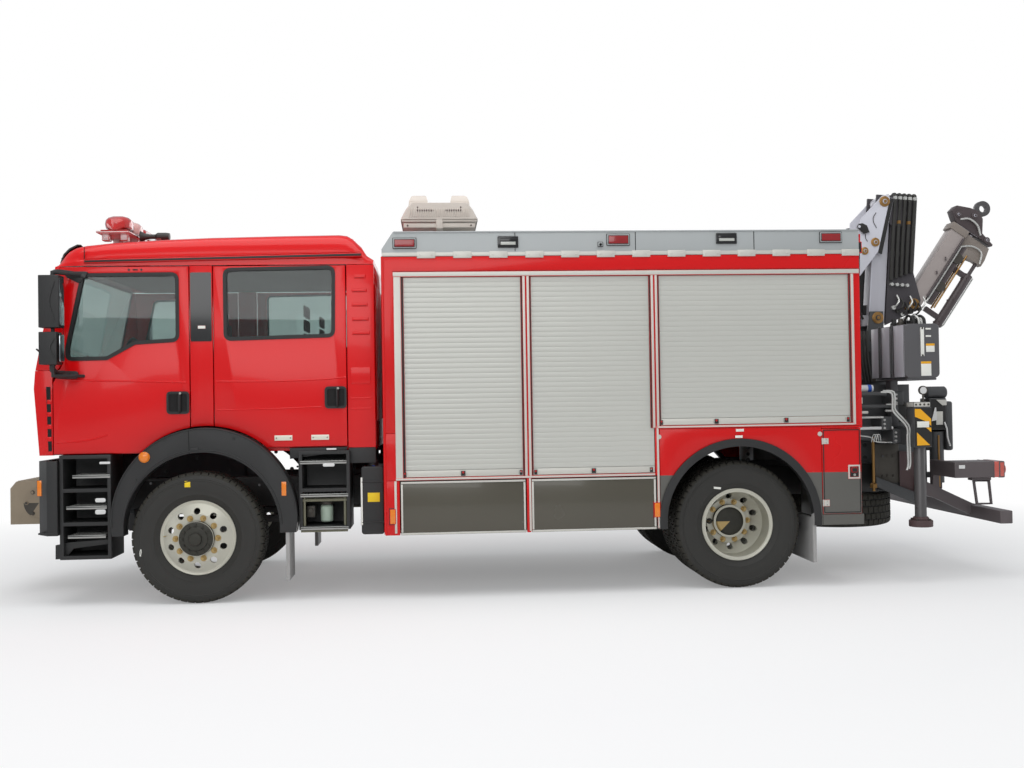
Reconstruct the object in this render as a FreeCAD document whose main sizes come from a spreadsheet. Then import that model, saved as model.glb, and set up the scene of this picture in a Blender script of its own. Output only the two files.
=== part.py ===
"""Heavy rescue truck: two axles, crew cab, shuttered equipment body and a folding rear crane.

Frame: +X forward, +Y left, +Z up, origin on the ground under the middle of the overall length.
Every sub-part is drawn about the front axle line and is moved into the frame by its Placement.
"""
import FreeCAD, Part
import Sketcher
import os
import re
from FreeCAD import Placement, Rotation, Vector

# ---------------------------------------------------------------- driving dimensions (mm, degrees)
SIZES = {
    # overall
    "wheelbase": 4450, "front_overhang": 1795, "rear_overhang": 2865, "half_width": 1250,
    "panel_gap": 8, "seam": 2, "fit": 0.5,
    # wheels, from the wheel's own middle plane
    "tyre_radius": 530, "tyre_width": 312, "tread_width": 256, "bulge_radius": 430,
    "bead_radius": 287, "bead_width": 226, "flange_radius": 298, "flange_width": 250,
    "rim_wall": 15, "rim_offset": 175, "hub_radius": 140, "hub_reach": 35, "spindle_radius": 55,
    "hand_hole_radius": 26, "hand_hole_circle": 218, "hand_holes": 10, "front_track": 2060,
    "rear_track": 1678,
    # axles and springs
    "kingpin_at": 860, "kingpin_radius": 30, "kingpin_eye": 45, "lug_height": 67, "axle_beam": 80,
    "axle_tube": 80, "diff_radius": 200, "spring_at": 420, "spring_width": 80, "spring_half": 700,
    "spring_height": 55, "shaft_radius": 45, "shaft_height": 780, "shaft_clear": 6,
    # chassis
    "rail_top": 970, "rail_height": 260, "rail_width": 80, "rail_at": 420, "rail_front": 1150,
    "rail_end": 1510, "cross_height": 110, "cross_width": 70, "cross_members": 4,
    "engine_front": 1000, "engine_back": 250, "engine_half": 330, "engine_bottom": 650,
    "engine_top": 1190, "tank_front": 1313, "tank_inner": 760, "tank_outer": 1130,
    "tank_bottom": 519, "tank_top": 1078, "spare_behind": 1240, "spare_bottom": 398,
    # cab, from the front axle
    "cab_half": 1120, "cab_skin": 50, "cab_bottom": 1215, "cab_back": 1438, "floor_height": 60,
    "corner_at": 1152, "belt_top": 1900, "nose_corner": 110, "roof_base": 2745, "roof_front": 1040,
    "roof_shell": 55, "roof_brow": 70, "roof_heel": 170, "gutter": 22, "front_door_back": 64,
    "rear_door_front": 134, "rear_door_back": 1205, "glass": 8, "window_radius": 45,
    "nose_crease": 145, "nose_foot_reach": 105, "nose_reach": 145, "nose_head_reach": 133,
    "pillar_foot_set": 95, "pillar_head_set": 64, "screen_set": 32, "door_lift": 10,
    "door_head_gap": 8, "front_rise": 175, "back_rise": 262, "window_header": 75, "sill_rise": 237,
    "dip_rise": 95, "window_set": 122, "window_head_set": 249, "window_stile": 92,
    "rear_window_stile": 105, "rear_window_header": 33, "rear_sill_rise": 250, "gutter_front": 891,
    "gutter_back": 1345, "gutter_deep": 33, "gutter_rise": 2, "gutter_fall": 46, "gutter_sink": 5,
    "roof_edge_front": 55, "roof_heel_drop": 105, "roof_heel_set": 95, "roof_heel_rise": 40,
    "roof_slope_in": 45, "roof_slope_at": 60, "hollow_side": 110, "hollow_back": 120,
    "hollow_front": 60, "window_step_back": 341, "window_step_front": 309, "window_lip": 84,
    "grille_half": 800, "grille_bar": 16, "grille_proud": 12, "grille_low": 60, "grille_pitch": 34,
    "grille_bars": 14, "visor_back": 94, "visor_front": 76, "visor_bottom": 45, "visor_middle": 123,
    "visor_top": 202, "visor_thick": 9, "visor_half": 990, "dash_back": 850, "dash_half": 1040,
    "dash_bottom": 1650, "dash_top": 1880, "steering_at": 700, "steering_side": 520,
    "steering_height": 1790, "steering_radius": 215, "steering_rim": 15, "column_thick": 30,
    "seat_height": 1700, "seat_top": 2380, "seat_front": 600, "seat_back": 80, "seat_inner": 300,
    "seat_outer": 820, "bench_front": 820, "bench_back": 1330, "bench_half": 980, "rest_thick": 130,
    "plinth_inset": 60, "plinth_height": 200,
    # wings, steps, bumper, mirrors
    "flare_radius": 740, "flare_back": 60, "flare_height": 680, "flare_inner_radius": 620,
    "flare_inner_back": 40, "flare_inner_height": 600, "flare_outer": 1200, "flare_inside": 1060,
    "flare_foot": 560, "flap_thick": 30, "flap_bottom": 171, "flap_back": 735, "step_inner": 800,
    "step_outer": 1150, "step_bottom": 375, "step_plate": 30, "step_clear": 8,
    "rear_step_back": 1225, "rear_step_bottom": 570, "bumper_bottom": 572, "bumper_top": 1172,
    "bumper_wall": 60, "bumper_half": 1180, "bumper_corner": 90, "winch_half": 450,
    "winch_bottom": 596, "winch_top": 966, "hook_reach": 50, "mirror_back": 1000,
    "mirror_inner": 1270, "small_mirror_bottom": 1940, "mirror_arm": 26, "bumper_set": 51,
    "bumper_depth": 171, "winch_reach": 473, "step_gap": 6, "mirror_length": 158,
    "mirror_width": 130, "small_mirror_height": 257, "mirror_gap": 33, "mirror_height": 413,
    "tank_clear": 12, "mirror_arm_front": 930, "mirror_arm_back": 890, "mirror_bar_set": 60,
    "mirror_bar_in": 40, "arm_over": 15, "arm_under": 100, "headlamp_outer_at": 930,
    "headlamp_inner_at": 720, "headlamp_height": 860, "headlamp_radius": 95,
    "small_headlamp_radius": 80, "headlamp_proud": 10,
    # rescue body, from the front axle and from the rear axle
    "body_gap": 74, "body_skin": 40, "body_bottom": 520, "deck": 970, "deck_height": 40,
    "roof_edge": 2790, "roof_slope": 93, "parapet": 40, "locker_post": 128, "locker_split": 1172,
    "split_post": 48, "third_post": 18, "rear_post": 85, "shutter_thick": 16, "shutter_recess": 8,
    "arch_radius": 665, "arch_height": 570, "arch_lip": 45, "arch_proud": 12,
    "rear_flap_bottom": 205, "locker_depth": 500, "locker_wall": 20, "lamp_width": 180,
    "lamp_height": 105, "lamp_proud": 12, "flap_head_gap": 15, "sill_height": 15, "foot_height": 91,
    "arch_cover": 110, "door_head_drop": 21, "third_sill": 28, "arch_post": 45, "door_post": 35,
    "small_door_width": 334, "rear_edge": 16, "shutter_header": 170, "roof_height": 200,
    "lamp_rise": 68,
    # light mast on the body roof
    "mast_pivot_at": 3450, "mast_length": 1460, "mast_rise": 103, "mast_tube": 45, "mast_cheek": 70,
    "mast_plate": 15, "head_front": 1647, "head_back": 2332, "head_half": 560,
    "mast_pivot_rise": 170, "head_clear": 42, "bracket_height": 106, "head_height": 237,
    "dome_shoulder": 75, "dome_height": 153, "dome_side": 90, "bump_outer": 55, "bump_inner": 30,
    "bump_length": 170, "bump_side": 70,
    # light bar on the cab roof
    "bar_front": 877, "bar_back": 597, "bar_half": 880, "bar_clear": 75, "horn_front": 576,
    "horn_back": 332, "horn_radius": 50, "bar_height": 248, "horn_clear": 140,
    # crane, from the rear axle
    "base_front": 1510, "base_back": 1990, "base_half": 420, "base_bottom": 715, "base_top": 1160,
    "side_block": 560, "side_block_inner": 478, "side_block_bottom": 631, "slew_at": 1700,
    "slew_top": 1640, "slew_radius": 175, "slew_cylinder_at": 1568, "slew_cylinder_height": 1290,
    "slew_cylinder_radius": 118, "slew_cylinder_half": 560, "spigot_radius": 110,
    "spigot_depth": 160, "beam_front": 1520, "beam_bottom": 1165, "leg_at": 1130, "leg_tube": 96,
    "sleeve_wall": 22, "sleeve_top": 1490, "foot_bottom": 474, "foot_radius": 98, "leg_clear": 5,
    "first_pin_height": 2330, "first_pin_back": -20, "boom_lean": 4.2, "boom_length": 1106,
    "boom_thick": 150, "boom_half": 90, "cheek": 25, "cheek_gap": 6, "pin_radius": 40,
    "column_radius": 150, "outer_gap": 10, "outer_thick": 250, "outer_half": 100, "outer_top": 65,
    "outer_bottom": 815, "outer_reach": 359, "outer_drop": 949, "outer_heel": 1170,
    "jib_lean": 34.2, "jib_length": 889, "jib_thick": 150, "jib_half": 70, "jib_wall": 14,
    "extension_clear": 5, "extension_start": 250, "hook_at": 1176, "hook_across": 92,
    "hook_radius": 75, "hook_hole": 34, "hook_thick": 50, "jib_cylinder_at": 140,
    "jib_cylinder_radius": 42, "jib_rod_radius": 20, "oil_front": 1464, "oil_inner": 490,
    "oil_outer": 1180, "oil_bottom": 1740, "oil_top": 2200, "underrun_height": 110,
    "underrun_bottom": 481, "underrun_back": 2397, "underrun_depth": 110, "underrun_half": 1150,
    "underrun_arm_at": 640, "underrun_arm": 70, "tail_front": 1947, "tail_back": 2390,
    "tail_bottom": 870, "tail_top": 1006, "tail_inner": 760, "tail_outer": 1040, "column_drop": 160,
    "beam_size": 149, "foot_height_under_leg": 55, "leg_headroom": 20, "oil_depth": 301,
    "link_gap": 5, "link_plate": 12, "link_pin_radius": 24, "link_pin_at": 69,
    "link_pin_height": 713, "link_foot_at": 160, "link_foot_height": 622, "ram_offset": 75,
    "ram_radius": 48, "ram_rod_radius": 26, "ram_foot": 60, "ram_top": 620, "ram_end": 720,
    "fold_ram_at": 330, "fold_ram_radius": 42, "fold_ram_start": -20, "fold_ram_end": 560,
    "yoke_start": 690, "yoke_top": 880, "yoke_side": 376, "yoke_half": 35, "hook_head_half": 55,
    "hook_head_side": 354, "hook_head_cap": 163, "hook_head_height": 215,
    "fold_rod_radius": 18,
}

# sizes and places that follow from others
FOLLOWS = {
    "belt_front": "belt_top - nose_crease",
    "nose_bottom": "corner_at + nose_foot_reach",
    "nose_middle": "corner_at + nose_reach",
    "nose_top": "corner_at + nose_head_reach",
    "pillar_foot": "corner_at - pillar_foot_set",
    "pillar_head": "corner_at - pillar_head_set",
    "screen_head": "corner_at - screen_set",
    "door_bottom": "cab_bottom + door_lift",
    "door_top": "roof_base - door_head_gap",
    "roof_top_front": "roof_base + front_rise",
    "roof_top_back": "roof_base + back_rise",
    "window_top": "roof_base - window_header",
    "window_sill": "belt_top + sill_rise",
    "window_dip": "belt_top + dip_rise",
    "window_front": "corner_at - window_set",
    "window_head": "corner_at - window_head_set",
    "window_back": "front_door_back + window_stile",
    "rear_window_front": "rear_door_front + window_stile + 4",
    "rear_window_back": "rear_door_back - rear_window_stile",
    "rear_window_top": "roof_base - rear_window_header",
    "rear_window_sill": "belt_top + rear_sill_rise",
    "bumper_back": "corner_at - bumper_set",
    "bumper_front": "bumper_back + bumper_depth",
    "winch_front": "bumper_front + winch_reach",
    "step_front": "bumper_back - step_gap",
    "mirror_front": "mirror_back + mirror_length",
    "mirror_outer": "mirror_inner + mirror_width",
    "small_mirror_top": "small_mirror_bottom + small_mirror_height",
    "mirror_mid": "small_mirror_top + mirror_gap",
    "mirror_top": "mirror_mid + mirror_height",
    "tank_back": "cab_back + body_gap - tank_clear",
    "flap_top": "deck - flap_head_gap",
    "shutter_bottom": "deck + sill_height",
    "small_door_bottom": "body_bottom + foot_height",
    "waist": "arch_height + arch_radius + arch_cover",
    "small_door_top": "waist - door_head_drop",
    "third_bottom": "waist + third_sill",
    "second_back": "arch_radius + arch_post",
    "small_door_front": "arch_radius + door_post",
    "small_door_back": "small_door_front + small_door_width",
    "body_overhang": "small_door_back + rear_edge",
    "shutter_top": "roof_edge - shutter_header",
    "body_top": "roof_edge + roof_height",
    "lamp_bottom": "roof_edge + lamp_rise",
    "mast_pivot_height": "roof_edge + mast_pivot_rise",
    "head_bottom": "mast_pivot_height + mast_rise + head_clear",
    "head_lamp": "head_bottom + bracket_height",
    "head_top": "head_lamp + head_height",
    "bar_top": "roof_top_front + bar_clear + bar_height",
    "horn_height": "roof_top_front + horn_clear",
    "column_top": "first_pin_height - column_drop",
    "beam_back": "beam_front + beam_size",
    "beam_top": "beam_bottom + beam_size",
    "leg_bottom": "foot_bottom + foot_height_under_leg",
    "leg_top": "sleeve_top - leg_headroom",
    "oil_back": "oil_front + oil_depth",
}

doc = FreeCAD.newDocument("HeavyRescueTruck")
sheet = doc.addObject("Spreadsheet::Sheet", "Dims")
for row, (alias, size) in enumerate([*SIZES.items(), *FOLLOWS.items()], start=1):
    sheet.set("A%d" % row, alias)
    sheet.set("B%d" % row, "=" + size if alias in FOLLOWS else str(size))
    sheet.setAlias("B%d" % row, alias)
doc.recompute()

# places that many pieces share
FRONT_AXLE = "(wheelbase + rear_overhang - front_overhang) / 2"
REAR_AXLE = "-wheelbase"
CAB_BACK = "-cab_back"
BODY_FRONT = "-cab_back - body_gap"
BODY_REAR = "-wheelbase - body_overhang"
CAB_INNER = "cab_half - cab_skin"
BODY_INNER = "half_width - body_skin"
SLEW = "-wheelbase - slew_at"


# ---------------------------------------------------------------- helpers
def formula(text):
    """Write a formula of sheet words the way the expression engine reads it."""
    return re.sub(r"[a-z_]+", lambda word: "Dims." + word[0] if word[0] in SIZES or word[0] in FOLLOWS else word[0], str(text))


def number(text):
    """Value of a formula."""
    return float(sheet.evalExpression(formula(text)))


def bind(thing, prop, text):
    thing.setExpression(prop, formula(text))


def box(name, x, y, z):
    """Block between two formulas along each axis."""
    block = doc.addObject("Part::Box", name)
    for size, axis, (low, high) in zip(("Length", "Width", "Height"), "xyz", (x, y, z)):
        bind(block, size, "(%s) - (%s)" % (high, low))
        bind(block, "Placement.Base." + axis, low)
    return block


TURNS = {"x": Rotation(Vector(0, 1, 0), 90), "y": Rotation(Vector(1, 0, 0), -90), "z": Rotation()}


def cylinder(name, axis, centre, radius, span):
    """Round bar along an axis, from one formula to another; centre gives the other two coordinates."""
    bar = doc.addObject("Part::Cylinder", name)
    bar.Placement = Placement(Vector(), TURNS[axis])
    bind(bar, "Radius", radius)
    bind(bar, "Height", "(%s) - (%s)" % (span[1], span[0]))
    bind(bar, "Placement.Base." + axis, span[0])
    for other, place in zip([letter for letter in "xyz" if letter != axis], centre):
        bind(bar, "Placement.Base." + other, place)
    return bar


PLANES = {"XZ": "XZ_Plane", "YZ": "YZ_Plane", "XY": "XY_Plane"}


def outline_sketch(body, name, plane, points):
    """Closed sketch through points, each corner held at its two formulas."""
    sketch = body.newObject("Sketcher::SketchObject", name)
    plane_face = [face for face in body.Origin.OriginFeatures if face.Role == PLANES[plane]][0]
    sketch.AttachmentSupport = (plane_face, [""])
    sketch.MapMode = "FlatFace"
    corners = [(number(u), number(v)) for u, v in points]
    for start, end in zip(corners, corners[1:] + corners[:1]):
        sketch.addGeometry(Part.LineSegment(Vector(*start, 0), Vector(*end, 0)))
    for edge in range(len(points)):
        sketch.addConstraint(Sketcher.Constraint("Coincident", edge, 2, (edge + 1) % len(points), 1))
    for edge, corner in enumerate(points):
        for kind, text, size in zip(("DistanceX", "DistanceY"), corner, corners[edge]):
            held = sketch.addConstraint(Sketcher.Constraint(kind, -1, 1, edge, 1, size))
            bind(sketch, "Constraints[%d]" % held, text)
    return sketch


def prism(name, plane, points, span, round_radius=None):
    """Body padded from an outline across a span; the long edges can be rounded."""
    body = doc.addObject("PartDesign::Body", name)
    sketch = outline_sketch(body, name + "_outline", plane, points)
    far_side = "-(%s)" % span[1] if plane == "XZ" else span[0]
    bind(sketch, "AttachmentOffset.Base.z", far_side)
    pad = body.newObject("PartDesign::Pad", name + "_pad")
    pad.Profile = sketch
    bind(pad, "Length", "(%s) - (%s)" % (span[1], span[0]))
    if round_radius:
        doc.recompute()
        across = {"XZ": Vector(0, 1, 0), "YZ": Vector(1, 0, 0), "XY": Vector(0, 0, 1)}[plane]
        long_edges = ["Edge%d" % (index + 1) for index, edge in enumerate(pad.Shape.Edges)
                      if abs(abs(edge.tangentAt(edge.FirstParameter).dot(across)) - 1) < 1e-6]
        rounding = body.newObject("PartDesign::Fillet", name + "_rounding")
        rounding.Base = (pad, long_edges)
        bind(rounding, "Radius", round_radius)
    return body


def cut(name, base, *tools):
    result = base
    for index, tool in enumerate(tools):
        step = doc.addObject("Part::Cut", "%s_%d" % (name, index))
        step.Base = result
        step.Tool = tool
        result = step
    return result


def fuse(name, *shapes):
    joined = doc.addObject("Part::MultiFuse", name)
    joined.Shapes = list(shapes)
    return joined


def mirrored(name, shape):
    """The same shape on the right-hand side."""
    other = doc.addObject("Part::Mirroring", name)
    other.Source = shape
    other.Normal = Vector(0, 1, 0)
    return other


def both_sides(name, shape):
    return [shape, mirrored(name + "_right", shape)]


nodes = []


def node(label, *shapes, place=None, turn=None):
    """A sub-part: its solids, its Label and its Placement from the front axle into the frame.

    place gives x and z of a pivot that the solids are drawn about, turn the lean about +Y.
    """
    part = doc.addObject("Part::Compound", "node_" + label)
    part.Links = list(shapes)
    part.Label = label
    x, z = place or ("0", "0")
    part.Placement = Placement(Vector(), Rotation(Vector(0, 1, 0), number(turn or "0")))
    bind(part, "Placement.Base.x", "%s + %s" % (FRONT_AXLE, x))
    bind(part, "Placement.Base.z", z)
    if turn:
        bind(part, "Placement.Rotation.Angle", turn)
    nodes.append(part)
    return part


def revolved(name, points):
    """Ring turned about the Y axis from (radius, y) points."""
    body = doc.addObject("PartDesign::Body", name)
    sketch = outline_sketch(body, name + "_outline", "XY", points)
    turn = body.newObject("PartDesign::Revolution", name + "_turn")
    turn.Profile = sketch
    turn.ReferenceAxis = (sketch, ["V_Axis"])
    turn.Angle = 360
    return body


def at(name, shape, x="0", y="0", z="0", flip=False):
    """A copy of a shape at another place, turned end for end about Z if flipped."""
    copy = doc.addObject("Part::Compound", name)
    copy.Links = [shape]
    copy.Placement = Placement(Vector(), Rotation(Vector(0, 0, 1), 180 if flip else 0))
    for axis, text in zip("xyz", (x, y, z)):
        bind(copy, "Placement.Base." + axis, text)
    return copy


# ---------------------------------------------------------------- chassis
def chassis_frame():
    """Two channel rails as plain beams, with cross-members under their top edge."""
    rear = "-wheelbase - rail_end"
    rails = both_sides("rail", box("rail", (rear, "rail_front"),
                                   ("rail_at - rail_width / 2", "rail_at + rail_width / 2"),
                                   ("rail_top - rail_height", "rail_top")))
    pieces = list(rails)
    for index in range(int(number("cross_members")) + 1):
        middle = "-cab_back - (wheelbase + rail_end - cab_back - cross_width) * %d / cross_members" % index
        pieces.append(box("cross_member_%d" % index,
                          (middle + " - cross_width / 2", middle + " + cross_width / 2"),
                          ("-rail_at", "rail_at"), ("rail_top - cross_height", "rail_top")))
    pieces.append(box("front_cross_member", ("rail_front - cross_width", "rail_front"),
                      ("-rail_at", "rail_at"), ("rail_top - rail_height", "rail_top")))
    for name, back in (("front_cab_mount", "rail_front - 150"), ("rear_cab_mount", "-cab_back + 60")):
        mount = box(name, (back, back + " + 90"), ("rail_at - rail_width / 2", "rail_at + rail_width / 2"),
                    ("rail_top", "cab_bottom"))
        pieces += both_sides(name, mount)
    node("chassis_frame", fuse("frame_joined", *pieces))


def spring_pack(name, middle, seat):
    """Leaf spring with two hangers up to the rail; seat is the underside of the leaves."""
    side = ("spring_at - spring_width / 2", "spring_at + spring_width / 2")
    leaves = box(name + "_leaves", (middle + " - spring_half", middle + " + spring_half"), side,
                 (seat, seat + " + spring_height"))
    hangers = [box("%s_hanger_%d" % (name, end),
                   ("%s + %d * (spring_half - spring_width / 2) - spring_width / 2" % (middle, end),
                    "%s + %d * (spring_half - spring_width / 2) + spring_width / 2" % (middle, end)),
                   side, (seat, "rail_top - rail_height")) for end in (-1, 1)]
    return fuse(name, leaves, *hangers)


def front_axle():
    """Forged beam with an eye round each kingpin, on two leaf springs."""
    half = "axle_beam / 2"
    beam = box("beam", ("-60", "60"), ("-kingpin_at + 60", "kingpin_at - 60"),
               ("tyre_radius - %s" % half, "tyre_radius + %s" % half))
    neck = box("beam_neck", ("-40", "40"), ("-kingpin_at", "kingpin_at"),
               ("tyre_radius - %s" % half, "tyre_radius + %s" % half))
    eyes = both_sides("beam_eye", cylinder("beam_eye", "z", ("0", "kingpin_at"), "kingpin_eye",
                                           ("tyre_radius - %s" % half, "tyre_radius + %s" % half)))
    bores = both_sides("beam_bore", cylinder("beam_bore", "z", ("0", "kingpin_at"), "kingpin_radius + 0.05",
                                             ("tyre_radius - axle_beam", "tyre_radius + axle_beam")))
    springs = both_sides("front_spring", spring_pack("front_spring", "0", "tyre_radius + %s" % half))
    node("front_axle", fuse("front_axle_joined", cut("bored_beam", fuse("beam_joined", beam, neck, *eyes), *bores),
                            *springs))


def rear_axle():
    """Driven axle tube with its differential, springs and the drive shaft from the engine."""
    tube = cylinder("axle_tube", "y", (REAR_AXLE, "tyre_radius"), "axle_tube",
                    ("-rear_track / 2 + 330", "rear_track / 2 - 330"))
    spindle = cylinder("rear_spindle", "y", (REAR_AXLE, "tyre_radius"), "spindle_radius",
                       ("-rear_track / 2", "rear_track / 2"))
    differential = doc.addObject("Part::Sphere", "differential")
    bind(differential, "Radius", "diff_radius")
    bind(differential, "Placement.Base.x", REAR_AXLE)
    bind(differential, "Placement.Base.z", "tyre_radius")
    springs = both_sides("rear_spring", spring_pack("rear_spring", REAR_AXLE, "tyre_radius + axle_tube"))
    shaft = doc.addObject("Part::Cylinder", "drive_shaft")
    run = "wheelbase - engine_back - shaft_clear"
    drop = "shaft_height - tyre_radius"
    bind(shaft, "Radius", "shaft_radius")
    bind(shaft, "Height", "sqrt((%s) ^ 2 + (%s) ^ 2)" % (run, drop))
    shaft.Placement = Placement(Vector(), Rotation(Vector(0, 1, 0), 90))
    bind(shaft, "Placement.Rotation.Angle", "acos((%s) / sqrt((%s) ^ 2 + (%s) ^ 2))" % (drop, run, drop))
    bind(shaft, "Placement.Base.x", REAR_AXLE)
    bind(shaft, "Placement.Base.z", "tyre_radius")
    node("rear_axle", fuse("rear_axle_joined", tube, spindle, differential, shaft, *springs))


def engine_block():
    """Engine and gearbox as one plain block."""
    node("engine_block", box("engine", ("-engine_back", "engine_front"), ("-engine_half", "engine_half"),
                             ("engine_bottom", "engine_top")))


def side_tanks():
    """A small tank behind the cab on each side, with its cap and a bracket from the rail."""
    tank = prism("side_tank", "XZ", [("-tank_back", "tank_bottom"), ("-tank_front", "tank_bottom"),
                                     ("-tank_front", "tank_top"), ("-tank_back", "tank_top")],
                 ("tank_inner", "tank_outer"), "25")
    cap = cylinder("side_tank_cap", "z", ("-(tank_front + tank_back) / 2", "tank_outer - 90"), "45",
                   ("tank_top - 10", "tank_top + 45"))
    bracket = box("side_tank_bracket", ("-tank_back + 40", "-tank_front - 40"),
                  ("rail_at + rail_width / 2", "tank_inner + 10"), ("rail_top - 200", "rail_top - 100"))
    node("side_tanks", *both_sides("side_tank_whole", fuse("side_tank_whole", tank, cap, bracket)))


# ---------------------------------------------------------------- wheels
def tyre_ring(name):
    half = ("bead_width / 2", "tyre_width / 2", "tread_width / 2")
    upper = [("bead_radius", half[0]), ("bead_radius + 14", half[0]), ("bead_radius + 55", half[1] + " - 14"),
             ("bulge_radius", half[1]), ("tyre_radius - 28", half[1] + " - 6"), ("tyre_radius", half[2])]
    lower = [(radius, "-(%s)" % across) for radius, across in reversed(upper)]
    return revolved(name, upper + lower)


def rim_ring(name):
    """Rim with its flanges, dished disc toward +Y and a ring of hand holes."""
    inner = "bead_radius - rim_wall"
    disc_face = "rim_offset"
    disc_back = "rim_offset - rim_wall"
    ring = revolved(name + "_ring", [
        ("bead_radius - 0.3", "-bead_width / 2 - 0.3"), ("flange_radius", "-bead_width / 2 - 0.3"),
        ("flange_radius", "-flange_width / 2"), (inner, "-flange_width / 2"),
        (inner, "bead_width / 2 - 40"), ("hand_hole_circle - 28", disc_back), ("100", disc_back),
        ("100", disc_face), ("hand_hole_circle - 20", disc_face), (inner + " + 4", "flange_width / 2"),
        ("flange_radius", "flange_width / 2"), ("flange_radius", "bead_width / 2 + 0.3"),
        ("bead_radius - 0.3", "bead_width / 2 + 0.3")])
    holes = []
    for index in range(int(number("hand_holes"))):
        hole = cylinder("%s_hole_%d" % (name, index), "y", ("0", "0"), "hand_hole_radius", ("0", "rim_offset + 40"))
        bind(hole, "Placement.Base.x", "hand_hole_circle * cos(360 * %s / hand_holes)" % (index + 0.5))
        bind(hole, "Placement.Base.z", "hand_hole_circle * sin(360 * %s / hand_holes)" % (index + 0.5))
        holes.append(hole)
    return cut(name, ring, fuse(name + "_holes", *holes))


def wheels():
    """Front wheels carry their disc outside, the rear pair is bolted back to back."""
    tyre = tyre_ring("tyre")
    rims = {place: rim_ring("rim_" + place) for place in ("front", "inner", "outer")}
    bore = cylinder("hub_bore", "y", ("0", "0"), "spindle_radius + fit", ("-400", "rim_offset - 40"))
    front_hub = cylinder("front_hub", "y", ("0", "0"), "hub_radius", ("-70", "rim_offset + hub_reach"))
    rear_hub = cylinder("rear_hub", "y", ("0", "0"), "hub_radius", ("-rim_offset - 130", "60"))
    rear_bore = cylinder("rear_hub_bore", "y", ("0", "0"), "spindle_radius + fit", ("-rim_offset - 200", "5"))
    front_rim = cut("front_rim", fuse("front_rim_joined", rims["front"], front_hub), bore)
    pair = fuse("rear_rim_pair", at("inner_rim", rims["inner"], y="-rim_offset - seam / 2"),
                at("outer_rim", rims["outer"], y="rim_offset + seam / 2", flip=True), rear_hub)
    rear_rim = cut("rear_rim", pair, rear_bore)
    twin_tyres = [at("inner_tyre", tyre, y="-rim_offset - seam / 2"), at("outer_tyre", tyre, y="rim_offset + seam / 2")]
    for side, flip in (("left", False), ("right", True)):
        across = "-%s / 2" if flip else "%s / 2"
        front = {"y": across % "front_track", "z": "tyre_radius", "flip": flip}
        rear = {"x": REAR_AXLE, "y": across % "rear_track", "z": "tyre_radius", "flip": flip}
        node("tyre_front_" + side, at("front_tyre_" + side, tyre, **front))
        node("rim_front_" + side, at("front_wheel_" + side, front_rim, **front))
        node("tyre_rear_" + side, *[at("%s_%s" % (ring.Name, side), ring, **rear) for ring in twin_tyres])
        node("rim_rear_" + side, at("rear_wheel_" + side, rear_rim, **rear))


def knuckles():
    """Steering knuckle: kingpin with two lugs, back plate and spindle."""
    low, high = "tyre_radius - axle_beam / 2", "tyre_radius + axle_beam / 2"
    lugs = [cylinder("knuckle_lug_upper", "z", ("0", "kingpin_at"), "kingpin_eye", (high + " + 3", high + " + lug_height")),
            cylinder("knuckle_lug_lower", "z", ("0", "kingpin_at"), "kingpin_eye", (low + " - lug_height", low + " - 3"))]
    pin = cylinder("kingpin", "z", ("0", "kingpin_at"), "kingpin_radius",
                   (low + " - lug_height", high + " + lug_height"))
    bridges = [box("knuckle_bridge_upper", ("-40", "40"), ("kingpin_at", "kingpin_at + kingpin_eye + 30"),
                   (high + " + 3", high + " + lug_height")),
               box("knuckle_bridge_lower", ("-40", "40"), ("kingpin_at", "kingpin_at + kingpin_eye + 30"),
                   (low + " - lug_height", low + " - 3"))]
    plate = box("knuckle_plate", ("-60", "60"), ("kingpin_at + kingpin_eye + 8", "kingpin_at + kingpin_eye + 30"),
                (low + " - lug_height", high + " + lug_height"))
    spindle = cylinder("front_spindle", "y", ("0", "tyre_radius"), "spindle_radius",
                       ("kingpin_at + kingpin_eye + 10", "front_track / 2 + rim_offset - 50"))
    whole = fuse("knuckle", pin, plate, spindle, *lugs, *bridges)
    node("knuckle_left", whole)
    node("knuckle_right", mirrored("knuckle_other", whole))


def spare_wheel():
    """Spare wheel lying flat under the body's rear overhang, with its carrier up to the rails."""
    height = "spare_bottom + tyre_width / 2"
    stack = doc.addObject("Part::Compound", "spare_stack")
    stack.Links = [fuse("spare_joined", at("spare_tyre", tyre_ring("spare_ring")), cylinder(
        "spare_plate", "y", ("0", "0"), "bead_radius", ("-12", "12")))]
    stack.Placement = Placement(Vector(), Rotation(Vector(1, 0, 0), 90))
    bind(stack, "Placement.Base.x", "-wheelbase - spare_behind")
    bind(stack, "Placement.Base.z", height)
    node("spare_wheel", stack)


# ---------------------------------------------------------------- cab
def door_curve(name, gap):
    """Round clearance over the front wheel, wider than the flare by a gap."""
    return cylinder(name, "y", ("-flare_back", "flare_height"), "flare_radius + " + gap, ("0", "half_width + 50"))


def cab_floor():
    """Floor pan between the sills and the rear wall, as two plain plates."""
    floor = box("floor_pan", (CAB_BACK + " + seam", "nose_bottom - cab_skin - seam"), ("-flare_inside", "flare_inside"),
                ("cab_bottom", "cab_bottom + floor_height"))
    wall = box("cab_rear_wall", (CAB_BACK, CAB_BACK + " + cab_skin"),
               ("-cab_half + cab_skin + seam", CAB_INNER + " - seam"),
               ("cab_bottom + floor_height + seam", "roof_base - seam"))
    node("cab_floor", floor, wall)


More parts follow.
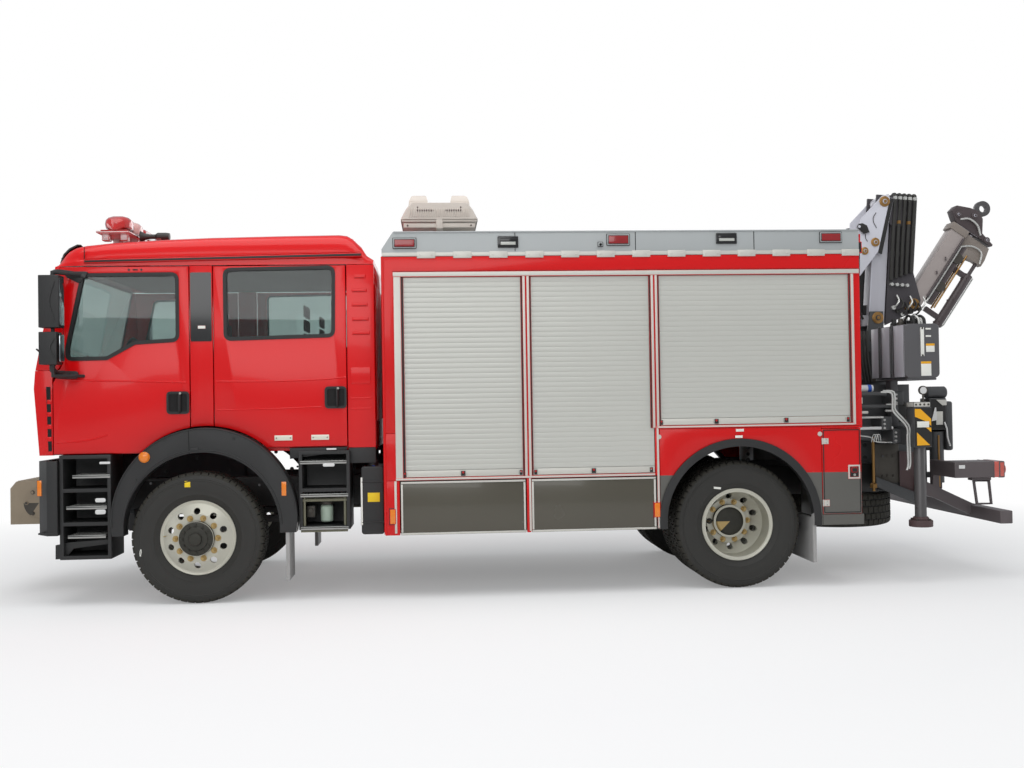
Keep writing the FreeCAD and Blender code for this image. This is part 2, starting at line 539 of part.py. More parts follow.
def cab_front():
    """Nose panel wrapped round both front corners, with the grille's bars across it."""
    outer = prism("nose_outer", "XZ", [
        ("corner_at", "cab_bottom"), ("nose_bottom", "cab_bottom"), ("nose_middle", "belt_front"),
        ("nose_top", "belt_top"), ("corner_at", "belt_top")], ("-cab_half", "cab_half"))
    inner = prism("nose_inner", "XZ", [
        ("corner_at - 10", "cab_bottom - 10"), ("nose_bottom - cab_skin - 2", "cab_bottom - 10"),
        ("nose_middle - cab_skin", "belt_front"), ("nose_top - cab_skin", "belt_top + 10"),
        ("corner_at - 10", "belt_top + 10")], ("-%s" % "cab_half + cab_skin", CAB_INNER))
    bars = []
    for index in range(int(number("grille_bars"))):
        low = "grille_low + grille_pitch * %d" % index
        face = "nose_bottom + (nose_middle - nose_bottom) * (%s) / (belt_front - cab_bottom)" % low
        bars.append(box("grille_bar_%d" % index, (face + " - 10", face + " + grille_proud"), ("-grille_half", "grille_half"),
                        ("cab_bottom + " + low, "cab_bottom + " + low + " + grille_bar")))
    node("cab_front", fuse("nose_joined", cut("nose", outer, inner), *bars))


def cab_sides():
    """Windscreen pillars, centre pillars and rear corner panels."""
    screen_post = prism("screen_post", "XZ", [
        ("corner_at", "belt_top + seam"), ("nose_top", "belt_top + seam"), ("screen_head", "roof_base - seam"),
        ("pillar_head", "roof_base - seam"), ("pillar_foot", "belt_top + 90"), ("corner_at - 45", "belt_top + seam")],
        (CAB_INNER, "cab_half"))
    centre_post = cut("centre_post", box(
        "centre_post_blank", ("-rear_door_front + panel_gap", "front_door_back - panel_gap"),
        (CAB_INNER, "cab_half"), ("flare_height + flare_radius - 60", "roof_base - seam")), door_curve("post_curve", "12"))
    rear_post = box("rear_corner_panel", (CAB_BACK, "-rear_door_back - panel_gap"), (CAB_INNER, "cab_half"),
                    ("cab_bottom + 20", "roof_base - seam"))
    node("cab_sides", *[half for index, post in enumerate((screen_post, centre_post, rear_post))
                        for half in both_sides("cab_post_%d" % index, post)])


def cab_roof():
    """Roof shell with rounded long edges, hollow below, with a rain gutter over the doors and a sun visor in front."""
    outer = prism("roof_outer", "XZ", [
        (CAB_BACK, "roof_base"), ("screen_head - 2", "roof_base"), ("screen_head - 25", "roof_base + roof_edge_front"),
        ("roof_front", "roof_top_front - 30"), ("roof_front - roof_brow", "roof_top_front"),
        ("-cab_back + roof_heel", "roof_top_back"), ("-cab_back + roof_heel_set", "roof_top_back - roof_heel_drop"),
        (CAB_BACK, "roof_base + roof_heel_rise")], ("-cab_half", "cab_half"))
    hollow = box("roof_hollow", ("-cab_back + hollow_back", "roof_front - hollow_front"),
                 ("-cab_half + hollow_side", "cab_half - hollow_side"), ("roof_base - 10", "roof_top_front - roof_shell - 20"))
    slope = prism("roof_side_slope", "YZ", [
        ("cab_half - roof_slope_in", "roof_top_back + 10"), ("cab_half + 10", "roof_top_back + 10"),
        ("cab_half + 10", "roof_base + roof_slope_at"), ("cab_half", "roof_base + roof_slope_at")],
        ("-cab_back - 10", "screen_head + 10"))
    foot = "roof_base + gutter_rise"
    gutter = prism("roof_gutter", "XZ", [
        ("gutter_front", foot), ("gutter_front", foot + " + gutter_deep"), ("-gutter_back", foot + " + gutter_fall + gutter_deep"),
        ("-gutter_back", foot + " + gutter_fall")], ("cab_half - gutter_sink", "cab_half + gutter"))
    visor = prism("sun_visor", "XZ", [
        ("screen_head - visor_back", "roof_base + visor_top - visor_thick"), ("screen_head", "roof_base + visor_middle + 38"),
        ("screen_head + visor_front - 14", "roof_base + visor_bottom + 6"), ("screen_head + visor_front", "roof_base + visor_bottom"),
        ("screen_head + visor_front - 20", "roof_base + visor_middle"), ("screen_head + 5", "roof_base + visor_middle + 48"),
        ("screen_head - visor_back", "roof_base + visor_top")], ("-visor_half", "visor_half"))
    stay = both_sides("visor_stay", prism("visor_stay", "XZ", [
        ("roof_front - 20", "roof_top_front - 60"), ("screen_head + 2", "roof_base + visor_middle + 36"),
        ("screen_head - visor_back + 6", "roof_base + visor_top - visor_thick + 4")], ("visor_half / 2", "visor_half / 2 + 20")))
    shell = cut("roof_shell_cut", outer, hollow, *both_sides("roof_side_slope", slope))
    node("cab_roof", fuse("roof_joined", shell, visor, *stay, *both_sides("roof_gutter", gutter)))


def windscreen():
    """Flat laminated pane between the two screen pillars."""
    pane = prism("screen_pane", "XZ", [
        ("nose_top - 14", "belt_top + seam"), ("nose_top - 2", "belt_top + seam"),
        ("screen_head - 2", "roof_base - seam"), ("screen_head - 14", "roof_base - seam")],
        ("-%s" % "cab_half + cab_skin + fit", CAB_INNER + " - fit"))
    node("windscreen", pane)


FRONT_WINDOW = [("window_front", "window_dip - 3"), ("window_front", "window_dip + window_lip"), ("window_head", "window_top"),
                ("window_back", "window_top + 4"), ("window_back", "window_sill"),
                ("window_back + window_step_back", "window_sill - 19"), ("window_front - window_step_front", "window_dip")]
REAR_WINDOW = [("-rear_window_back", "rear_window_sill + 10"), ("-rear_window_front", "rear_window_sill - 10"),
               ("-rear_window_front", "rear_window_top - 6"), ("-rear_window_back - 8", "rear_window_top + 8")]


def door(name, outline, window):
    """Door skin with its lower edge cut round the wing, an open window and the pane in it."""
    skin = prism(name + "_skin", "XZ", outline, (CAB_INNER, "cab_half"))
    opening = prism(name + "_opening", "XZ", window, (CAB_INNER + " - 20", "cab_half + 20"), "window_radius")
    pane = prism(name + "_pane", "XZ", window, ("cab_half - 20", "cab_half - 20 + glass"), "window_radius")
    whole = cut(name, skin, opening, door_curve(name + "_curve", "12"))
    node(name + "_left", whole)
    node(name + "_right", mirrored(name + "_other", whole))
    node(name + "_glass_left", pane)
    node(name + "_glass_right", mirrored(name + "_pane_other", pane))


def cab_doors():
    door("front_door", [
        ("front_door_back", "door_bottom"), ("corner_at - panel_gap", "door_bottom"),
        ("corner_at - panel_gap", "belt_top - 100"), ("pillar_foot - panel_gap", "belt_top + 90"),
        ("pillar_head - panel_gap", "door_top"), ("front_door_back", "door_top")], FRONT_WINDOW)
    door("rear_door", [
        ("-rear_door_back", "door_bottom + 25"), ("-rear_door_front", "door_bottom + 25"),
        ("-rear_door_front", "door_top"), ("-rear_door_back", "door_top")], REAR_WINDOW)


def seat(name, front, back, inner, outer):
    plinth_top = "cab_bottom + floor_height + plinth_height"
    cushion = box(name + "_cushion", (back, front), (inner, outer), (plinth_top, "seat_height"))
    rest = box(name + "_rest", (back, back + " + rest_thick"), (inner, outer), ("seat_height", "seat_top"))
    plinth = box(name + "_plinth", (back + " + plinth_inset", front + " - plinth_inset"),
                 (inner + " + plinth_inset", outer + " - plinth_inset"), ("cab_bottom + floor_height", plinth_top))
    return fuse(name, cushion, rest, plinth)


def cab_interior():
    """Dashboard, steering wheel on its column, two front seats and a crew bench."""
    dash = box("dashboard", ("dash_back", "nose_middle - cab_skin - 10"), ("-dash_half", "dash_half"), ("dash_bottom", "dash_top"))
    column = cylinder("steering_column", "x", ("steering_side", "steering_height"), "column_thick",
                      ("steering_at - 10", "dash_back + 10"))
    ring = doc.addObject("Part::Torus", "steering_ring")
    ring.Placement = Placement(Vector(), Rotation(Vector(0, 1, 0), 90))
    for prop, text in (("Radius1", "steering_radius"), ("Radius2", "steering_rim"), ("Placement.Base.x", "steering_at"),
                       ("Placement.Base.y", "steering_side"), ("Placement.Base.z", "steering_height")):
        bind(ring, prop, text)
    spoke = box("steering_spoke", ("steering_at - 8", "steering_at + 8"),
                ("steering_side - steering_radius", "steering_side + steering_radius"), ("steering_height - 15", "steering_height + 15"))
    seats = both_sides("front_seat", seat("front_seat", "seat_front", "seat_back", "seat_inner", "seat_outer"))
    bench = seat("crew_bench", "-bench_front", "-bench_back", "-bench_half", "bench_half")
    node("cab_interior", fuse("dash_joined", dash, column, ring, spoke), *seats, bench)


# ---------------------------------------------------------------- wings, steps, bumper, lamps
def wheel_guards():
    """Flares over the front wheels, arch rings on the body and a mudflap behind each wheel."""
    outer = cylinder("flare_outer", "y", ("-flare_back", "flare_height"), "flare_radius", ("flare_inside", "flare_outer"))
    inner = cylinder("flare_inner", "y", ("-flare_inner_back", "flare_inner_height"), "flare_inner_radius",
                     ("flare_inside - 10", "flare_outer + 10"))
    foot = box("flare_foot_cut", ("-2000", "2000"), ("flare_inside - 10", "flare_outer + 10"), ("-500", "flare_foot"))
    flare = cut("flare", outer, inner, foot)
    front_flap = box("front_flap", ("-flap_back", "-flap_back + flap_thick"), ("flare_inside - 180", "flare_outer - 10"),
                     ("flap_bottom", "flare_foot + 60"))
    arch_ring = cut("arch_ring", fuse("arch_rings", cylinder(
        "arch_outer", "y", (REAR_AXLE, "arch_height"), "arch_radius - fit", (BODY_INNER + " - 20", "half_width + 1")),
        cylinder("arch_flange", "y", (REAR_AXLE, "arch_height"), "arch_radius + 20",
                 ("half_width", "half_width + arch_proud"))),
        cylinder("arch_inner", "y", (REAR_AXLE, "arch_height"), "arch_radius - arch_lip",
                 (BODY_INNER + " - 40", "half_width + 60")),
        box("arch_foot_cut", (REAR_AXLE + " - 900", REAR_AXLE + " + 900"), (BODY_INNER + " - 40", "half_width + 60"),
            ("-500", "body_bottom")))
    rear_flap = box("rear_flap", ("-wheelbase - arch_radius + arch_lip - flap_thick", "-wheelbase - arch_radius + arch_lip"),
                    ("rear_track / 2 - rim_offset - 150", BODY_INNER + " + 10"), ("rear_flap_bottom", "body_bottom + 60"))
    front = fuse("front_guard", flare, front_flap)
    rear = fuse("rear_guard", arch_ring, rear_flap)
    node("wheel_guards", *both_sides("front_guard", front), *both_sides("rear_guard", rear))


def step_unit(name, front, back, bottom, top, treads):
    """Step well: two cheeks, a back panel and its treads."""
    span = ("step_inner", "step_outer")
    cheeks = [box(name + "_front_cheek", (front + " - step_plate", front), span, (bottom, top)),
              box(name + "_back_cheek", (back, back + " + step_plate"), span, (bottom, top))]
    panel = box(name + "_panel", (back, front), ("step_inner", "step_inner + step_plate"), (bottom, top))
    plates = [box("%s_tread_%d" % (name, index), (back, front), span,
                  ("%s + (%s - (%s) - step_plate) * %d / %d" % (bottom, top, bottom, index, treads),
                   "%s + (%s - (%s) - step_plate) * %d / %d + step_plate" % (bottom, top, bottom, index, treads)))
              for index in range(treads + 1)]
    return fuse(name, panel, *cheeks, *plates)


def cab_steps():
    """Three-tread step wells in front of and behind the front wheels."""
    front = step_unit("front_step", "step_front", "flare_radius - flare_back + step_clear",
                      "step_bottom", "cab_bottom", 3)
    rear = step_unit("rear_step", "-flare_radius - flare_back - step_clear", "-rear_step_back",
                     "rear_step_bottom", "cab_bottom", 2)
    node("cab_steps", *both_sides("front_step_unit", front), *both_sides("rear_step_unit", rear))


def bumper():
    """Wrapped front bumper with chamfered corners, open behind, and two round headlamps on each side."""
    shell = prism("bumper_shell", "XY", [
        ("bumper_back", "-bumper_half"), ("bumper_front - bumper_corner", "-bumper_half"),
        ("bumper_front", "-bumper_half + bumper_corner"), ("bumper_front", "bumper_half - bumper_corner"),
        ("bumper_front - bumper_corner", "bumper_half"), ("bumper_back", "bumper_half"),
        ("bumper_back", "bumper_half - bumper_wall"),
        ("bumper_front - bumper_corner - 20", "bumper_half - bumper_wall"),
        ("bumper_front - bumper_wall", "bumper_half - bumper_corner - 40"),
        ("bumper_front - bumper_wall", "-bumper_half + bumper_corner + 40"),
        ("bumper_front - bumper_corner - 20", "-bumper_half + bumper_wall"),
        ("bumper_back", "-bumper_half + bumper_wall")], ("bumper_bottom", "bumper_top"))
    brackets = both_sides("bumper_bracket", box("bumper_bracket", ("rail_front", "bumper_front - bumper_wall"),
                                                ("rail_at - rail_width / 2", "rail_at + rail_width / 2"),
                                                ("rail_top - 200", "rail_top - 60")))
    lamps_in_front = []
    for name, side, radius in (("outer_headlamp", "headlamp_outer_at", "headlamp_radius"),
                               ("inner_headlamp", "headlamp_inner_at", "small_headlamp_radius")):
        lamp = cylinder(name, "x", (side, "headlamp_height"), radius, ("bumper_front - 20", "bumper_front + headlamp_proud"))
        lamps_in_front += both_sides(name, lamp)
    node("bumper", fuse("bumper_joined", shell, *brackets, *lamps_in_front))


def winch():
    """Winch housing on the bumper, with rounded lid and the hook on its front."""
    housing = prism("winch_housing", "XZ", [
        ("bumper_front", "winch_bottom"), ("winch_front", "winch_bottom"), ("winch_front", "winch_top - 60"),
        ("winch_front - 50", "winch_top"), ("bumper_front + 194", "winch_top"), ("bumper_front", "winch_top - 60")],
        ("-winch_half", "winch_half"))
    eye = doc.addObject("Part::Torus", "winch_eye")
    eye.Radius1 = 38
    eye.Radius2 = 12
    eye.Placement = Placement(Vector(), Rotation(Vector(1, 0, 0), 90))
    bind(eye, "Placement.Base.x", "winch_front + hook_reach - 50")
    bind(eye, "Placement.Base.z", "winch_bottom + 170")
    node("winch", fuse("winch_joined", housing, eye))


def mirrors():
    """Wide and small mirror heads on one bar, on two arms from the front door."""
    heads = [box("main_mirror", ("mirror_back", "mirror_front"), ("mirror_inner", "mirror_outer"), ("mirror_mid", "mirror_top")),
             box("small_mirror", ("mirror_back + 20", "mirror_front"), ("mirror_inner", "mirror_outer"),
                 ("small_mirror_bottom", "small_mirror_top"))]
    back, inner = "mirror_back + mirror_bar_set", "mirror_inner + mirror_bar_in"
    bar = box("mirror_bar", (back, back + " + mirror_arm"), (inner, inner + " + mirror_arm"),
              ("small_mirror_bottom - arm_under", "mirror_top + arm_over + mirror_arm"))
    arms = [prism("mirror_arm_%d" % index, "XY", [
        ("mirror_arm_back", "cab_half"), ("mirror_arm_front", "cab_half"), (back + " + mirror_arm", inner),
        (back + " + mirror_arm", inner + " + mirror_arm"), (back, inner + " + mirror_arm")],
        (height, height + " + mirror_arm")) for index, height in enumerate(("mirror_top + arm_over", "small_mirror_bottom - arm_under"))]
    whole = fuse("mirror", bar, *heads, *arms)
    node("mirror_left", whole)
    node("mirror_right", mirrored("mirror_other", whole))


def roof_line(x):
    """Height of the cab roof's sloping top at x."""
    rise = "(roof_top_back - roof_top_front) / (roof_front - roof_brow + cab_back - roof_heel)"
    return "roof_top_front + (roof_front - roof_brow - (%s)) * %s" % (x, rise)


def lamps():
    """Light bar and horn on the cab roof, and the lamp blocks along the top of the body."""
    floor = "roof_top_front + bar_clear"
    foot = prism("bar_foot", "XZ", [
        ("bar_back + 40", roof_line("bar_back + 40")), ("bar_front - 40", roof_line("bar_front - 40")),
        ("bar_front - 40", floor + " + 10"), ("bar_back + 40", floor + " + 10")], ("-bar_half + 150", "bar_half - 150"))
    bar = prism("light_bar", "XZ", [
        ("bar_back", floor), ("bar_front", floor), ("bar_front", "bar_top - 120"),
        ("bar_front - 90", "bar_top"), ("bar_back + 90", "bar_top"), ("bar_back", "bar_top - 120")],
        ("-bar_half", "bar_half"))
    horn = cylinder("horn", "x", ("600", "horn_height"), "horn_radius", ("horn_back", "horn_front"))
    horn_foot = prism("horn_foot", "XZ", [
        ("horn_back + 60", roof_line("horn_back + 60")), ("horn_back + 120", roof_line("horn_back + 120")),
        ("horn_back + 120", "horn_height"), ("horn_back + 60", "horn_height")], ("580", "620"))
    blocks = []
    stations = [BODY_FRONT + " - roof_slope - lamp_width", BODY_FRONT + " - 1042 - lamp_width / 2",
                "(%s + %s) / 2 - lamp_width / 2 + 50" % (BODY_FRONT, BODY_REAR), BODY_REAR + " + 1150 - lamp_width / 2",
                BODY_REAR + " + 150"]
    for index, station in enumerate(stations):
        block = box("lamp_block_%d" % index, (station, station + " + lamp_width"),
                    ("half_width", "half_width + lamp_proud"), ("lamp_bottom", "lamp_bottom + lamp_height"))
        blocks += both_sides("lamp_block_%d" % index, block)
    node("lamps", fuse("light_bar_joined", foot, bar), fuse("horn_joined", horn, horn_foot), *blocks)


# ---------------------------------------------------------------- rescue body
FIRST = (BODY_FRONT + " - locker_split + split_post / 2", BODY_FRONT + " - locker_post")
SECOND = ("-wheelbase + second_back", BODY_FRONT + " - locker_split - split_post / 2")
THIRD = (BODY_REAR + " + rear_post", "-wheelbase + second_back - third_post")
ARCH_FRONT = "-wheelbase + arch_radius + 5"
ARCH_BACK = "-wheelbase - arch_radius - 20"
SMALL_DOOR = ("-wheelbase - small_door_back", "-wheelbase - small_door_front")


def body_floor():
    """Deck over the lockers, a higher deck over the rear wheels, and the lower lockers."""
    side = ("-%s" % "half_width + body_skin + seam", BODY_INNER + " - seam")
    front = box("front_deck", (ARCH_FRONT + " + 40", BODY_FRONT + " - body_skin"), side, ("deck", "deck + deck_height"))
    rear = box("rear_deck", (BODY_REAR + " + body_skin", ARCH_FRONT + " + 38"), side,
               ("waist - 60", "waist - 60 + deck_height"))
    riser = box("deck_riser", (ARCH_FRONT + " + 4", ARCH_FRONT + " + 38"), side, ("deck", "waist - 62"))
    node("body_floor", front, rear, riser, *locker_boxes())


def body_end_walls():
    """Front and rear walls, with a lower piece beside the chassis on each side."""
    front = (BODY_FRONT + " - body_skin", BODY_FRONT)
    rear = (BODY_REAR, BODY_REAR + " + body_skin")
    side = ("-%s" % "half_width + body_skin + seam", BODY_INNER + " - seam")
    low = ("tyre_radius - 10", BODY_INNER + " - seam")
    walls = [box("front_wall", front, side, ("deck + seam", "roof_edge - seam")),
             box("rear_wall", rear, side, ("waist - 18", "roof_edge - seam"))]
    walls += both_sides("front_skirt", box("front_skirt", front, low, ("body_bottom", "deck")))
    walls += both_sides("rear_skirt", box("rear_skirt", rear, low, ("body_bottom", "waist - 20")))
    node("body_end_walls", *walls)


def body_sides():
    """Side panels: an upper frame with the shutter openings, posts, arch panel and rear foot."""
    skin = (BODY_INNER, "half_width")
    upper = cut("upper_side", box("upper_blank", (BODY_REAR, BODY_FRONT), skin, ("waist + seam", "roof_edge - seam")),
                *[box("shutter_hole_%d" % index, span, (BODY_INNER + " - 10", "half_width + 10"), (low, "shutter_top"))
                  for index, (span, low) in enumerate(((FIRST, "waist - 20"), (SECOND, "waist - 20"), (THIRD, "third_bottom")))])
    middle = cut("middle_side", box("middle_blank", (ARCH_FRONT + " + 4", BODY_FRONT), skin, ("flap_top + panel_gap", "waist")),
                 *[box("middle_hole_%d" % index, span, (BODY_INNER + " - 10", "half_width + 10"), ("shutter_bottom", "waist + 20"))
                   for index, span in enumerate((FIRST, SECOND))])
    posts = [box("side_post_%d" % index, span, skin, ("body_bottom", "flap_top + panel_gap - seam"))
             for index, span in enumerate(((FIRST[1] + " + panel_gap", BODY_FRONT),
                                           (SECOND[1] + " + panel_gap", FIRST[0] + " - panel_gap"),
                                           (ARCH_FRONT + " + 4", SECOND[0] + " - panel_gap")))]
    arch = cut("arch_panel", box("arch_blank", (SMALL_DOOR[1] + " + panel_gap / 2", ARCH_FRONT + " + 2"), skin, ("body_bottom", "waist")),
               cylinder("arch_cut", "y", (REAR_AXLE, "arch_height"), "arch_radius",
                        (BODY_INNER + " - 10", "half_width + 10")))
    foot = box("rear_foot", (BODY_REAR, SMALL_DOOR[1] + " + panel_gap / 2 - seam"), skin,
               ("body_bottom", "small_door_bottom - panel_gap / 2"))
    head = box("rear_head", (BODY_REAR, SMALL_DOOR[1] + " + panel_gap / 2 - seam"), skin,
               ("small_door_top + panel_gap / 2", "waist"))
    pieces = [upper, middle, arch, foot, head] + posts
    node("body_sides", *[half for index, piece in enumerate(pieces) for half in both_sides("side_piece_%d" % index, piece)])


def body_roof():
    """Walk-on roof deck inside a parapet, with the mast's two cheeks."""
    edge = [(BODY_REAR, "roof_edge"), (BODY_FRONT, "roof_edge"), (BODY_FRONT, "roof_edge + 60"),
            (BODY_FRONT + " - roof_slope", "body_top"), (BODY_REAR, "body_top")]
    block = prism("roof_block", "XZ", edge, ("-half_width", "half_width"))
    well = prism("roof_well", "XZ", [
        (BODY_REAR + " + parapet", "roof_edge + deck_height"), (BODY_FRONT + " - roof_slope - parapet", "roof_edge + deck_height"),
        (BODY_FRONT + " - roof_slope - parapet", "body_top + 10"), (BODY_REAR + " + parapet", "body_top + 10")],
        ("-half_width + parapet", "half_width - parapet"))
    cheek = prism("mast_cheek_plate", "XZ", [
        ("-mast_pivot_at - 110", "roof_edge + deck_height"), ("-mast_pivot_at + 110", "roof_edge + deck_height"),
        ("-mast_pivot_at + 50", "mast_pivot_height + 50"), ("-mast_pivot_at - 50", "mast_pivot_height + 50")],
        ("mast_cheek", "mast_cheek + mast_plate"))
    pin = cylinder("mast_pin", "y", ("-mast_pivot_at", "mast_pivot_height"), "18",
                   ("-mast_cheek - mast_plate", "mast_cheek + mast_plate"))
    node("body_roof", fuse("roof_whole", cut("roof_tray", block, well), pin, *both_sides("mast_cheek", cheek)))


def shutters():
    """Six roller shutters, each a closed curtain filling its opening."""
    face = ("half_width - shutter_recess - shutter_thick", "half_width - shutter_recess")
    curtains = [box("shutter_%d" % index, (span[0], span[1]), face, (low, "shutter_top"))
                for index, (span, low) in enumerate(((FIRST, "shutter_bottom"), (SECOND, "shutter_bottom"), (THIRD, "third_bottom")))]
    node("shutters", *[half for index, curtain in enumerate(curtains) for half in both_sides("curtain_%d" % index, curtain)])


def locker_boxes():
    """Lower lockers as open boxes behind the flaps and behind the small rear doors."""
    outer_y = (BODY_INNER + " - locker_depth", BODY_INNER + " - seam")
    inner_y = (BODY_INNER + " - locker_depth + locker_wall", "half_width + 10")
    long_box = cut("flap_locker", box("flap_locker_blank", (SECOND[0] + " - 20", BODY_FRONT + " - body_skin - seam"), outer_y, ("body_bottom + 12", "deck - seam")),
                   box("flap_locker_hollow", (SECOND[0] + " - 20 + locker_wall", BODY_FRONT + " - body_skin - seam - locker_wall"), inner_y,
                       ("body_bottom + 12 + locker_wall", "deck - seam - locker_wall")))
    small_box = cut("rear_locker", box("rear_locker_blank", (BODY_REAR + " + body_skin + seam", SMALL_DOOR[1]), outer_y, ("small_door_bottom - 40", "waist - 62")),
                    box("rear_locker_hollow", (BODY_REAR + " + body_skin + seam + locker_wall", SMALL_DOOR[1] + " - locker_wall"), inner_y,
                        ("small_door_bottom - 40 + locker_wall", "waist - 62 - locker_wall")))
    return both_sides("flap_locker_unit", long_box) + both_sides("rear_locker_unit", small_box)


def body_doors():
    """Drop-down flaps over the lower lockers and the small doors behind the rear wheels."""
    skin = (BODY_INNER + " + fit", "half_width")
    for name, span, height in (("flap_front", FIRST, ("body_bottom", "flap_top")), ("flap_middle", SECOND, ("body_bottom", "flap_top")),
                               ("rear_locker_door", SMALL_DOOR, ("small_door_bottom", "small_door_top"))):
        leaf = box(name + "_leaf", span, skin, height)
        node(name + "_left", leaf)
        node(name + "_right", mirrored(name + "_leaf_other", leaf))


# ---------------------------------------------------------------- light mast
def light_mast():
    """Arm that tilts up from the roof, and the lamp head that stays level on its end."""
    reach = "mast_length"
    arm = box("mast_arm_tube", ("0", reach), ("-mast_tube", "mast_tube"), ("-mast_tube", "mast_tube"))
    root = cylinder("mast_root", "y", ("0", "0"), "mast_tube + 8", ("-mast_cheek + fit", "mast_cheek - fit"))
    root_bore = cylinder("mast_root_bore", "y", ("0", "0"), "18.05", ("-200", "200"))
    pin = cylinder("head_pin", "y", (reach, "0"), "14", ("-mast_tube - 25", "mast_tube + 25"))
    lean = "-asin(mast_rise / mast_length)"
    node("mast_arm", cut("mast_arm_bored", fuse("mast_arm_joined", arm, root, pin), root_bore),
         place=("-mast_pivot_at", "mast_pivot_height"), turn=lean)
    bracket = box("head_bracket", ("-head_back", "-head_front"), ("-head_half", "head_half"), ("head_bottom + 30", "head_lamp"))
    dome = prism("head_dome", "XZ", [
        ("-head_back", "head_lamp"), ("-head_front", "head_lamp"), ("-head_front - dome_shoulder", "head_lamp + dome_height - 10"),
        ("-head_front - dome_side", "head_lamp + dome_height"), ("-head_back + dome_side", "head_lamp + dome_height"),
        ("-head_back + dome_shoulder", "head_lamp + dome_height - 10")], ("-head_half + 10", "head_half - 10"))
    bumps = [prism("head_bump_%d" % index, "XZ", [
        (low + " - bump_inner / 3", "head_lamp + dome_height - 5"), (high + " + bump_inner / 3", "head_lamp + dome_height - 5"),
        (high, "head_top"), (low, "head_top")], ("bump_side", "head_half - bump_side"))
             for index, (low, high) in enumerate((("-head_back + dome_side + 10", "-head_back + dome_side + 10 + bump_length"),
                                                  ("-head_front - dome_side - 10 - bump_length", "-head_front - dome_side - 10")))]
    housings = [dome] + [half for index, bump in enumerate(bumps) for half in both_sides("head_bump_%d" % index, bump)]
    pivot = "-mast_pivot_at + sqrt(mast_length ^ 2 - mast_rise ^ 2)"
    lug = box("head_lug", (pivot + " - 60", pivot + " + 60"), ("mast_tube + fit", "mast_tube + 25"),
              ("mast_pivot_height + mast_rise - 40", "head_bottom + 30"))
    bore = cylinder("head_lug_bore", "y", (pivot, "mast_pivot_height + mast_rise"), "14.05", ("0", "200"))
    node("lamp_head", fuse("lamp_head_joined", bracket, *housings, *both_sides("head_lug_bored", cut("head_lug_bored", lug, bore))))


# ---------------------------------------------------------------- rear end and crane
def crane_base():
    """Base frame behind the rails, slewing housing, stabiliser beam and striped sleeves."""
    rear = REAR_AXLE
    block = box("base_block", (rear + " - base_back", rear + " - base_front"), ("-base_half", "base_half"), ("base_bottom", "base_top"))
    wings = both_sides("base_wing", box("base_wing", (rear + " - base_back + 140", rear + " - base_front"),
                                        ("base_half - 5", "side_block"), ("side_block_bottom + 100", "base_top")))
    turret = cylinder("slew_turret", "z", (SLEW, "0"), "slew_radius", ("base_top - 5", "slew_top"))
    rack = cylinder("slew_rack", "y", (rear + " - slew_cylinder_at - 75", "1450"), "slew_cylinder_radius",
                    ("-slew_cylinder_half", "slew_cylinder_half"))
    beam = box("stabiliser_beam", (rear + " - beam_back", rear + " - beam_front"), ("-leg_at + 60", "leg_at - 60"), ("beam_bottom", "beam_top"))
    half = "leg_tube / 2 + leg_clear + sleeve_wall"
    middle = rear + " - (beam_front + beam_back) / 2"
    sleeve = box("leg_sleeve", (middle + " - (%s)" % half, middle + " + (%s)" % half),
                 ("leg_at - (%s)" % half, "leg_at + (%s)" % half), ("beam_bottom - 15", "sleeve_top"))
    inside = "leg_tube / 2 + leg_clear"
    hollow = box("leg_sleeve_hollow", (middle + " - (%s)" % inside, middle + " + (%s)" % inside),
                 ("leg_at - (%s)" % inside, "leg_at + (%s)" % inside), ("beam_bottom - 50", "sleeve_top - 10"))
    bore = cylinder("slew_bore", "z", (SLEW, "0"), "spigot_radius + 0.05", ("slew_top - spigot_depth - 20", "slew_top + 10"))
    tower = fuse("base_joined", block, turret, rack, beam, *wings, *both_sides("leg_sleeve", sleeve))
    node("crane_base", cut("base", tower, bore, *both_sides("leg_sleeve_hollow", hollow)))


def stabiliser_legs():
    """Leg tube with a round foot, sliding down out of its sleeve."""
    middle = REAR_AXLE + " - (beam_front + beam_back) / 2"
    tube = cylinder("leg_tube", "z", (middle, "leg_at"), "leg_tube / 2", ("leg_bottom - 5", "leg_top"))
    foot = cylinder("leg_foot", "z", (middle, "leg_at"), "foot_radius", ("foot_bottom", "leg_bottom"))
    leg = fuse("leg", tube, foot)
    node("leg_left", leg)
    node("leg_right", mirrored("leg_other", leg))


def crane_column():
    """Slewing column with a spigot in the turret and a fork at its top."""
    spigot = cylinder("column_spigot", "z", (SLEW, "0"), "spigot_radius", ("slew_top - spigot_depth", "slew_top + 5"))
    post = cylinder("column_post", "z", (SLEW, "0"), "column_radius", ("slew_top + fit", "column_top"))
    inner = "boom_half + cheek_gap"
    cheek = prism("column_cheek", "XZ", [
        (SLEW + " - column_radius + 20", "column_top - 160"), (SLEW + " + column_radius - 5", "column_top - 160"),
        (SLEW + " - first_pin_back + 75", "first_pin_height + 60"), (SLEW + " - first_pin_back - 55", "first_pin_height + 60"),
        (SLEW + " - first_pin_back - 55", "first_pin_height - 90"), (SLEW + " - column_radius + 20", "first_pin_height - 130")],
        (inner, inner + " + cheek"))
    pin = cylinder("first_pin", "y", (SLEW + " - first_pin_back", "first_pin_height"), "pin_radius",
                   ("-%s" % "boom_half - cheek_gap - cheek", inner + " + cheek"))
    node("crane_column", fuse("column_joined", spigot, post, pin, *both_sides("column_cheek", cheek)))


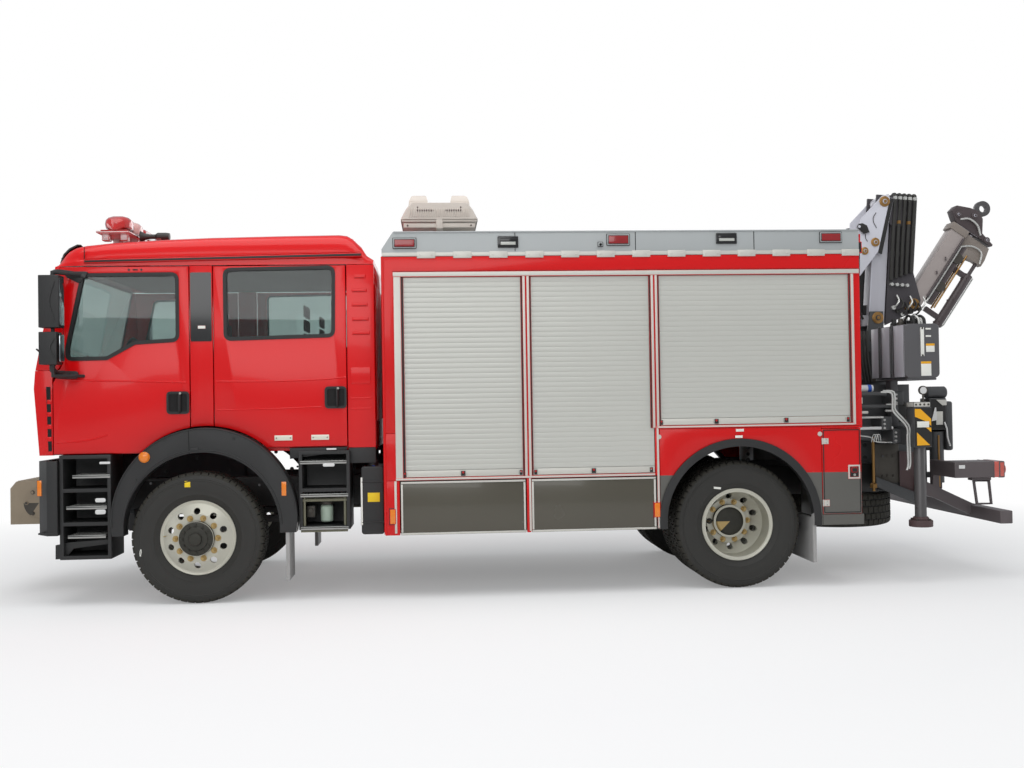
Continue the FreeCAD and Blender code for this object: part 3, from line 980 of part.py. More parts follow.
LEAN = "-boom_lean"
SECOND_PIN = (SLEW + " - first_pin_back - boom_length * sin(boom_lean)", "first_pin_height + boom_length * cos(boom_lean)")
THIRD_PIN = (SECOND_PIN[0] + " - outer_reach * cos(boom_lean) + outer_drop * sin(boom_lean)",
             SECOND_PIN[1] + " - outer_reach * sin(boom_lean) - outer_drop * cos(boom_lean)")


def inner_boom():
    """First boom from the column's pin up to the knuckle, with its ram and the two link plates beside the knuckle."""
    half = "boom_thick / 2"
    beam = box("inner_beam", ("-" + half, half), ("-boom_half", "boom_half"), ("-75", "boom_length - 70"))
    head = box("inner_head", ("-30", "30"), ("-boom_half + 30", "boom_half - 30"), ("boom_length - 120", "boom_length"))
    top = cylinder("inner_top", "y", ("0", "boom_length"), "60", ("-boom_half + 30", "boom_half - 30"))
    bores = [cylinder("inner_bore_%d" % index, "y", ("0", height), "pin_radius + 0.05", ("-200", "200"))
             for index, height in enumerate(("0", "boom_length"))]
    ram = cylinder("knuckle_ram", "z", (half + " + ram_offset", "0"), "ram_radius", ("ram_foot", "ram_top"))
    rod = cylinder("knuckle_rod", "z", (half + " + ram_offset", "0"), "ram_rod_radius", ("ram_top - 20", "ram_end"))
    lug = box("ram_lug", (half + " - 5", half + " + ram_offset + 35"), ("-30", "30"), ("ram_foot - 30", "ram_foot + 60"))
    face = "boom_half + cheek_gap + cheek + link_gap"
    link = prism("link_plate", "XZ", [
        ("-50", "boom_length + 37"), ("-37", "boom_length + 75"), ("25", "boom_length + 54"), ("222", "boom_length - 183"),
        ("200", "boom_length - 723"), ("37", "boom_length - 480")], (face, face + " + link_plate"))
    link_pins = [cylinder(name, "y", (place, height), "link_pin_radius", ("-(%s + link_plate)" % face, face + " + link_plate"))
                 for name, place, height in (("link_pin", "link_pin_at", "link_pin_height"),
                                             ("link_foot_pin", "link_foot_at", "link_foot_height"))]
    node("inner_boom", cut("inner_boom_bored", fuse("inner_joined", beam, head, top, ram, rod, lug, *link_pins,
                                                    *both_sides("link_plate", link)), *bores),
         place=(SLEW + " - first_pin_back", "first_pin_height"), turn=LEAN)


def outer_boom():
    """Second boom, folded down behind the first, with cheeks round the knuckle and the jib pin."""
    front = "-boom_thick / 2 - outer_gap"
    beam = box("outer_beam", (front + " - outer_thick", front), ("-outer_half", "outer_half"), ("-outer_bottom", "outer_top"))
    inner = "boom_half + cheek_gap"
    knuckle = prism("knuckle_cheek", "XZ", [
        (front + " - 120", "-220"), (front, "-220"), ("70", "-60"), ("70", "outer_top"), (front + " - 120", "outer_top")],
        (inner, inner + " + cheek"))
    heel = prism("heel_cheek", "XZ", [
        (front, "-outer_bottom + 160"), (front, "-outer_heel"), ("-outer_reach - 40", "-outer_drop - 55"),
        ("-outer_reach - 60", "-outer_drop + 40"), (front + " - outer_thick", "-outer_bottom + 160")],
        ("jib_half + cheek_gap", "jib_half + cheek_gap + cheek"))
    pins = [cylinder("knuckle_pin", "y", ("0", "0"), "pin_radius", ("-%s" % "boom_half - cheek_gap - cheek", inner + " + cheek")),
            cylinder("jib_pin", "y", ("-outer_reach", "-outer_drop"), "pin_radius",
                     ("-%s" % "jib_half - cheek_gap - cheek", "jib_half + cheek_gap + cheek"))]
    node("outer_boom", fuse("outer_joined", beam, *pins, *both_sides("knuckle_cheek", knuckle), *both_sides("heel_cheek", heel)),
         place=SECOND_PIN, turn=LEAN)


def jib():
    """Hollow jib beam on the outer boom's heel, with the extension ram beside it."""
    half = "jib_thick / 2"
    beam = box("jib_beam", ("-" + half, half), ("-jib_half", "jib_half"), ("40", "jib_length"))
    root = cylinder("jib_root", "y", ("0", "0"), half, ("-jib_half", "jib_half"))
    bore = cylinder("jib_bore", "y", ("0", "0"), "pin_radius + 0.05", ("-200", "200"))
    hollow = box("jib_hollow", ("-%s + jib_wall" % half, half + " - jib_wall"), ("-jib_half + jib_wall", "jib_half - jib_wall"),
                 ("extension_start - 20", "jib_length + 10"))
    ram = cylinder("jib_ram", "z", ("-jib_cylinder_at", "0"), "jib_cylinder_radius", ("120", "jib_length - 130"))
    ram_bore = cylinder("jib_ram_bore", "z", ("-jib_cylinder_at", "0"), "jib_rod_radius + 0.05", ("150", "jib_length"))
    saddle = box("jib_ram_saddle", ("-jib_cylinder_at", "-%s + 2" % half), ("-30", "30"), ("140", "240"))
    fold_ram = cylinder("fold_ram", "z", ("-fold_ram_at", "0"), "fold_ram_radius", ("fold_ram_start", "fold_ram_end"))
    fold_rod = cylinder("fold_rod", "z", ("-fold_ram_at", "0"), "fold_rod_radius", ("fold_ram_end - 10", "yoke_start + 20"))
    yoke = prism("jib_yoke", "XZ", [
        ("-%s + 10" % half, "yoke_start - 35"), ("-%s" % half, "yoke_top"), ("-yoke_side + 25", "yoke_top"),
        ("-yoke_side", "yoke_top - 120"), ("-yoke_side", "yoke_start"), ("-yoke_side + 90", "yoke_start"),
        ("-jib_cylinder_at", "yoke_start - 35")], ("-yoke_half", "yoke_half"))
    collar = box("jib_collar", ("-%s - 10" % half, half + " + 20"), ("-jib_half - 10", "jib_half + 10"), ("jib_length - 70", "jib_length"))
    stays = [box("fold_stay_%d" % index, ("-fold_ram_at", "-jib_cylinder_at"), ("-20", "20"), (height, height + " + 45"))
             for index, height in enumerate(("fold_ram_start + 50", "fold_ram_end - 50"))]
    node("jib", cut("jib_cut", fuse("jib_joined", beam, root, ram, saddle, fold_ram, fold_rod, yoke, collar, *stays), bore, hollow, ram_bore),
         place=THIRD_PIN, turn="-jib_lean")


def jib_extension():
    """Inner tube, head plate, neck and hook ring, sliding out of the jib."""
    side = "jib_thick / 2 - jib_wall - extension_clear"
    deep = "jib_half - jib_wall - extension_clear"
    tube = box("extension_tube", ("-(%s)" % side, side), ("-(%s)" % deep, deep), ("extension_start", "jib_length + 60"))
    plate = box("extension_plate", ("-jib_cylinder_at - 50", side), ("-(%s)" % deep, deep), ("jib_length + 10", "jib_length + 60"))
    rod = cylinder("extension_rod", "z", ("-jib_cylinder_at", "0"), "jib_rod_radius", ("200", "jib_length + 20"))
    low = "jib_length + 16"
    high = low + " + hook_head_height"
    head = prism("extension_head", "XZ", [
        (side, low), ("hook_head_cap - 65", low + " + 25"), ("hook_head_cap", high + " - 140"), ("hook_head_cap - 13", high + " - 75"),
        ("25", high + " - 20"), ("-60", high), ("-136", high + " - 40"), ("-hook_head_side + 146", high + " - 160"),
        ("-hook_head_side", low + " + 20"), ("-hook_head_side", low)], ("-hook_head_half", "hook_head_half"))
    ring = cylinder("hook_ring", "y", ("-hook_across", "hook_at"), "hook_radius", ("-hook_thick / 2", "hook_thick / 2"))
    hole = cylinder("hook_ring_hole", "y", ("-hook_across", "hook_at"), "hook_hole", ("-hook_thick", "hook_thick"))
    node("jib_extension", cut("extension_cut", fuse("extension_joined", tube, plate, rod, head, ring), hole),
         place=THIRD_PIN, turn="-jib_lean")


def oil_tank():
    """Hydraulic tank beside the crane, on a tray and an upright from the stabiliser beam."""
    tank = prism("oil_tank_body", "XZ", [
        (REAR_AXLE + " - oil_back", "oil_bottom"), (REAR_AXLE + " - oil_front", "oil_bottom"),
        (REAR_AXLE + " - oil_front", "oil_top"), (REAR_AXLE + " - oil_back", "oil_top")], ("oil_inner", "oil_outer"), "40")
    upright = box("oil_tank_upright", (REAR_AXLE + " - beam_front - 70", REAR_AXLE + " - beam_front"),
                  ("oil_inner + 150", "oil_inner + 250"), ("beam_top", "oil_bottom"))
    tray = box("oil_tank_tray", (REAR_AXLE + " - oil_back + 20", REAR_AXLE + " - oil_front - 20"),
               ("oil_inner + 20", "oil_outer - 20"), ("oil_bottom - 20", "oil_bottom"))
    node("oil_tank", fuse("oil_tank_joined", tank, upright, tray))


def rear_bumper():
    """Underrun beam on two arms and a tail lamp box on each side."""
    rear = REAR_AXLE
    beam = box("underrun_beam", (rear + " - underrun_back", rear + " - underrun_back + underrun_depth"),
               ("-underrun_half", "underrun_half"), ("underrun_bottom", "underrun_bottom + underrun_height"))
    arm = prism("underrun_arm", "XZ", [
        (rear + " - base_back + 200", "720"), (rear + " - base_back + 200", "860"),
        (rear + " - base_back", "760"), (rear + " - underrun_back + underrun_depth / 2", "underrun_bottom + underrun_height"),
        (rear + " - underrun_back + underrun_depth / 2", "underrun_bottom"), (rear + " - base_back", "650")],
        ("side_block", "side_block + underrun_arm"))
    lamp = box("tail_lamp", (rear + " - tail_back", rear + " - tail_front"), ("tail_inner", "tail_outer"), ("tail_bottom", "tail_top"))
    stay = box("tail_stay", (rear + " - tail_front - 60", rear + " - tail_front"), ("side_block", "tail_inner + 10"), ("tail_bottom", "tail_top"))
    post = box("tail_post", (rear + " - tail_front - 60", rear + " - tail_front"), ("side_block", "side_block + underrun_arm"), ("700", "tail_top"))
    pieces = both_sides("underrun_arm", arm) + both_sides("tail_lamp", lamp) + both_sides("tail_stay", stay) + both_sides("tail_post", post)
    node("rear_bumper", fuse("rear_bumper_joined", beam, *pieces))


for build in (chassis_frame, front_axle, rear_axle, engine_block, side_tanks, wheels, knuckles, spare_wheel,
              cab_floor, cab_front, cab_sides, cab_roof, windscreen, cab_doors, cab_interior,
              wheel_guards, cab_steps, bumper, winch, mirrors, lamps,
              body_floor, body_end_walls, body_sides, body_roof, shutters, body_doors,
              light_mast, crane_base, stabiliser_legs, crane_column, inner_boom, outer_boom, jib,
              jib_extension, oil_tank, rear_bumper):
    build()

doc.recompute()
broken = [thing.Name for thing in doc.Objects if {"Invalid", "Error"} & set(thing.State)]
broken += [part.Label for part in nodes if part.Shape.isNull() or not part.Shape.isValid()]
if broken:
    raise RuntimeError("failed: " + ", ".join(broken))
os.makedirs("parts", exist_ok=True)
whole = FreeCAD.BoundBox()
for part in nodes:
    part.Shape.exportStep("parts/%s.step" % part.Label)
    whole.add(part.Shape.BoundBox)
print(len(nodes), "sub-parts,", whole)
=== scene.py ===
"""Looks of the heavy rescue truck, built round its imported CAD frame.

Metres; +X forward, +Y left, +Z up, the ground at z = 0.
"""
import math
import bmesh
import bpy
from mathutils import Matrix, Vector


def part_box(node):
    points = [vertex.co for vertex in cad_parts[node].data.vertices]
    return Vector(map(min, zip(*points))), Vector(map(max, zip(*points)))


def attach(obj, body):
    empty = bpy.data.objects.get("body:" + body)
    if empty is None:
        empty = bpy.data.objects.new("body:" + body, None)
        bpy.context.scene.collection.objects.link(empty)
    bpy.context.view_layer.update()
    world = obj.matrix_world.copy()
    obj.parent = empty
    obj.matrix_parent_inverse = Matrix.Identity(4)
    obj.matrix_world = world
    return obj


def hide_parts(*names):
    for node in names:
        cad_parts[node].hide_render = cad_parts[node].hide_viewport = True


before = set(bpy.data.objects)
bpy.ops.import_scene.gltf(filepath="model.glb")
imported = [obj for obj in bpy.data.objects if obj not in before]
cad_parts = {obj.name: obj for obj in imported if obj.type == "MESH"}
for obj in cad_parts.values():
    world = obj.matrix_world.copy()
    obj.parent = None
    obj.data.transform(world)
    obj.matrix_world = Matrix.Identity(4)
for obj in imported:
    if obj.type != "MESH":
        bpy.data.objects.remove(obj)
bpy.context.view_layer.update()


# ---------------------------------------------------------------- studio
# Pale floor and white surround, lit by a broad lamp overhead and one at each side and each end.
# The camera stands about nine metres off the left-hand side, a little ahead of the middle.
studio = bpy.context.scene
studio.view_settings.view_transform = "Standard"
camera = bpy.data.objects.new("camera", bpy.data.cameras.new("camera"))
camera.data.lens = 37.74
camera.data.sensor_width = 36
camera.data.clip_end = 200
camera_place = (0.824, 10.027, 1.613)
turned_deg, tilted_deg, rolled_deg = 175.932, 90.802, -0.8986
camera.matrix_world = (Matrix.Translation(camera_place) @ Matrix.Rotation(math.radians(turned_deg), 4, "Z")
                       @ Matrix.Rotation(math.radians(tilted_deg), 4, "X")
                       @ Matrix.Rotation(math.radians(rolled_deg), 4, "Z"))
studio.collection.objects.link(camera)
studio.camera = camera

sky = bpy.data.worlds.new("surround")
sky.use_nodes = True
studio.world = sky
sky_nodes = sky.node_tree.nodes
sky_links = sky.node_tree.links
daylight = sky_nodes["Background"]
daylight.inputs["Color"].default_value = (0.93, 0.96, 1.0, 1)
daylight.inputs["Strength"].default_value = 0.5
seen = sky_nodes.new("ShaderNodeBackground")
seen.inputs["Color"].default_value = (1, 1, 1, 1)
ray = sky_nodes.new("ShaderNodeLightPath")
either = sky_nodes.new("ShaderNodeMath")
either.operation = "MAXIMUM"
choose = sky_nodes.new("ShaderNodeMixShader")
sky_links.new(ray.outputs["Is Camera Ray"], either.inputs[0])
sky_links.new(ray.outputs["Is Transmission Ray"], either.inputs[1])
sky_links.new(either.outputs[0], choose.inputs["Fac"])
sky_links.new(daylight.outputs[0], choose.inputs[1])
sky_links.new(seen.outputs[0], choose.inputs[2])
sky_links.new(choose.outputs[0], sky_nodes["World Output"].inputs["Surface"])

for name, place, size, power in (("roof_lamp", (1.0, 3.0, 9.0), (12.0, 7.0), 520),
                                 ("near_lamp", (3.0, 11.0, 5.0), (9.0, 4.0), 230),
                                 ("front_lamp", (12.0, 1.0, 4.0), (5.0, 4.0), 130),
                                 ("far_lamp", (-3.0, -11.0, 5.5), (9.0, 4.0), 200),
                                 ("rear_lamp", (-12.0, 2.0, 4.0), (5.0, 4.0), 130)):
    lamp = bpy.data.objects.new(name, bpy.data.lights.new(name, "AREA"))
    lamp.data.shape = "RECTANGLE"
    lamp.data.size, lamp.data.size_y = size
    lamp.data.energy = power
    lamp.location = place
    lamp.rotation_euler = (Vector((0, 0, 1.5)) - lamp.location).to_track_quat("-Z", "Y").to_euler()
    studio.collection.objects.link(lamp)

floor_mesh = bpy.data.meshes.new("studio_floor")
floor_mesh.from_pydata([(-60, -60, -0.002), (60, -60, -0.002), (60, 60, -0.002), (-60, 60, -0.002)], [],
                       [(0, 1, 2, 3)])
floor = bpy.data.objects.new("studio_floor", floor_mesh)
studio.collection.objects.link(floor)
paper = bpy.data.materials.new("pale_floor")
paper.use_nodes = True
floor_mesh.materials.append(paper)
paper_nodes = paper.node_tree.nodes
paper_links = paper.node_tree.links
paper_nodes["Principled BSDF"].inputs["Base Color"].default_value = (0.86, 0.86, 0.86, 1)
paper_nodes["Principled BSDF"].inputs["Roughness"].default_value = 0.9
paper_nodes["Principled BSDF"].inputs["Specular IOR Level"].default_value = 0.0
glow = paper_nodes.new("ShaderNodeEmission")
spot = paper_nodes.new("ShaderNodeTexCoord")
reach = paper_nodes.new("ShaderNodeVectorMath")
reach.operation = "LENGTH"
fade = paper_nodes.new("ShaderNodeMapRange")
fade.inputs["From Min"].default_value = 4.5
fade.inputs["From Max"].default_value = 9.0
fade.inputs["To Min"].default_value = 0.25
path = paper_nodes.new("ShaderNodeLightPath")
gate = paper_nodes.new("ShaderNodeMath")
gate.operation = "MULTIPLY"
blank = paper_nodes.new("ShaderNodeMixShader")
paper_links.new(spot.outputs["Object"], reach.inputs[0])
paper_links.new(reach.outputs["Value"], fade.inputs["Value"])
paper_links.new(fade.outputs[0], gate.inputs[0])
paper_links.new(path.outputs["Is Camera Ray"], gate.inputs[1])
paper_links.new(gate.outputs[0], blank.inputs["Fac"])
paper_links.new(paper_nodes["Principled BSDF"].outputs[0], blank.inputs[1])
paper_links.new(glow.outputs[0], blank.inputs[2])
paper_links.new(blank.outputs[0], paper_nodes["Material Output"].inputs["Surface"])


# ---------------------------------------------------------------- chassis
# Pressed channel rails, cross-members and axles under satin black paint; the spring leaves are bare steel.
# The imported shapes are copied, their edges eased, and bolts and spring leaves are added.
front = sum(corner.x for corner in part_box("rim_front_left")) / 2
rear = sum(corner.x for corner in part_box("rim_rear_left")) / 2
axle_height = sum(corner.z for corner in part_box("rim_front_left")) / 2


def tone(red, green, blue):
    """Linear colour from an eight-bit display colour."""
    return tuple(((part / 255 + 0.055) / 1.055) ** 2.4 if part > 10 else part / 3295
                 for part in (red, green, blue))


def finish(name, colour, shade=0.82, patch=2.0, rough=0.4, wander=0.08, metal=0.0, clear=0.0, shine=0.5,
           grain=0.0, grain_scale=350.0, stretch=(1, 1, 1)):
    """Surface finish: two near tones in broad patches, roughness that wanders, and a fine raised grain."""
    made = bpy.data.materials.new(name)
    made.use_nodes = True
    parts = made.node_tree.nodes
    join = made.node_tree.links.new
    shader = parts["Principled BSDF"]
    shader.inputs["Metallic"].default_value = metal
    shader.inputs["Coat Weight"].default_value = clear
    shader.inputs["Coat Roughness"].default_value = 0.06
    shader.inputs["Specular IOR Level"].default_value = shine
    where = parts.new("ShaderNodeTexCoord")
    scale = parts.new("ShaderNodeMapping")
    scale.inputs["Scale"].default_value = stretch
    join(where.outputs["Object"], scale.inputs["Vector"])
    cloud = parts.new("ShaderNodeTexNoise")
    cloud.inputs["Scale"].default_value = patch
    cloud.inputs["Detail"].default_value = 5
    join(scale.outputs[0], cloud.inputs["Vector"])
    blend = parts.new("ShaderNodeMixRGB")
    blend.inputs["Color1"].default_value = (*[part * shade for part in colour], 1)
    blend.inputs["Color2"].default_value = (*colour, 1)
    join(cloud.outputs["Fac"], blend.inputs["Fac"])
    join(blend.outputs[0], shader.inputs["Base Color"])
    worn = parts.new("ShaderNodeMapRange")
    worn.inputs["To Min"].default_value = max(rough - wander, 0.02)
    worn.inputs["To Max"].default_value = rough + wander
    join(cloud.outputs["Fac"], worn.inputs["Value"])
    join(worn.outputs[0], shader.inputs["Roughness"])
    if grain:
        fine = parts.new("ShaderNodeTexNoise")
        fine.inputs["Scale"].default_value = grain_scale
        fine.inputs["Detail"].default_value = 2
        join(scale.outputs[0], fine.inputs["Vector"])
        relief = parts.new("ShaderNodeBump")
        relief.inputs["Strength"].default_value = grain
        relief.inputs["Distance"].default_value = 0.001
        join(fine.outputs["Fac"], relief.inputs["Height"])
        join(relief.outputs[0], shader.inputs["Normal"])
    return made


def each_once(lists):
    """What the lists hold, each thing once, in the order it is first met."""
    return list(dict.fromkeys(thing for things in lists for thing in things))


def block(shape, low, high, paint=0, soft=0.003, turns=2):
    """Box between two corners, its edges eased."""
    low, high = [min(pair) for pair in zip(low, high)], [max(pair) for pair in zip(low, high)]
    corners = bmesh.ops.create_cube(shape, size=1)["verts"]
    for corner in corners:
        corner.co = Vector([low[k] + (corner.co[k] + 0.5) * (high[k] - low[k]) for k in range(3)])
    for face in each_once(corner.link_faces for corner in corners):
        face.material_index = paint
    if soft:
        soft = min(soft, 0.45 * min(high[k] - low[k] for k in range(3)))
        bmesh.ops.bevel(shape, geom=each_once(corner.link_edges for corner in corners), offset=soft,
                        segments=turns, profile=0.5, affect="EDGES")


def rod(shape, start, end, radius, paint=0, sides=16, tip=None):
    """Round bar between two points; tip gives another radius at the far end."""
    start, end = Vector(start), Vector(end)
    run = end - start
    place = Matrix.Translation((start + end) / 2) @ run.to_track_quat("Z", "Y").to_matrix().to_4x4()
    corners = bmesh.ops.create_cone(shape, cap_ends=True, segments=sides, radius1=radius,
                                    radius2=radius if tip is None else tip, depth=run.length,
                                    matrix=place)["verts"]
    for face in each_once(corner.link_faces for corner in corners):
        face.material_index = paint


def skin(shape, rings, paint=0, looped=False):
    """Closed surface through like rings of points, in order."""
    rows = [[shape.verts.new(point) for point in ring] for ring in rings]
    pairs = list(zip(rows, rows[1:])) + ([(rows[-1], rows[0])] if looped else [])
    faces = []
    for one, two in pairs:
        for k in range(len(one)):
            nxt = (k + 1) % len(one)
            faces.append(shape.faces.new((one[k], one[nxt], two[nxt], two[k])))
    if not looped:
        faces += [shape.faces.new(rows[0]), shape.faces.new(rows[-1])]
    for face in faces:
        face.material_index = paint
    bmesh.ops.recalc_face_normals(shape, faces=faces)
    return faces


AXES = {"x": lambda u, v, w: (w, u, v), "y": lambda u, v, w: (u, w, v), "z": lambda u, v, w: (u, v, w)}


def plate(shape, outline, low, high, axis="y", paint=0, soft=0.0, turns=2):
    """Flat piece cut to an outline and given its thickness along an axis."""
    lay = AXES[axis]
    faces = skin(shape, [[lay(u, v, low) for u, v in outline], [lay(u, v, high) for u, v in outline]], paint)
    if soft:
        edges = each_once(face.edges for face in faces)
        bmesh.ops.bevel(shape, geom=edges, offset=soft, segments=turns, profile=0.5, affect="EDGES")


def turned(shape, profile, centre=(0, 0, 0), axis="y", sides=48, paint=0):
    """Ring or disc turned from (radius, along) points, closed into itself."""
    lay = AXES[axis]
    centre = Vector(centre)
    rings = []
    for step in range(sides):
        angle = math.tau * step / sides
        rings.append([centre + Vector(lay(radius * math.cos(angle), radius * math.sin(angle), along))
                      for radius, along in profile])
    faces = skin(shape, rings, paint, looped=True)
    poles = each_once(face.verts for face in faces)
    bmesh.ops.remove_doubles(shape, verts=poles, dist=1e-6)


def pipe(shape, points, radius, paint=0, sides=10, looped=False, flat=1.0):
    """Round pipe or rubber strip along points."""
    points = [Vector(point) for point in points]
    count = len(points)
    rings = []
    side = None
    for k, point in enumerate(points):
        before = points[k - 1] if k or looped else point
        after = points[(k + 1) % count] if k < count - 1 or looped else point
        run = (after - before).normalized()
        if side is None:
            side = run.orthogonal().normalized()
        side = (side - run * side.dot(run)).normalized()
        other = run.cross(side)
        rings.append([point + side * radius * math.cos(a) + other * radius * flat * math.sin(a)
                      for a in (math.tau * step / sides for step in range(sides))])
    skin(shape, rings, paint, looped=looped)


def curve_through(points, steps=6):
    """Smooth points through a few corners."""
    points = [Vector(point) for point in points]
    ends = [points[0] * 2 - points[1]] + points + [points[-1] * 2 - points[-2]]
    out = []
    for a, b, c, d in zip(ends, ends[1:], ends[2:], ends[3:]):
        for step in range(steps):
            t = step / steps
            out.append(0.5 * (2 * b + (c - a) * t + (2 * a - 5 * b + 4 * c - d) * t * t
                              + (3 * b - a - 3 * c + d) * t ** 3))
    return out + [points[-1]]


def across(shape):
    """A new shape that is the mirror image on the right-hand side."""
    other = shape.copy()
    for corner in other.verts:
        corner.co.y = -corner.co.y
    bmesh.ops.reverse_faces(other, faces=other.faces)
    return other


def pour(shape, other, place=None, paint=None):
    """Add one shape to another, moved into place."""
    mesh = bpy.data.meshes.new("poured")
    other.to_mesh(mesh)
    if place is not None:
        mesh.transform(place)
    first = len(shape.faces)
    shape.from_mesh(mesh)
    bpy.data.meshes.remove(mesh)
    shape.faces.ensure_lookup_table()
    # new faces can take deleted ones' numbers; a few older faces then come after first and are painted too
    if paint is not None:
        for face in shape.faces[first:]:
            face.material_index = paint


def both(shape):
    """The shape with its mirror image added."""
    pour(shape, across(shape))
    return shape


def fit(shape, name, body, finishes, crease=34, stands_for=()):
    """Turn a finished shape into a piece that rides on a body."""
    mesh = bpy.data.meshes.new(name)
    shape.to_mesh(mesh)
    shape.free()
    for item in finishes:
        mesh.materials.append(item)
    mesh.polygons.foreach_set("use_smooth", [True] * len(mesh.polygons))
    mesh.set_sharp_from_angle(angle=math.radians(crease))
    piece = bpy.data.objects.new(name, mesh)
    studio.collection.objects.link(piece)
    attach(piece, body)
    if stands_for:
        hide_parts(*stands_for)
    return piece


def fit_pair(shape, name, body, finishes, node):
    """Fit a left-hand shape, and its mirror image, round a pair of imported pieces."""
    other = across(shape)
    fit(shape, name + "_left", body + "_left", finishes, stands_for=[node + "_left"])
    fit(other, name + "_right", body + "_right", finishes, stands_for=[node + "_right"])


def copied(node, soft=0.004, turns=2, rule=None):
    """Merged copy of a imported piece, hard edges eased; rule picks a finish by a face's middle and facing."""
    shape = bmesh.new()
    shape.from_mesh(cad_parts[node].data)
    bmesh.ops.remove_doubles(shape, verts=shape.verts, dist=2e-5)
    bmesh.ops.dissolve_limit(shape, angle_limit=math.radians(1.2), verts=shape.verts, edges=shape.edges)
    if soft:
        hard = [edge for edge in shape.edges if len(edge.link_faces) == 2
                and edge.calc_face_angle(0) > math.radians(30)]
        bmesh.ops.bevel(shape, geom=hard, offset=soft, segments=turns, profile=0.5, affect="EDGES",
                        clamp_overlap=True)
    for face in shape.faces:
        face.material_index = rule(face.calc_center_median(), face.normal) if rule else 0
    return shape


def repeat_tree():
    """Node tree that sets one piece out again and again along a step or round a turn."""
    tree = bpy.data.node_groups.new("row_of_like_pieces", "GeometryNodeTree")
    named = {}
    for name, kind in (("Piece", "Object"), ("Count", "Int"), ("Start", "Vector"), ("Step", "Vector"),
                       ("Turn", "Vector")):
        named[name] = tree.interface.new_socket(name, in_out="INPUT",
                                                socket_type="NodeSocket" + kind).identifier
    tree.interface.new_socket("Geometry", in_out="OUTPUT", socket_type="NodeSocketGeometry")
    given = tree.nodes.new("NodeGroupInput").outputs
    made = tree.nodes.new("NodeGroupOutput")
    line = tree.nodes.new("GeometryNodeMeshLine")
    line.mode = "OFFSET"
    piece = tree.nodes.new("GeometryNodeObjectInfo")
    order = tree.nodes.new("GeometryNodeInputIndex")
    spin = tree.nodes.new("ShaderNodeVectorMath")
    spin.operation = "SCALE"
    turn = tree.nodes.new("FunctionNodeEulerToRotation")
    place = tree.nodes.new("GeometryNodeInstanceOnPoints")
    whole = tree.nodes.new("GeometryNodeRealizeInstances")
    for source, node, socket in ((given["Count"], line, "Count"), (given["Start"], line, "Start Location"),
                                 (given["Step"], line, "Offset"), (given["Piece"], piece, "Object"),
                                 (given["Turn"], spin, 0), (order.outputs["Index"], spin, "Scale"),
                                 (spin.outputs["Vector"], turn, 0), (line.outputs[0], place, "Points"),
                                 (piece.outputs["Geometry"], place, "Instance"),
                                 (turn.outputs[0], place, "Rotation"), (place.outputs[0], whole, 0),
                                 (whole.outputs[0], made, "Geometry")):
        tree.links.new(source, node.inputs[socket])
    return tree, named


row_tree, row_inputs = repeat_tree()


def row(shape, piece, count, start, step=(0, 0, 0), turn=(0, 0, 0), paint=0):
    """Add a row or ring of like pieces to a shape; the piece is drawn about the origin."""
    mould_mesh = bpy.data.meshes.new("mould")
    piece.to_mesh(mould_mesh)
    piece.free()
    mould = bpy.data.objects.new("mould", mould_mesh)
    host = bpy.data.objects.new("row", bpy.data.meshes.new("row"))
    studio.collection.objects.link(mould)
    studio.collection.objects.link(host)
    lay_out = host.modifiers.new("row", "NODES")
    lay_out.node_group = row_tree
    for name, value in (("Piece", mould), ("Count", count), ("Start", start), ("Step", step), ("Turn", turn)):
        lay_out[row_inputs[name]] = value
    made = bpy.data.meshes.new_from_object(host.evaluated_get(bpy.context.evaluated_depsgraph_get()))
    first = len(shape.faces)
    shape.from_mesh(made)
    shape.faces.ensure_lookup_table()
    # as in pour, a few older faces can take the paint too
    for face in shape.faces[first:]:
        face.material_index = paint
    for thing in (host, mould):
        mesh = thing.data
        bpy.data.objects.remove(thing)
        bpy.data.meshes.remove(mesh)
    bpy.data.meshes.remove(made)


def hex_bolt(radius, height=0.009, out=1):
    """Hexagon bolt head on its washer, standing out along Y."""
    shape = bmesh.new()
    reach = Vector((0, out, 0))
    rod(shape, (0, 0, 0), reach * 0.003, radius * 1.35, sides=14)
    rod(shape, reach * 0.003, reach * (0.003 + height), radius, sides=6, tip=radius * 0.94)
    return shape


def bolt_circle(count, radius, first=0.0):
    """Offsets of bolts spread evenly round a circle; first is a share of one step."""
    angles = [math.tau * (k + first) / count for k in range(count)]
    return [(radius * math.cos(angle), radius * math.sin(angle)) for angle in angles]


chassis_black = finish("chassis_black", tone(38, 38, 37), rough=0.46, patch=5, grain=0.25, grain_scale=160,
                       shade=0.6)
spring_steel = finish("spring_steel", tone(52, 50, 47), rough=0.5, patch=9, shade=0.6, grain=0.3,
                      grain_scale=220)
dull_iron = finish("dull_iron", tone(88, 84, 78), rough=0.55, patch=12, shade=0.6, metal=0.6, grain=0.4,
                   grain_scale=260)

rails = copied("chassis_frame", soft=0.006)
low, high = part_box("chassis_frame")
for side in (-1, 1):
    for level in (-0.075, -0.185):
        row(rails, hex_bolt(0.013, out=side), 26, (low.x + 0.12, side * 0.46, high.z + level),
            step=((high.x - low.x - 0.3) / 25, 0, 0))
fit(rails, "chassis_rails", "vehicle", [chassis_black], stands_for=["chassis_frame"])

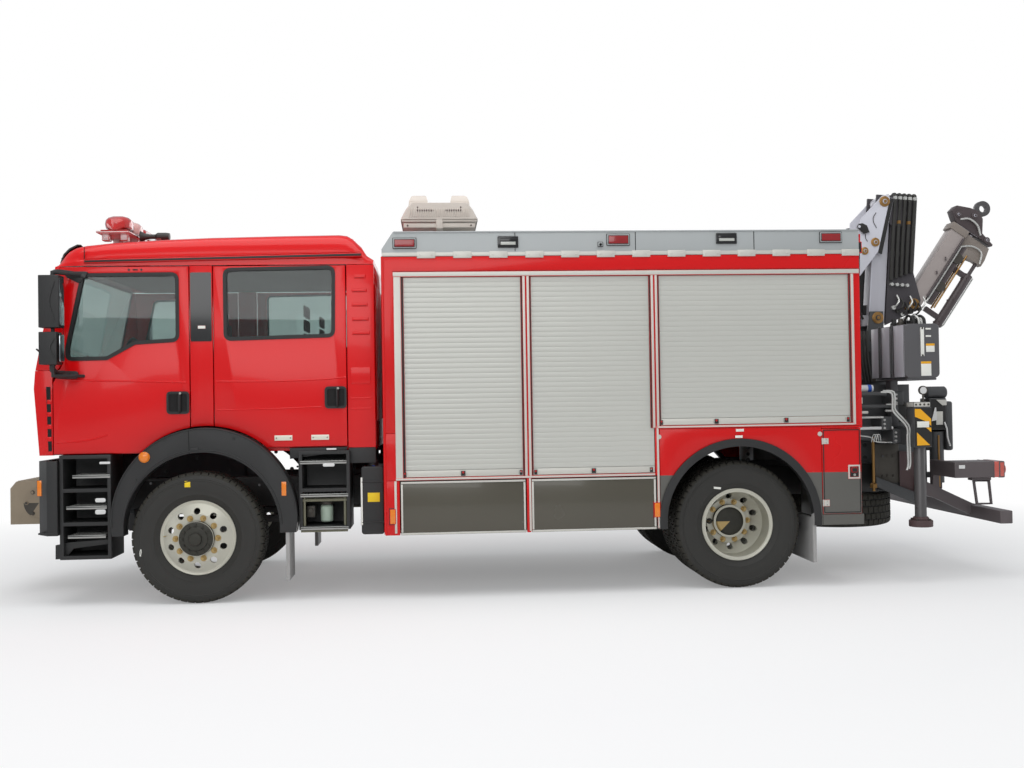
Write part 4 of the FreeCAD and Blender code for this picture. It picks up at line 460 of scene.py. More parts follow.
spring_y = 0.42
for name, axle_x, seat in (("front_axle", front, 0.57), ("rear_axle", rear, 0.61)):
    axle = copied(name, soft=0.006)
    for side in (-1, 1):
        for leaf in range(4):
            half = 0.70 - leaf * 0.13
            base = seat - 0.004 + leaf * 0.013
            block(axle, (axle_x - half, side * spring_y - 0.043, base + 0.003),
                  (axle_x + half, side * spring_y + 0.043, base + 0.014), paint=1, soft=0.003)
        for end in (-0.055, 0.055):
            for edge_y in (side * spring_y - 0.048, side * spring_y + 0.048):
                rod(axle, (axle_x + end, edge_y, seat - 0.07), (axle_x + end, edge_y, seat + 0.08), 0.011,
                    paint=2)
    fit(axle, name + "_assembly", "vehicle", [chassis_black, spring_steel, dull_iron],
        stands_for=[name])

for side in ("left", "right"):
    fit(copied("knuckle_" + side), "steering_knuckle_" + side + "_casting", "steering_knuckle_" + side,
        [dull_iron], stands_for=["knuckle_" + side])

engine = copied("engine_block", soft=0.03, turns=3)
low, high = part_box("engine_block")
for k in range(7):
    x = low.x + 0.18 + k * 0.15
    block(engine, (x, low.y + 0.05, high.z - 0.02), (x + 0.06, high.y - 0.05, high.z + 0.012), soft=0.01)
fit(engine, "engine_casing", "vehicle", [finish("cast_iron", tone(70, 72, 74), rough=0.6, metal=0.5, patch=14,
                                                shade=0.6, grain=0.5, grain_scale=180)],
    stands_for=["engine_block"])


# ---------------------------------------------------------------- wheels
# Radial truck tyres on ten-stud pressed steel rims: one in front, a twin pair behind, and a spare laid flat.
# The tyre carries five rows of moulded blocks; the rim is bolted to a dark hub with brass-plated nuts.
rubber = finish("tyre_rubber", tone(50, 49, 46), rough=0.62, wander=0.06, patch=7, shade=0.7, grain=0.35,
                grain_scale=420, shine=0.4)
tread_rubber = finish("tread_rubber", tone(58, 56, 50), rough=0.75, patch=20, shade=0.6, grain=0.6,
                      grain_scale=160, shine=0.3)
rim_paint = finish("rim_silver", tone(196, 194, 180), rough=0.36, metal=0.35, patch=6, shade=0.86, grain=0.12,
                   grain_scale=260)
hub_iron = finish("hub_casting", tone(62, 61, 54), rough=0.5, metal=0.4, patch=18, shade=0.5, grain=0.6,
                  grain_scale=120)
nut_brass = finish("zinc_plated_nut", tone(186, 160, 108), rough=0.34, metal=0.8, patch=60, shade=0.75)
label_white = finish("paper_label", tone(232, 232, 224), rough=0.6, patch=30, shade=0.93)
label_yellow = finish("yellow_label", tone(240, 205, 20), rough=0.5, patch=30, shade=0.9)

half_profile = [(0.286, 0.112), (0.292, 0.1165), (0.301, 0.1165), (0.318, 0.124), (0.345, 0.1395),
                (0.352, 0.1445), (0.357, 0.1435), (0.385, 0.1515), (0.43, 0.156), (0.458, 0.1555),
                (0.461, 0.1575), (0.465, 0.1575), (0.468, 0.1548), (0.474, 0.1545), (0.477, 0.156),
                (0.480, 0.1538), (0.492, 0.1515), (0.503, 0.147), (0.5125, 0.137), (0.516, 0.125),
                (0.516, 0.04)]
block_count = 54
pitch = math.tau / block_count


def tyre():
    """One tyre about the origin, its axle along Y."""
    shape = bmesh.new()
    profile = half_profile + [(radius, -along) for radius, along in reversed(half_profile)]
    turned(shape, profile, sides=96)
    for side in (-1, 1):
        lug = bmesh.new()
        plate(lug, [(side * y, z) for y, z in ((0.094, 0.51), (0.094, 0.5298), (0.124, 0.5285),
                                               (0.136, 0.5225), (0.1475, 0.507), (0.1465, 0.494),
                                               (0.13, 0.49))], -0.0255, 0.0255, axis="x", soft=0.0022,
              turns=1)
        row(shape, lug, block_count, (0, 0, 0), turn=(0, pitch, 0), paint=1)
        rib = bmesh.new()
        plate(rib, [(side * y, z) for y, z in ((0.037, 0.51), (0.037, 0.53), (0.084, 0.53), (0.084, 0.51))],
              -0.026, 0.026, axis="x", soft=0.0022, turns=1)
        bmesh.ops.rotate(rib, verts=rib.verts, matrix=Matrix.Rotation(pitch / 2, 3, "Y"))
        row(shape, rib, block_count, (0, 0, 0), turn=(0, pitch, 0), paint=1)
    middle = bmesh.new()
    plate(middle, [(-0.027, 0.51), (-0.027, 0.53), (0.027, 0.53), (0.027, 0.51)], -0.026, 0.026, axis="x",
          soft=0.0022, turns=1)
    row(shape, middle, block_count, (0, 0, 0), turn=(0, pitch, 0), paint=1)
    return shape


tyre_mould = tyre()
nut_circle = 0.1675
nut_count = 10
front_wheel_y = 1.03
rear_wheel_y = 0.839
twin_offset = 0.176


def wheel_nuts(shape, face):
    """Nuts on their studs, on the disc face."""
    nut = bmesh.new()
    rod(nut, (nut_circle, face, 0), (nut_circle, face + 0.006, 0), 0.025, sides=18)
    rod(nut, (nut_circle, face + 0.006, 0), (nut_circle, face + 0.028, 0), 0.0185, sides=6, tip=0.0175)
    rod(nut, (nut_circle, face + 0.028, 0), (nut_circle, face + 0.042, 0), 0.011, sides=10, tip=0.009)
    row(shape, nut, nut_count, (0, 0, 0), turn=(0, math.tau / nut_count, 0), paint=1)


def stick_on(shape, low, high, place, paint, lean=0.0):
    """Blank paper label on a tyre's side wall."""
    label = bmesh.new()
    block(label, low, high, soft=0.001)
    bmesh.ops.rotate(label, verts=label.verts, matrix=Matrix.Rotation(lean, 3, "Y"))
    pour(shape, label, place, paint=paint)


def fit_hub(trim, place, name, body):
    """Fit a hub drawn about its own centre on a wheel."""
    hub = bmesh.new()
    pour(hub, trim, place)
    trim.free()
    fit(hub, name, body, [hub_iron, nut_brass, rim_paint])


for side, sign in (("left", 1), ("right", -1)):
    turn_round = Matrix.Identity(4) if sign > 0 else Matrix.Rotation(math.pi, 4, "Z")
    place = Matrix.Translation((front, sign * front_wheel_y, axle_height)) @ turn_round
    shape = bmesh.new()
    pour(shape, tyre_mould, place)
    stick_on(shape, (0.098, 0.148, 0.412), (0.052, 0.1562, 0.462), place, 2)
    stick_on(shape, (0.443, 0.149, -0.135), (0.458, 0.1572, -0.08), place, 3)
    fit(shape, "front_tyre_" + side, "front_wheel_" + side, [rubber, tread_rubber, label_yellow, label_white],
        stands_for=["tyre_front_" + side])
    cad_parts["rim_front_" + side].data.materials[0] = rim_paint
    trim = bmesh.new()
    turned(trim, [(0.0, 0.2575), (0.03, 0.2575), (0.047, 0.254), (0.052, 0.247), (0.053, 0.232),
                  (0.09, 0.228), (0.094, 0.224), (0.098, 0.2185), (0.128, 0.2165), (0.137, 0.21),
                  (0.1415, 0.2), (0.1415, 0.1745), (0.0, 0.1745)])
    cap_bolt = bmesh.new()
    rod(cap_bolt, (0.112, 0.2165, 0), (0.112, 0.2275, 0), 0.0115, sides=6, tip=0.0105)
    row(trim, cap_bolt, 12, (0, 0, 0), turn=(0, math.tau / 12, 0))
    wheel_nuts(trim, 0.1745)
    turned(trim, [(0.279, 0.1205), (0.2845, 0.1255), (0.2995, 0.1285), (0.3035, 0.1245), (0.3025, 0.117),
                  (0.292, 0.1165)], sides=96, paint=2)
    rod(trim, (0.255, 0.135, 0.02), (0.262, 0.178, 0.02), 0.0045, paint=1, sides=8)
    fit_hub(trim, place, "front_hub_" + side, "front_wheel_" + side)

    place = Matrix.Translation((rear, sign * rear_wheel_y, axle_height)) @ turn_round
    shape = bmesh.new()
    for offset in (-twin_offset, twin_offset):
        pour(shape, tyre_mould, place @ Matrix.Translation((0, offset, 0)))
    stick_on(shape, (0.235, 0.325, 0.282), (0.175, 0.3319, 0.3), place, 2, lean=math.radians(-6))
    fit(shape, "rear_tyres_" + side, "rear_wheels_" + side, [rubber, tread_rubber, label_white],
        stands_for=["tyre_rear_" + side])
    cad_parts["rim_rear_" + side].data.materials[0] = rim_paint
    trim = bmesh.new()
    turned(trim, [(0.0, 0.071), (0.095, 0.071), (0.112, 0.067), (0.124, 0.0575), (0.1315, 0.052),
                  (0.1415, 0.049), (0.1415, 0.0155), (0.0, 0.0155)])
    wheel_nuts(trim, 0.016)
    turned(trim, [(0.279, 0.2965), (0.2845, 0.3015), (0.2995, 0.3045), (0.3035, 0.3005), (0.3025, 0.293),
                  (0.292, 0.2925)], sides=96, paint=2)
    fit_hub(trim, place, "rear_hub_" + side, "rear_wheels_" + side)

low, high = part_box("spare_wheel")
shape = bmesh.new()
pour(shape, tyre_mould, Matrix.Translation((low + high) / 2) @ Matrix.Rotation(math.pi / 2, 4, "X"))
centre = (low + high) / 2
turned(shape, [(0.0, 0.013), (0.288, 0.013), (0.288, -0.013), (0.0, -0.013)], centre=centre, axis="z",
       paint=2)
turned(shape, [(0.272, 0.113), (0.298, 0.121), (0.3, -0.121), (0.272, -0.113)], centre=centre, axis="z",
       paint=2)
for x in (-0.06, 0.06):
    rod(shape, centre + Vector((x, 0, 0.0)), centre + Vector((x, 0, high.z - centre.z + 0.004)), 0.012,
        paint=2)
fit(shape, "spare_tyre", "vehicle", [rubber, tread_rubber, rim_paint],
    stands_for=["spare_wheel"])
tyre_mould.free()

# ---------------------------------------------------------------- cab shell
# Pressed steel crew cab in fire-engine red, glossy, on a black sill; the windows sit in black rubber.
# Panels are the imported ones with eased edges; the roof is lofted again with its soft brow and shoulders.
red_paint = finish("fire_red", tone(216, 6, 11), shade=0.93, patch=0.7, rough=0.25, wander=0.05, clear=0.25,
                   shine=0.3, grain=0.03, grain_scale=260)
black_plastic = finish("moulded_black", tone(36, 36, 36), shade=0.75, patch=6, rough=0.5, wander=0.07,
                       grain=0.35, grain_scale=700)
gloss_black = finish("gloss_black", tone(16, 16, 17), shade=0.7, patch=4, rough=0.12, wander=0.04, clear=0.5)
window_rubber = finish("window_rubber", tone(26, 26, 26), shade=0.75, patch=14, rough=0.45, grain=0.2,
                       grain_scale=300)
# near-black for panel gaps and joints, and painted shade in slots, wells and behind grilles
gap_shadow = finish("panel_gap", tone(14, 12, 12), shade=0.6, patch=30, rough=0.8)
headlining = finish("headlining", tone(52, 50, 48), shade=0.85, patch=8, rough=0.9, grain=0.4,
                    grain_scale=500)
cab_skin = 1.12


def at(x, y, z):
    """Point measured from the front axle line."""
    return (front + x, y, z)


def sketch(*points):
    """Outline in the side view from (ahead, height) points, measured from the front axle line."""
    return [(front + ahead, height) for ahead, height in points]


def pane(ahead, behind, low_z, high_z):
    """Upright rectangle in the side view."""
    return sketch((ahead, low_z), (ahead, high_z), (behind, high_z), (behind, low_z))


def rounded(corners, radius, steps=5):
    """Outline with its corners rounded."""
    out = []
    count = len(corners)
    for k in range(count):
        before, here, after = Vector(corners[k - 1]), Vector(corners[k]), Vector(corners[(k + 1) % count])
        one, two = (before - here).normalized(), (after - here).normalized()
        half = math.acos(max(-1, min(1, one.dot(two)))) / 2
        reach_in = min(radius / math.tan(half), 0.45 * (before - here).length, 0.45 * (after - here).length)
        start, end = here + one * reach_in, here + two * reach_in
        for step in range(steps + 1):
            t = step / steps
            out.append(tuple(start * (1 - t) ** 2 + here * 2 * t * (1 - t) + end * t * t))
    return out


def band(shape, outline, inside, outside, low, high, paint=0):
    """Frame strip that follows a closed outline, from inside it to outside it."""
    count = len(outline)
    area = sum(outline[k - 1][0] * outline[k][1] - outline[k][0] * outline[k - 1][1] for k in range(count))
    turn = 1 if area > 0 else -1
    shifted = []
    for k in range(count):
        before, here, after = Vector(outline[k - 1]), Vector(outline[k]), Vector(outline[(k + 1) % count])
        one, two = (here - before).normalized(), (after - here).normalized()
        lean = (one + two).normalized()
        out = Vector((lean.y, -lean.x)) * turn
        stretch = 1 / max(0.4, lean.dot(one))
        shifted.append((here + out * outside * stretch, here - out * inside * stretch))
    rings = []
    for wide, narrow in shifted:
        rings.append([(wide.x, low, wide.y), (wide.x, high, wide.y), (narrow.x, high, narrow.y),
                      (narrow.x, low, narrow.y)])
    skin(shape, rings, paint, looped=True)


front_window = sketch((1.03, 1.992), (1.03, 2.079), (0.903, 2.67), (0.156, 2.674), (0.156, 2.137),
                      (0.497, 2.118), (0.721, 1.995))
rear_window = sketch((-1.1, 2.16), (-0.23, 2.14), (-0.23, 2.706), (-1.108, 2.72))

cab = copied("cab_sides", soft=0.005)
pour(cab, copied("cab_front", soft=0.012, turns=3))
for side in (-1, 1):
    face = side * cab_skin
    # gloss black filler between the two side windows, with the small blank label on it
    plate(cab, rounded([(front + 0.05, 2.123), (front + 0.05, 2.686), (front - 0.12, 2.686),
                        (front - 0.12, 2.123)], 0.012, 3), face - side * 0.004, face + side * 0.0045, paint=1)
    block(cab, at(-0.009, face, 2.251), at(-0.07, face + side * 0.006, 2.226), paint=3, soft=0.001)
    # air slots pressed into the rear corner panel, the flat patch and the two beads under them
    for ahead, behind, level in ((-1.275, -1.373, 2.644), (-1.256, -1.38, 2.53), (-1.255, -1.386, 2.412),
                                 (-1.257, -1.393, 2.292), (-1.256, -1.401, 2.177)):
        block(cab, at(ahead, face - side * 0.01, level + 0.017),
              at(behind, face + side * 0.006, level - 0.017), soft=0.0075, turns=4)
        # dark strip under each slot: a painted shadow under its lip
        block(cab, at(ahead - 0.01, face + side * 0.002, level - 0.008),
              at(behind + 0.01, face + side * 0.0065, level - 0.0125), paint=2, soft=0.001)
    block(cab, at(-1.24, face - side * 0.01, 1.895), at(-1.402, face + side * 0.004, 1.758), soft=0.004,
          turns=3)
    for level in (1.64, 1.555):
        block(cab, at(-1.232, face - side * 0.01, level + 0.007),
              at(-1.408, face + side * 0.0035, level - 0.007), soft=0.003, turns=3)
    # dark slot with red bars behind the nose corner, its near-black a painted shade
    plate(cab, sketch((1.158, 1.25), (1.186, 1.25), (1.2, 1.77), (1.166, 1.77)), face - side * 0.003,
          face + side * 0.003, paint=2)
    for level in (1.33, 1.43, 1.53, 1.63):
        block(cab, at(1.158, face, level), at(1.192, face + side * 0.006, level + 0.035), soft=0.003)
fit(cab, "cab_panels", "vehicle", [red_paint, gloss_black, gap_shadow, label_white],
    stands_for=["cab_sides", "cab_front"])

# roof: sections along the cab, each with rounded shoulders, and a hollow below
top_line = [(1.128, 2.79), (1.12, 2.8), (1.097, 2.845), (1.068, 2.876), (1.04, 2.895), (0.973, 2.916),
            (0.905, 2.928), (0.702, 2.949), (0.272, 2.975), (-0.093, 2.989), (-0.667, 3.001), (-1.15, 3.008),
            (-1.215, 3.0), (-1.265, 2.972), (-1.338, 2.9), (-1.38, 2.83), (-1.436, 2.79)]
shoulder = [(1.12, 0.0), (1.12, 0.17), (1.1175, 0.235), (1.111, 0.27), (1.109, 0.42), (1.101, 0.62),
            (1.083, 0.8), (1.052, 0.92), (1.0, 0.985), (0.92, 1.0)]
roof = bmesh.new()
rings = []
for x, top in top_line:
    base = 2.746
    pull = 0.0 if x < 0.9 else min(0.16, (x - 0.9) ** 2 * 3.2)
    half = [(y - pull * (0.3 + 0.7 * share), base + (top - base) * share) for y, share in shoulder]
    ring = [at(x, y, z) for y, z in half] + [at(x, -y, z) for y, z in reversed(half)]
    rings.append(ring)
skin(roof, rings)
for side in (-1, 1):
    face = side * cab_skin
    plate(roof, sketch((0.89, 2.765), (0.89, 2.794), (-1.345, 2.838), (-1.345, 2.806)),
          face - side * 0.004, face + side * 0.021, paint=1, soft=0.006, turns=3)
    plate(roof, sketch((0.886, 2.8), (0.886, 2.806), (-1.34, 2.85), (-1.34, 2.844)),
          face - side * 0.004, face + side * 0.006, soft=0.0015)
    block(roof, at(0.892, face - side * 0.002, 2.8), at(0.886, face + side * 0.001, 2.9), paint=2, soft=0)
block(roof, at(-0.088, -0.95, 2.985), at(-0.098, 0.95, 2.9925), paint=2, soft=0.001)
block(roof, at(0.95, -0.96, 2.73), at(-1.36, 0.96, 2.744), paint=3, soft=0.004)
for y in (-0.7, -0.35, 0.0, 0.35, 0.7):
    plate(roof, sketch((-0.15, 2.985), (-1.1, 3.002), (-1.1, 3.012), (-0.15, 2.995)), y - 0.045, y + 0.045,
          soft=0.004)
fit(roof, "cab_roof_shell", "vehicle", [red_paint, window_rubber, gap_shadow, headlining],
    crease=40, stands_for=["cab_roof"])

# black sun visor over the windscreen
visor = bmesh.new()
section = [(1.086, 2.835), (1.196, 2.79), (1.199, 2.797), (1.172, 2.868), (1.125, 2.916), (1.062, 2.947),
           (1.03, 2.945), (1.026, 2.937), (1.058, 2.936), (1.117, 2.905), (1.162, 2.86), (1.18, 2.812),
           (1.09, 2.845)]
visor_half, visor_steps, visor_swing = 0.99, 24, 0.075
rings = []
for step in range(visor_steps + 1):
    y = -visor_half + 2 * visor_half * step / visor_steps
    swing = visor_swing * abs(y / visor_half) ** 3
    rings.append([at(x - swing, y, z - swing * 0.1) for x, z in section])
skin(visor, rings)
for y in (-0.8, -0.27, 0.27, 0.8):
    rod(visor, at(1.05, y, 2.87), at(1.12, y, 2.905), 0.012)
for y in (-0.7, 0.7):
    block(visor, at(1.155, y - 0.07, 2.862), at(1.19, y + 0.07, 2.835), paint=1, soft=0.006)
lens_amber = finish("amber_lens", tone(240, 130, 10), shade=0.8, patch=40, rough=0.18, clear=0.6, grain=0.25,
                    grain_scale=120)
fit(visor, "sun_visor", "vehicle", [black_plastic, lens_amber])

floor_pan = copied("cab_floor")
low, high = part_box("cab_floor")
for k in range(9):
    y = -0.9 + k * 0.225
    block(floor_pan, (low.x - 0.006, y - 0.03, 1.45), (low.x + 0.004, y + 0.03, 2.6), soft=0.004)
fit(floor_pan, "cab_floor_and_rear_wall", "vehicle", [red_paint], stands_for=["cab_floor"])


# ---------------------------------------------------------------- nose and windscreen
# Two black moulded grilles let into the nose under a red bar, and a bonded windscreen with three wipers.
# The grille faces lean with the nose, and each is a frame of rounded slats over a near-black panel that is
# painted shade.
def nose_x(z):
    """Face of the nose at a height, from the front axle."""
    if z < 1.755:
        return 1.257 + (z - 1.215) * 0.04 / 0.54
    return 1.297 - (z - 1.755) * 0.012 / 0.145


slat_step = 0.034
frame_width = 0.012
grille = bmesh.new()
for low_z, high_z, wide in ((1.26, 1.5, 0.78), (1.53, 1.76, 0.86)):
    outline = rounded([(-wide, low_z), (wide, low_z), (wide, high_z), (-wide, high_z)], 0.04)
    # near-black panel behind the slats: painted shade
    rings = [[at(nose_x(z) + reach_out, y, z) for y, z in outline] for reach_out in (-0.02, 0.002)]
    skin(grille, rings, paint=1)
    slat = bmesh.new()
    plate(slat, rounded([(-wide + 0.02, -0.009), (wide - 0.02, -0.009), (wide - 0.02, 0.009),
                         (-wide + 0.02, 0.009)], 0.004, 2), 0.0, 0.016, axis="x", soft=0.003)
    count = int((high_z - low_z) / slat_step)
    slope = (nose_x(high_z) - nose_x(low_z)) / (high_z - low_z)
    row(grille, slat, count, at(nose_x(low_z + 0.02), 0, low_z + 0.024),
        step=(slope * slat_step, 0, slat_step))
    rings = []
    for y, z in outline:
        out = Vector((y, z - (low_z + high_z) / 2)).normalized() * frame_width
        outer, inner = Vector((y, z)) + out, Vector((y, z)) - out
        rings.append([at(nose_x(z) - 0.004, outer.x, outer.y), at(nose_x(z) + 0.012, outer.x, outer.y),
                      at(nose_x(z) + 0.012, inner.x, inner.y), at(nose_x(z) - 0.004, inner.x, inner.y)])
    skin(grille, rings, looped=True)
block(grille, at(nose_x(1.82) - 0.01, -0.95, 1.795), at(nose_x(1.82) + 0.006, 0.95, 1.86), paint=2,
      soft=0.005)
for y in (-0.45, 0.45):
    block(grille, at(nose_x(1.83), y - 0.12, 1.815), at(nose_x(1.83) + 0.014, y + 0.12, 1.84), soft=0.005)
fit(grille, "grille", "vehicle", [black_plastic, gap_shadow, red_paint])

glass = bpy.data.materials.new("window_glass")
glass.use_nodes = True
pane_shader = glass.node_tree.nodes["Principled BSDF"]
tint_noise = glass.node_tree.nodes.new("ShaderNodeTexNoise")
tint_place = glass.node_tree.nodes.new("ShaderNodeTexCoord")
tint = glass.node_tree.nodes.new("ShaderNodeMixRGB")
tint.inputs["Color1"].default_value = (0.36, 0.44, 0.43, 1)
tint.inputs["Color2"].default_value = (0.44, 0.52, 0.50, 1)
glass.node_tree.links.new(tint_place.outputs["Object"], tint_noise.inputs["Vector"])
glass.node_tree.links.new(tint_noise.outputs["Fac"], tint.inputs["Fac"])
glass.node_tree.links.new(tint.outputs[0], pane_shader.inputs["Base Color"])
pane_shader.inputs["Roughness"].default_value = 0.02
pane_shader.inputs["IOR"].default_value = 1.45
pane_shader.inputs["Transmission Weight"].default_value = 1.0
for name in ("windscreen", "front_door_glass_left", "front_door_glass_right", "rear_door_glass_left",
             "rear_door_glass_right"):
    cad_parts[name].data.materials[0] = glass

screen = bmesh.new()


def screen_point(y, share, out=0.0):
    """Point on the windscreen's face: share 0 at the sill and 1 at the header."""
    return at(1.283 - 0.165 * share + out * 0.98, y, 1.902 + 0.841 * share + out * 0.2)


outline = rounded([(-1.068, 0.0), (1.068, 0.0), (1.068, 1.0), (-1.068, 1.0)], 0.06, 4)
pipe(screen, [screen_point(y, share, 0.002) for y, share in outline], 0.011, looped=True, sides=8)
for y, swing in ((-0.62, 0.5), (0.0, 0.5), (0.62, 0.5)):
    foot = Vector(screen_point(y, -0.03, 0.02))
    middle = Vector(screen_point(y + 0.22, 0.12, 0.03))
    rod(screen, foot - Vector((0.03, 0, 0)), foot + Vector((0.012, 0, 0)), 0.02)
    pipe(screen, [foot, (foot + middle) / 2 + Vector((0.006, 0, 0)), middle], 0.008, sides=8)
    pipe(screen, [screen_point(y - 0.1, 0.055, 0.014), screen_point(y + 0.22, 0.12, 0.016),
                  screen_point(y + 0.52, 0.2, 0.014)], 0.007, sides=8)
fit(screen, "windscreen_rubber_and_wipers", "vehicle", [window_rubber])


# ---------------------------------------------------------------- cab doors
# Four steel doors hinged at their front edges, each with a fixed pane in black rubber and a recessed handle.
# Handle housings are black mouldings with an upright bar; white reflectors are screwed low on the rear doors.
def door_handle(shape, ahead, behind, low_z, high_z):
    """Recessed pull: black housing, a near-black well that is painted shade, and an upright bar."""
    y = cab_skin
    outline = rounded(pane(ahead, behind, low_z, high_z), 0.03, 5)
    plate(shape, outline, y - 0.02, y + 0.004, paint=1)
    band(shape, outline, 0.013, 0.004, y - 0.01, y + 0.013, paint=1)
    # near-black well: painted shade in the recess
    well = rounded(pane(ahead - 0.016, behind + 0.01, low_z + 0.018, high_z - 0.018), 0.02, 4)
    plate(shape, well, y + 0.003, y + 0.0055, paint=2)
    middle = ahead - 0.6 * (ahead - behind)
    pipe(shape, curve_through([at(middle, y + 0.004, high_z - 0.008), at(middle, y + 0.018, high_z - 0.03),
                               at(middle, y + 0.024, (low_z + high_z) / 2),
                               at(middle, y + 0.018, low_z + 0.03), at(middle, y + 0.004, low_z + 0.008)], 4),
         0.015, paint=1, sides=10, flat=0.6)
    rod(shape, at(middle - 0.004, y + 0.012, high_z - 0.012), at(middle - 0.004, y + 0.026, high_z - 0.012),
        0.009, paint=3)


def swage(shape, points, radius=0.0075):
    """Line pressed into a door's skin along (ahead, height) points."""
    pipe(shape, curve_through([at(ahead, cab_skin - 0.0035, height) for ahead, height in points]), radius)


bright_metal = finish("bright_metal", tone(190, 188, 180), shade=0.8, patch=30, rough=0.28, metal=0.85)
reflector_white = finish("white_reflector", tone(226, 222, 206), shade=0.9, patch=90, rough=0.25, clear=0.5,
                         grain=0.3, grain_scale=90)
for name, outline in (("front", front_window), ("rear", rear_window)):
    shape = copied(name + "_door_left", soft=0.0035)
    curve = rounded(outline, 0.05, 6)
    band(shape, curve, 0.012, 0.016, cab_skin - 0.03, cab_skin + 0.0045, paint=1)
    band(shape, curve, 0.0155, 0.004, cab_skin - 0.028, cab_skin - 0.004, paint=1)
    if name == "front":
        door_handle(shape, 0.243, 0.07, 1.537, 1.713)
        for x in (0.536, 0.437):
            rod(shape, at(x, cab_skin - 0.002, 2.711), at(x, cab_skin + 0.003, 2.711), 0.009, paint=1)
        block(shape, at(0.507, cab_skin - 0.001, 2.719), at(0.464, cab_skin + 0.003, 2.704), paint=1,
              soft=0.002)
        swage(shape, ((1.12, 1.83), (0.8, 1.815), (0.4, 1.802), (0.09, 1.79)), 0.008)
        swage(shape, ((1.12, 1.318), (0.9, 1.33), (0.72, 1.372)))
        # grey inner trim
        block(shape, at(0.1, 1.068, 1.3), at(1.1, 1.0715, 1.95), paint=2, soft=0.001)
    else:
        door_handle(shape, -1.03, -1.2, 1.563, 1.736)
        for ahead, behind in ((-0.612, -0.762), (-0.91, -1.06)):
            block(shape, at(ahead, cab_skin - 0.002, 1.348), at(behind, cab_skin + 0.0065, 1.3), paint=4,
                  soft=0.003)
            for x in (ahead - 0.018, behind + 0.018):
                rod(shape, at(x, cab_skin + 0.004, 1.323), at(x, cab_skin + 0.0085, 1.323), 0.005, paint=5,
                    sides=10)
        swage(shape, ((-0.15, 1.795), (-0.6, 1.79), (-1.0, 1.8), (-1.2, 1.815)))
        swage(shape, ((-0.15, 1.56), (-0.6, 1.565), (-1.0, 1.575)), 0.0065)
        block(shape, at(-0.17, 1.068, 1.45), at(-1.17, 1.0715, 2.1), paint=2, soft=0.001)
    finishes = [red_paint, window_rubber, gap_shadow, bright_metal, reflector_white, dull_iron]
    fit_pair(shape, name + "_cab_door_skin", name + "_cab_door", finishes, name + "_door")

# ---------------------------------------------------------------- cab inside
# Dark grey cloth seats, a moulded dashboard and a black steering wheel, seen through the side glass.
# Each seat back carries four raised pads; the steering wheel is a ring in front of the left-hand seat.
seat_fabric = finish("seat_fabric", tone(52, 52, 54), shade=0.7, patch=14, rough=0.95, grain=0.6,
                     grain_scale=600)
dash_grey = finish("dash_grey", tone(44, 45, 46), shade=0.75, patch=8, rough=0.7, grain=0.4, grain_scale=500)
inside = copied("cab_interior", soft=0.02, turns=3, rule=lambda centre, normal: 1 if centre.x > front + 0.62
                else 0)
for side in (-1, 1):
    for x in (0.08, -0.98):
        for k in range(4):
            z = 1.98 + 0.12 * k
            block(inside, at(x + 0.14, side * 0.62 - 0.17, z), at(x + 0.16, side * 0.62 + 0.17, z + 0.1),
                  soft=0.01)
pipe(inside, curve_through([at(0.66, 0.55 + 0.24 * math.cos(a), 1.98 + 0.2 * math.sin(a))
                            for a in [math.tau * k / 20 for k in range(20)]], 1), 0.016, paint=2, looped=True)
fit(inside, "seats_and_dashboard", "vehicle", [seat_fabric, dash_grey, black_plastic],
    stands_for=["cab_interior"])


# ---------------------------------------------------------------- wings, steps and markers
# Black moulded wheel guards over the front wheels, with an orange repeater, and rubber mudflaps behind them.
# Steps are folded black boxes carrying serrated aluminium treads; small pill-shaped lamps light them.
tread_metal = finish("tread_metal", tone(172, 172, 168), shade=0.8, patch=18, rough=0.34, metal=0.8)
olive_grey = finish("olive_grey", tone(120, 118, 98), shade=0.8, patch=12, rough=0.5)
pale_green = finish("filter_green", tone(186, 204, 186), shade=0.85, patch=16, rough=0.35)
mudflap_grey = finish("mudflap_grey", tone(168, 167, 165), shade=0.85, patch=5, rough=0.6, grain=0.2)
lamp_white = finish("lamp_white", tone(222, 222, 220), shade=0.88, patch=30, rough=0.2, clear=0.5, grain=0.2,
                    grain_scale=120)
sky_blue = finish("cap_blue", tone(40, 90, 190), shade=0.8, patch=24, rough=0.4)
wings = copied("wheel_guards", soft=0.007, turns=3, rule=lambda centre, normal: 3 if centre.x < front - 0.7
               and centre.z < 0.62 else 0)
left = bmesh.new()
# rolled edge and seam of the guard
for middle_x, y, middle_z, radius, from_deg, sweep_deg, thick in ((-0.06, 1.2, 0.68, 0.734, -4, 180, 0.006),
                                                                  (-0.045, 1.199, 0.61, 0.63, 2, 176, 0.007)):
    angles = [math.radians(from_deg + sweep_deg * step / 40) for step in range(41)]
    pipe(left, [at(middle_x + radius * math.cos(angle), y, middle_z + radius * math.sin(angle))
                for angle in angles], thick)
plate(left, sketch((0.052, 1.205), (0.058, 1.205), (0.062, 1.412), (0.056, 1.412)), 1.1995, 1.2018, paint=2)
turned(left, [(0.0, 0.0), (0.044, 0.0), (0.044, 0.012), (0.0385, 0.016), (0.0385, 0.02), (0.03, 0.027),
              (0.0, 0.03)], at(0.408, 1.199, 1.191), paint=1, sides=28)
block(left, at(-0.017, 1.198, 1.234), at(0.049, 1.207, 1.26), paint=4, soft=0.003)
for x, z in ((0.36, 0.98), (0.48, 1.01), (-0.5, 0.95), (0.25, 1.33), (-0.3, 1.33)):
    pour(left, hex_bolt(0.008, 0.004), Matrix.Translation(at(x, 1.2, z)), paint=0)
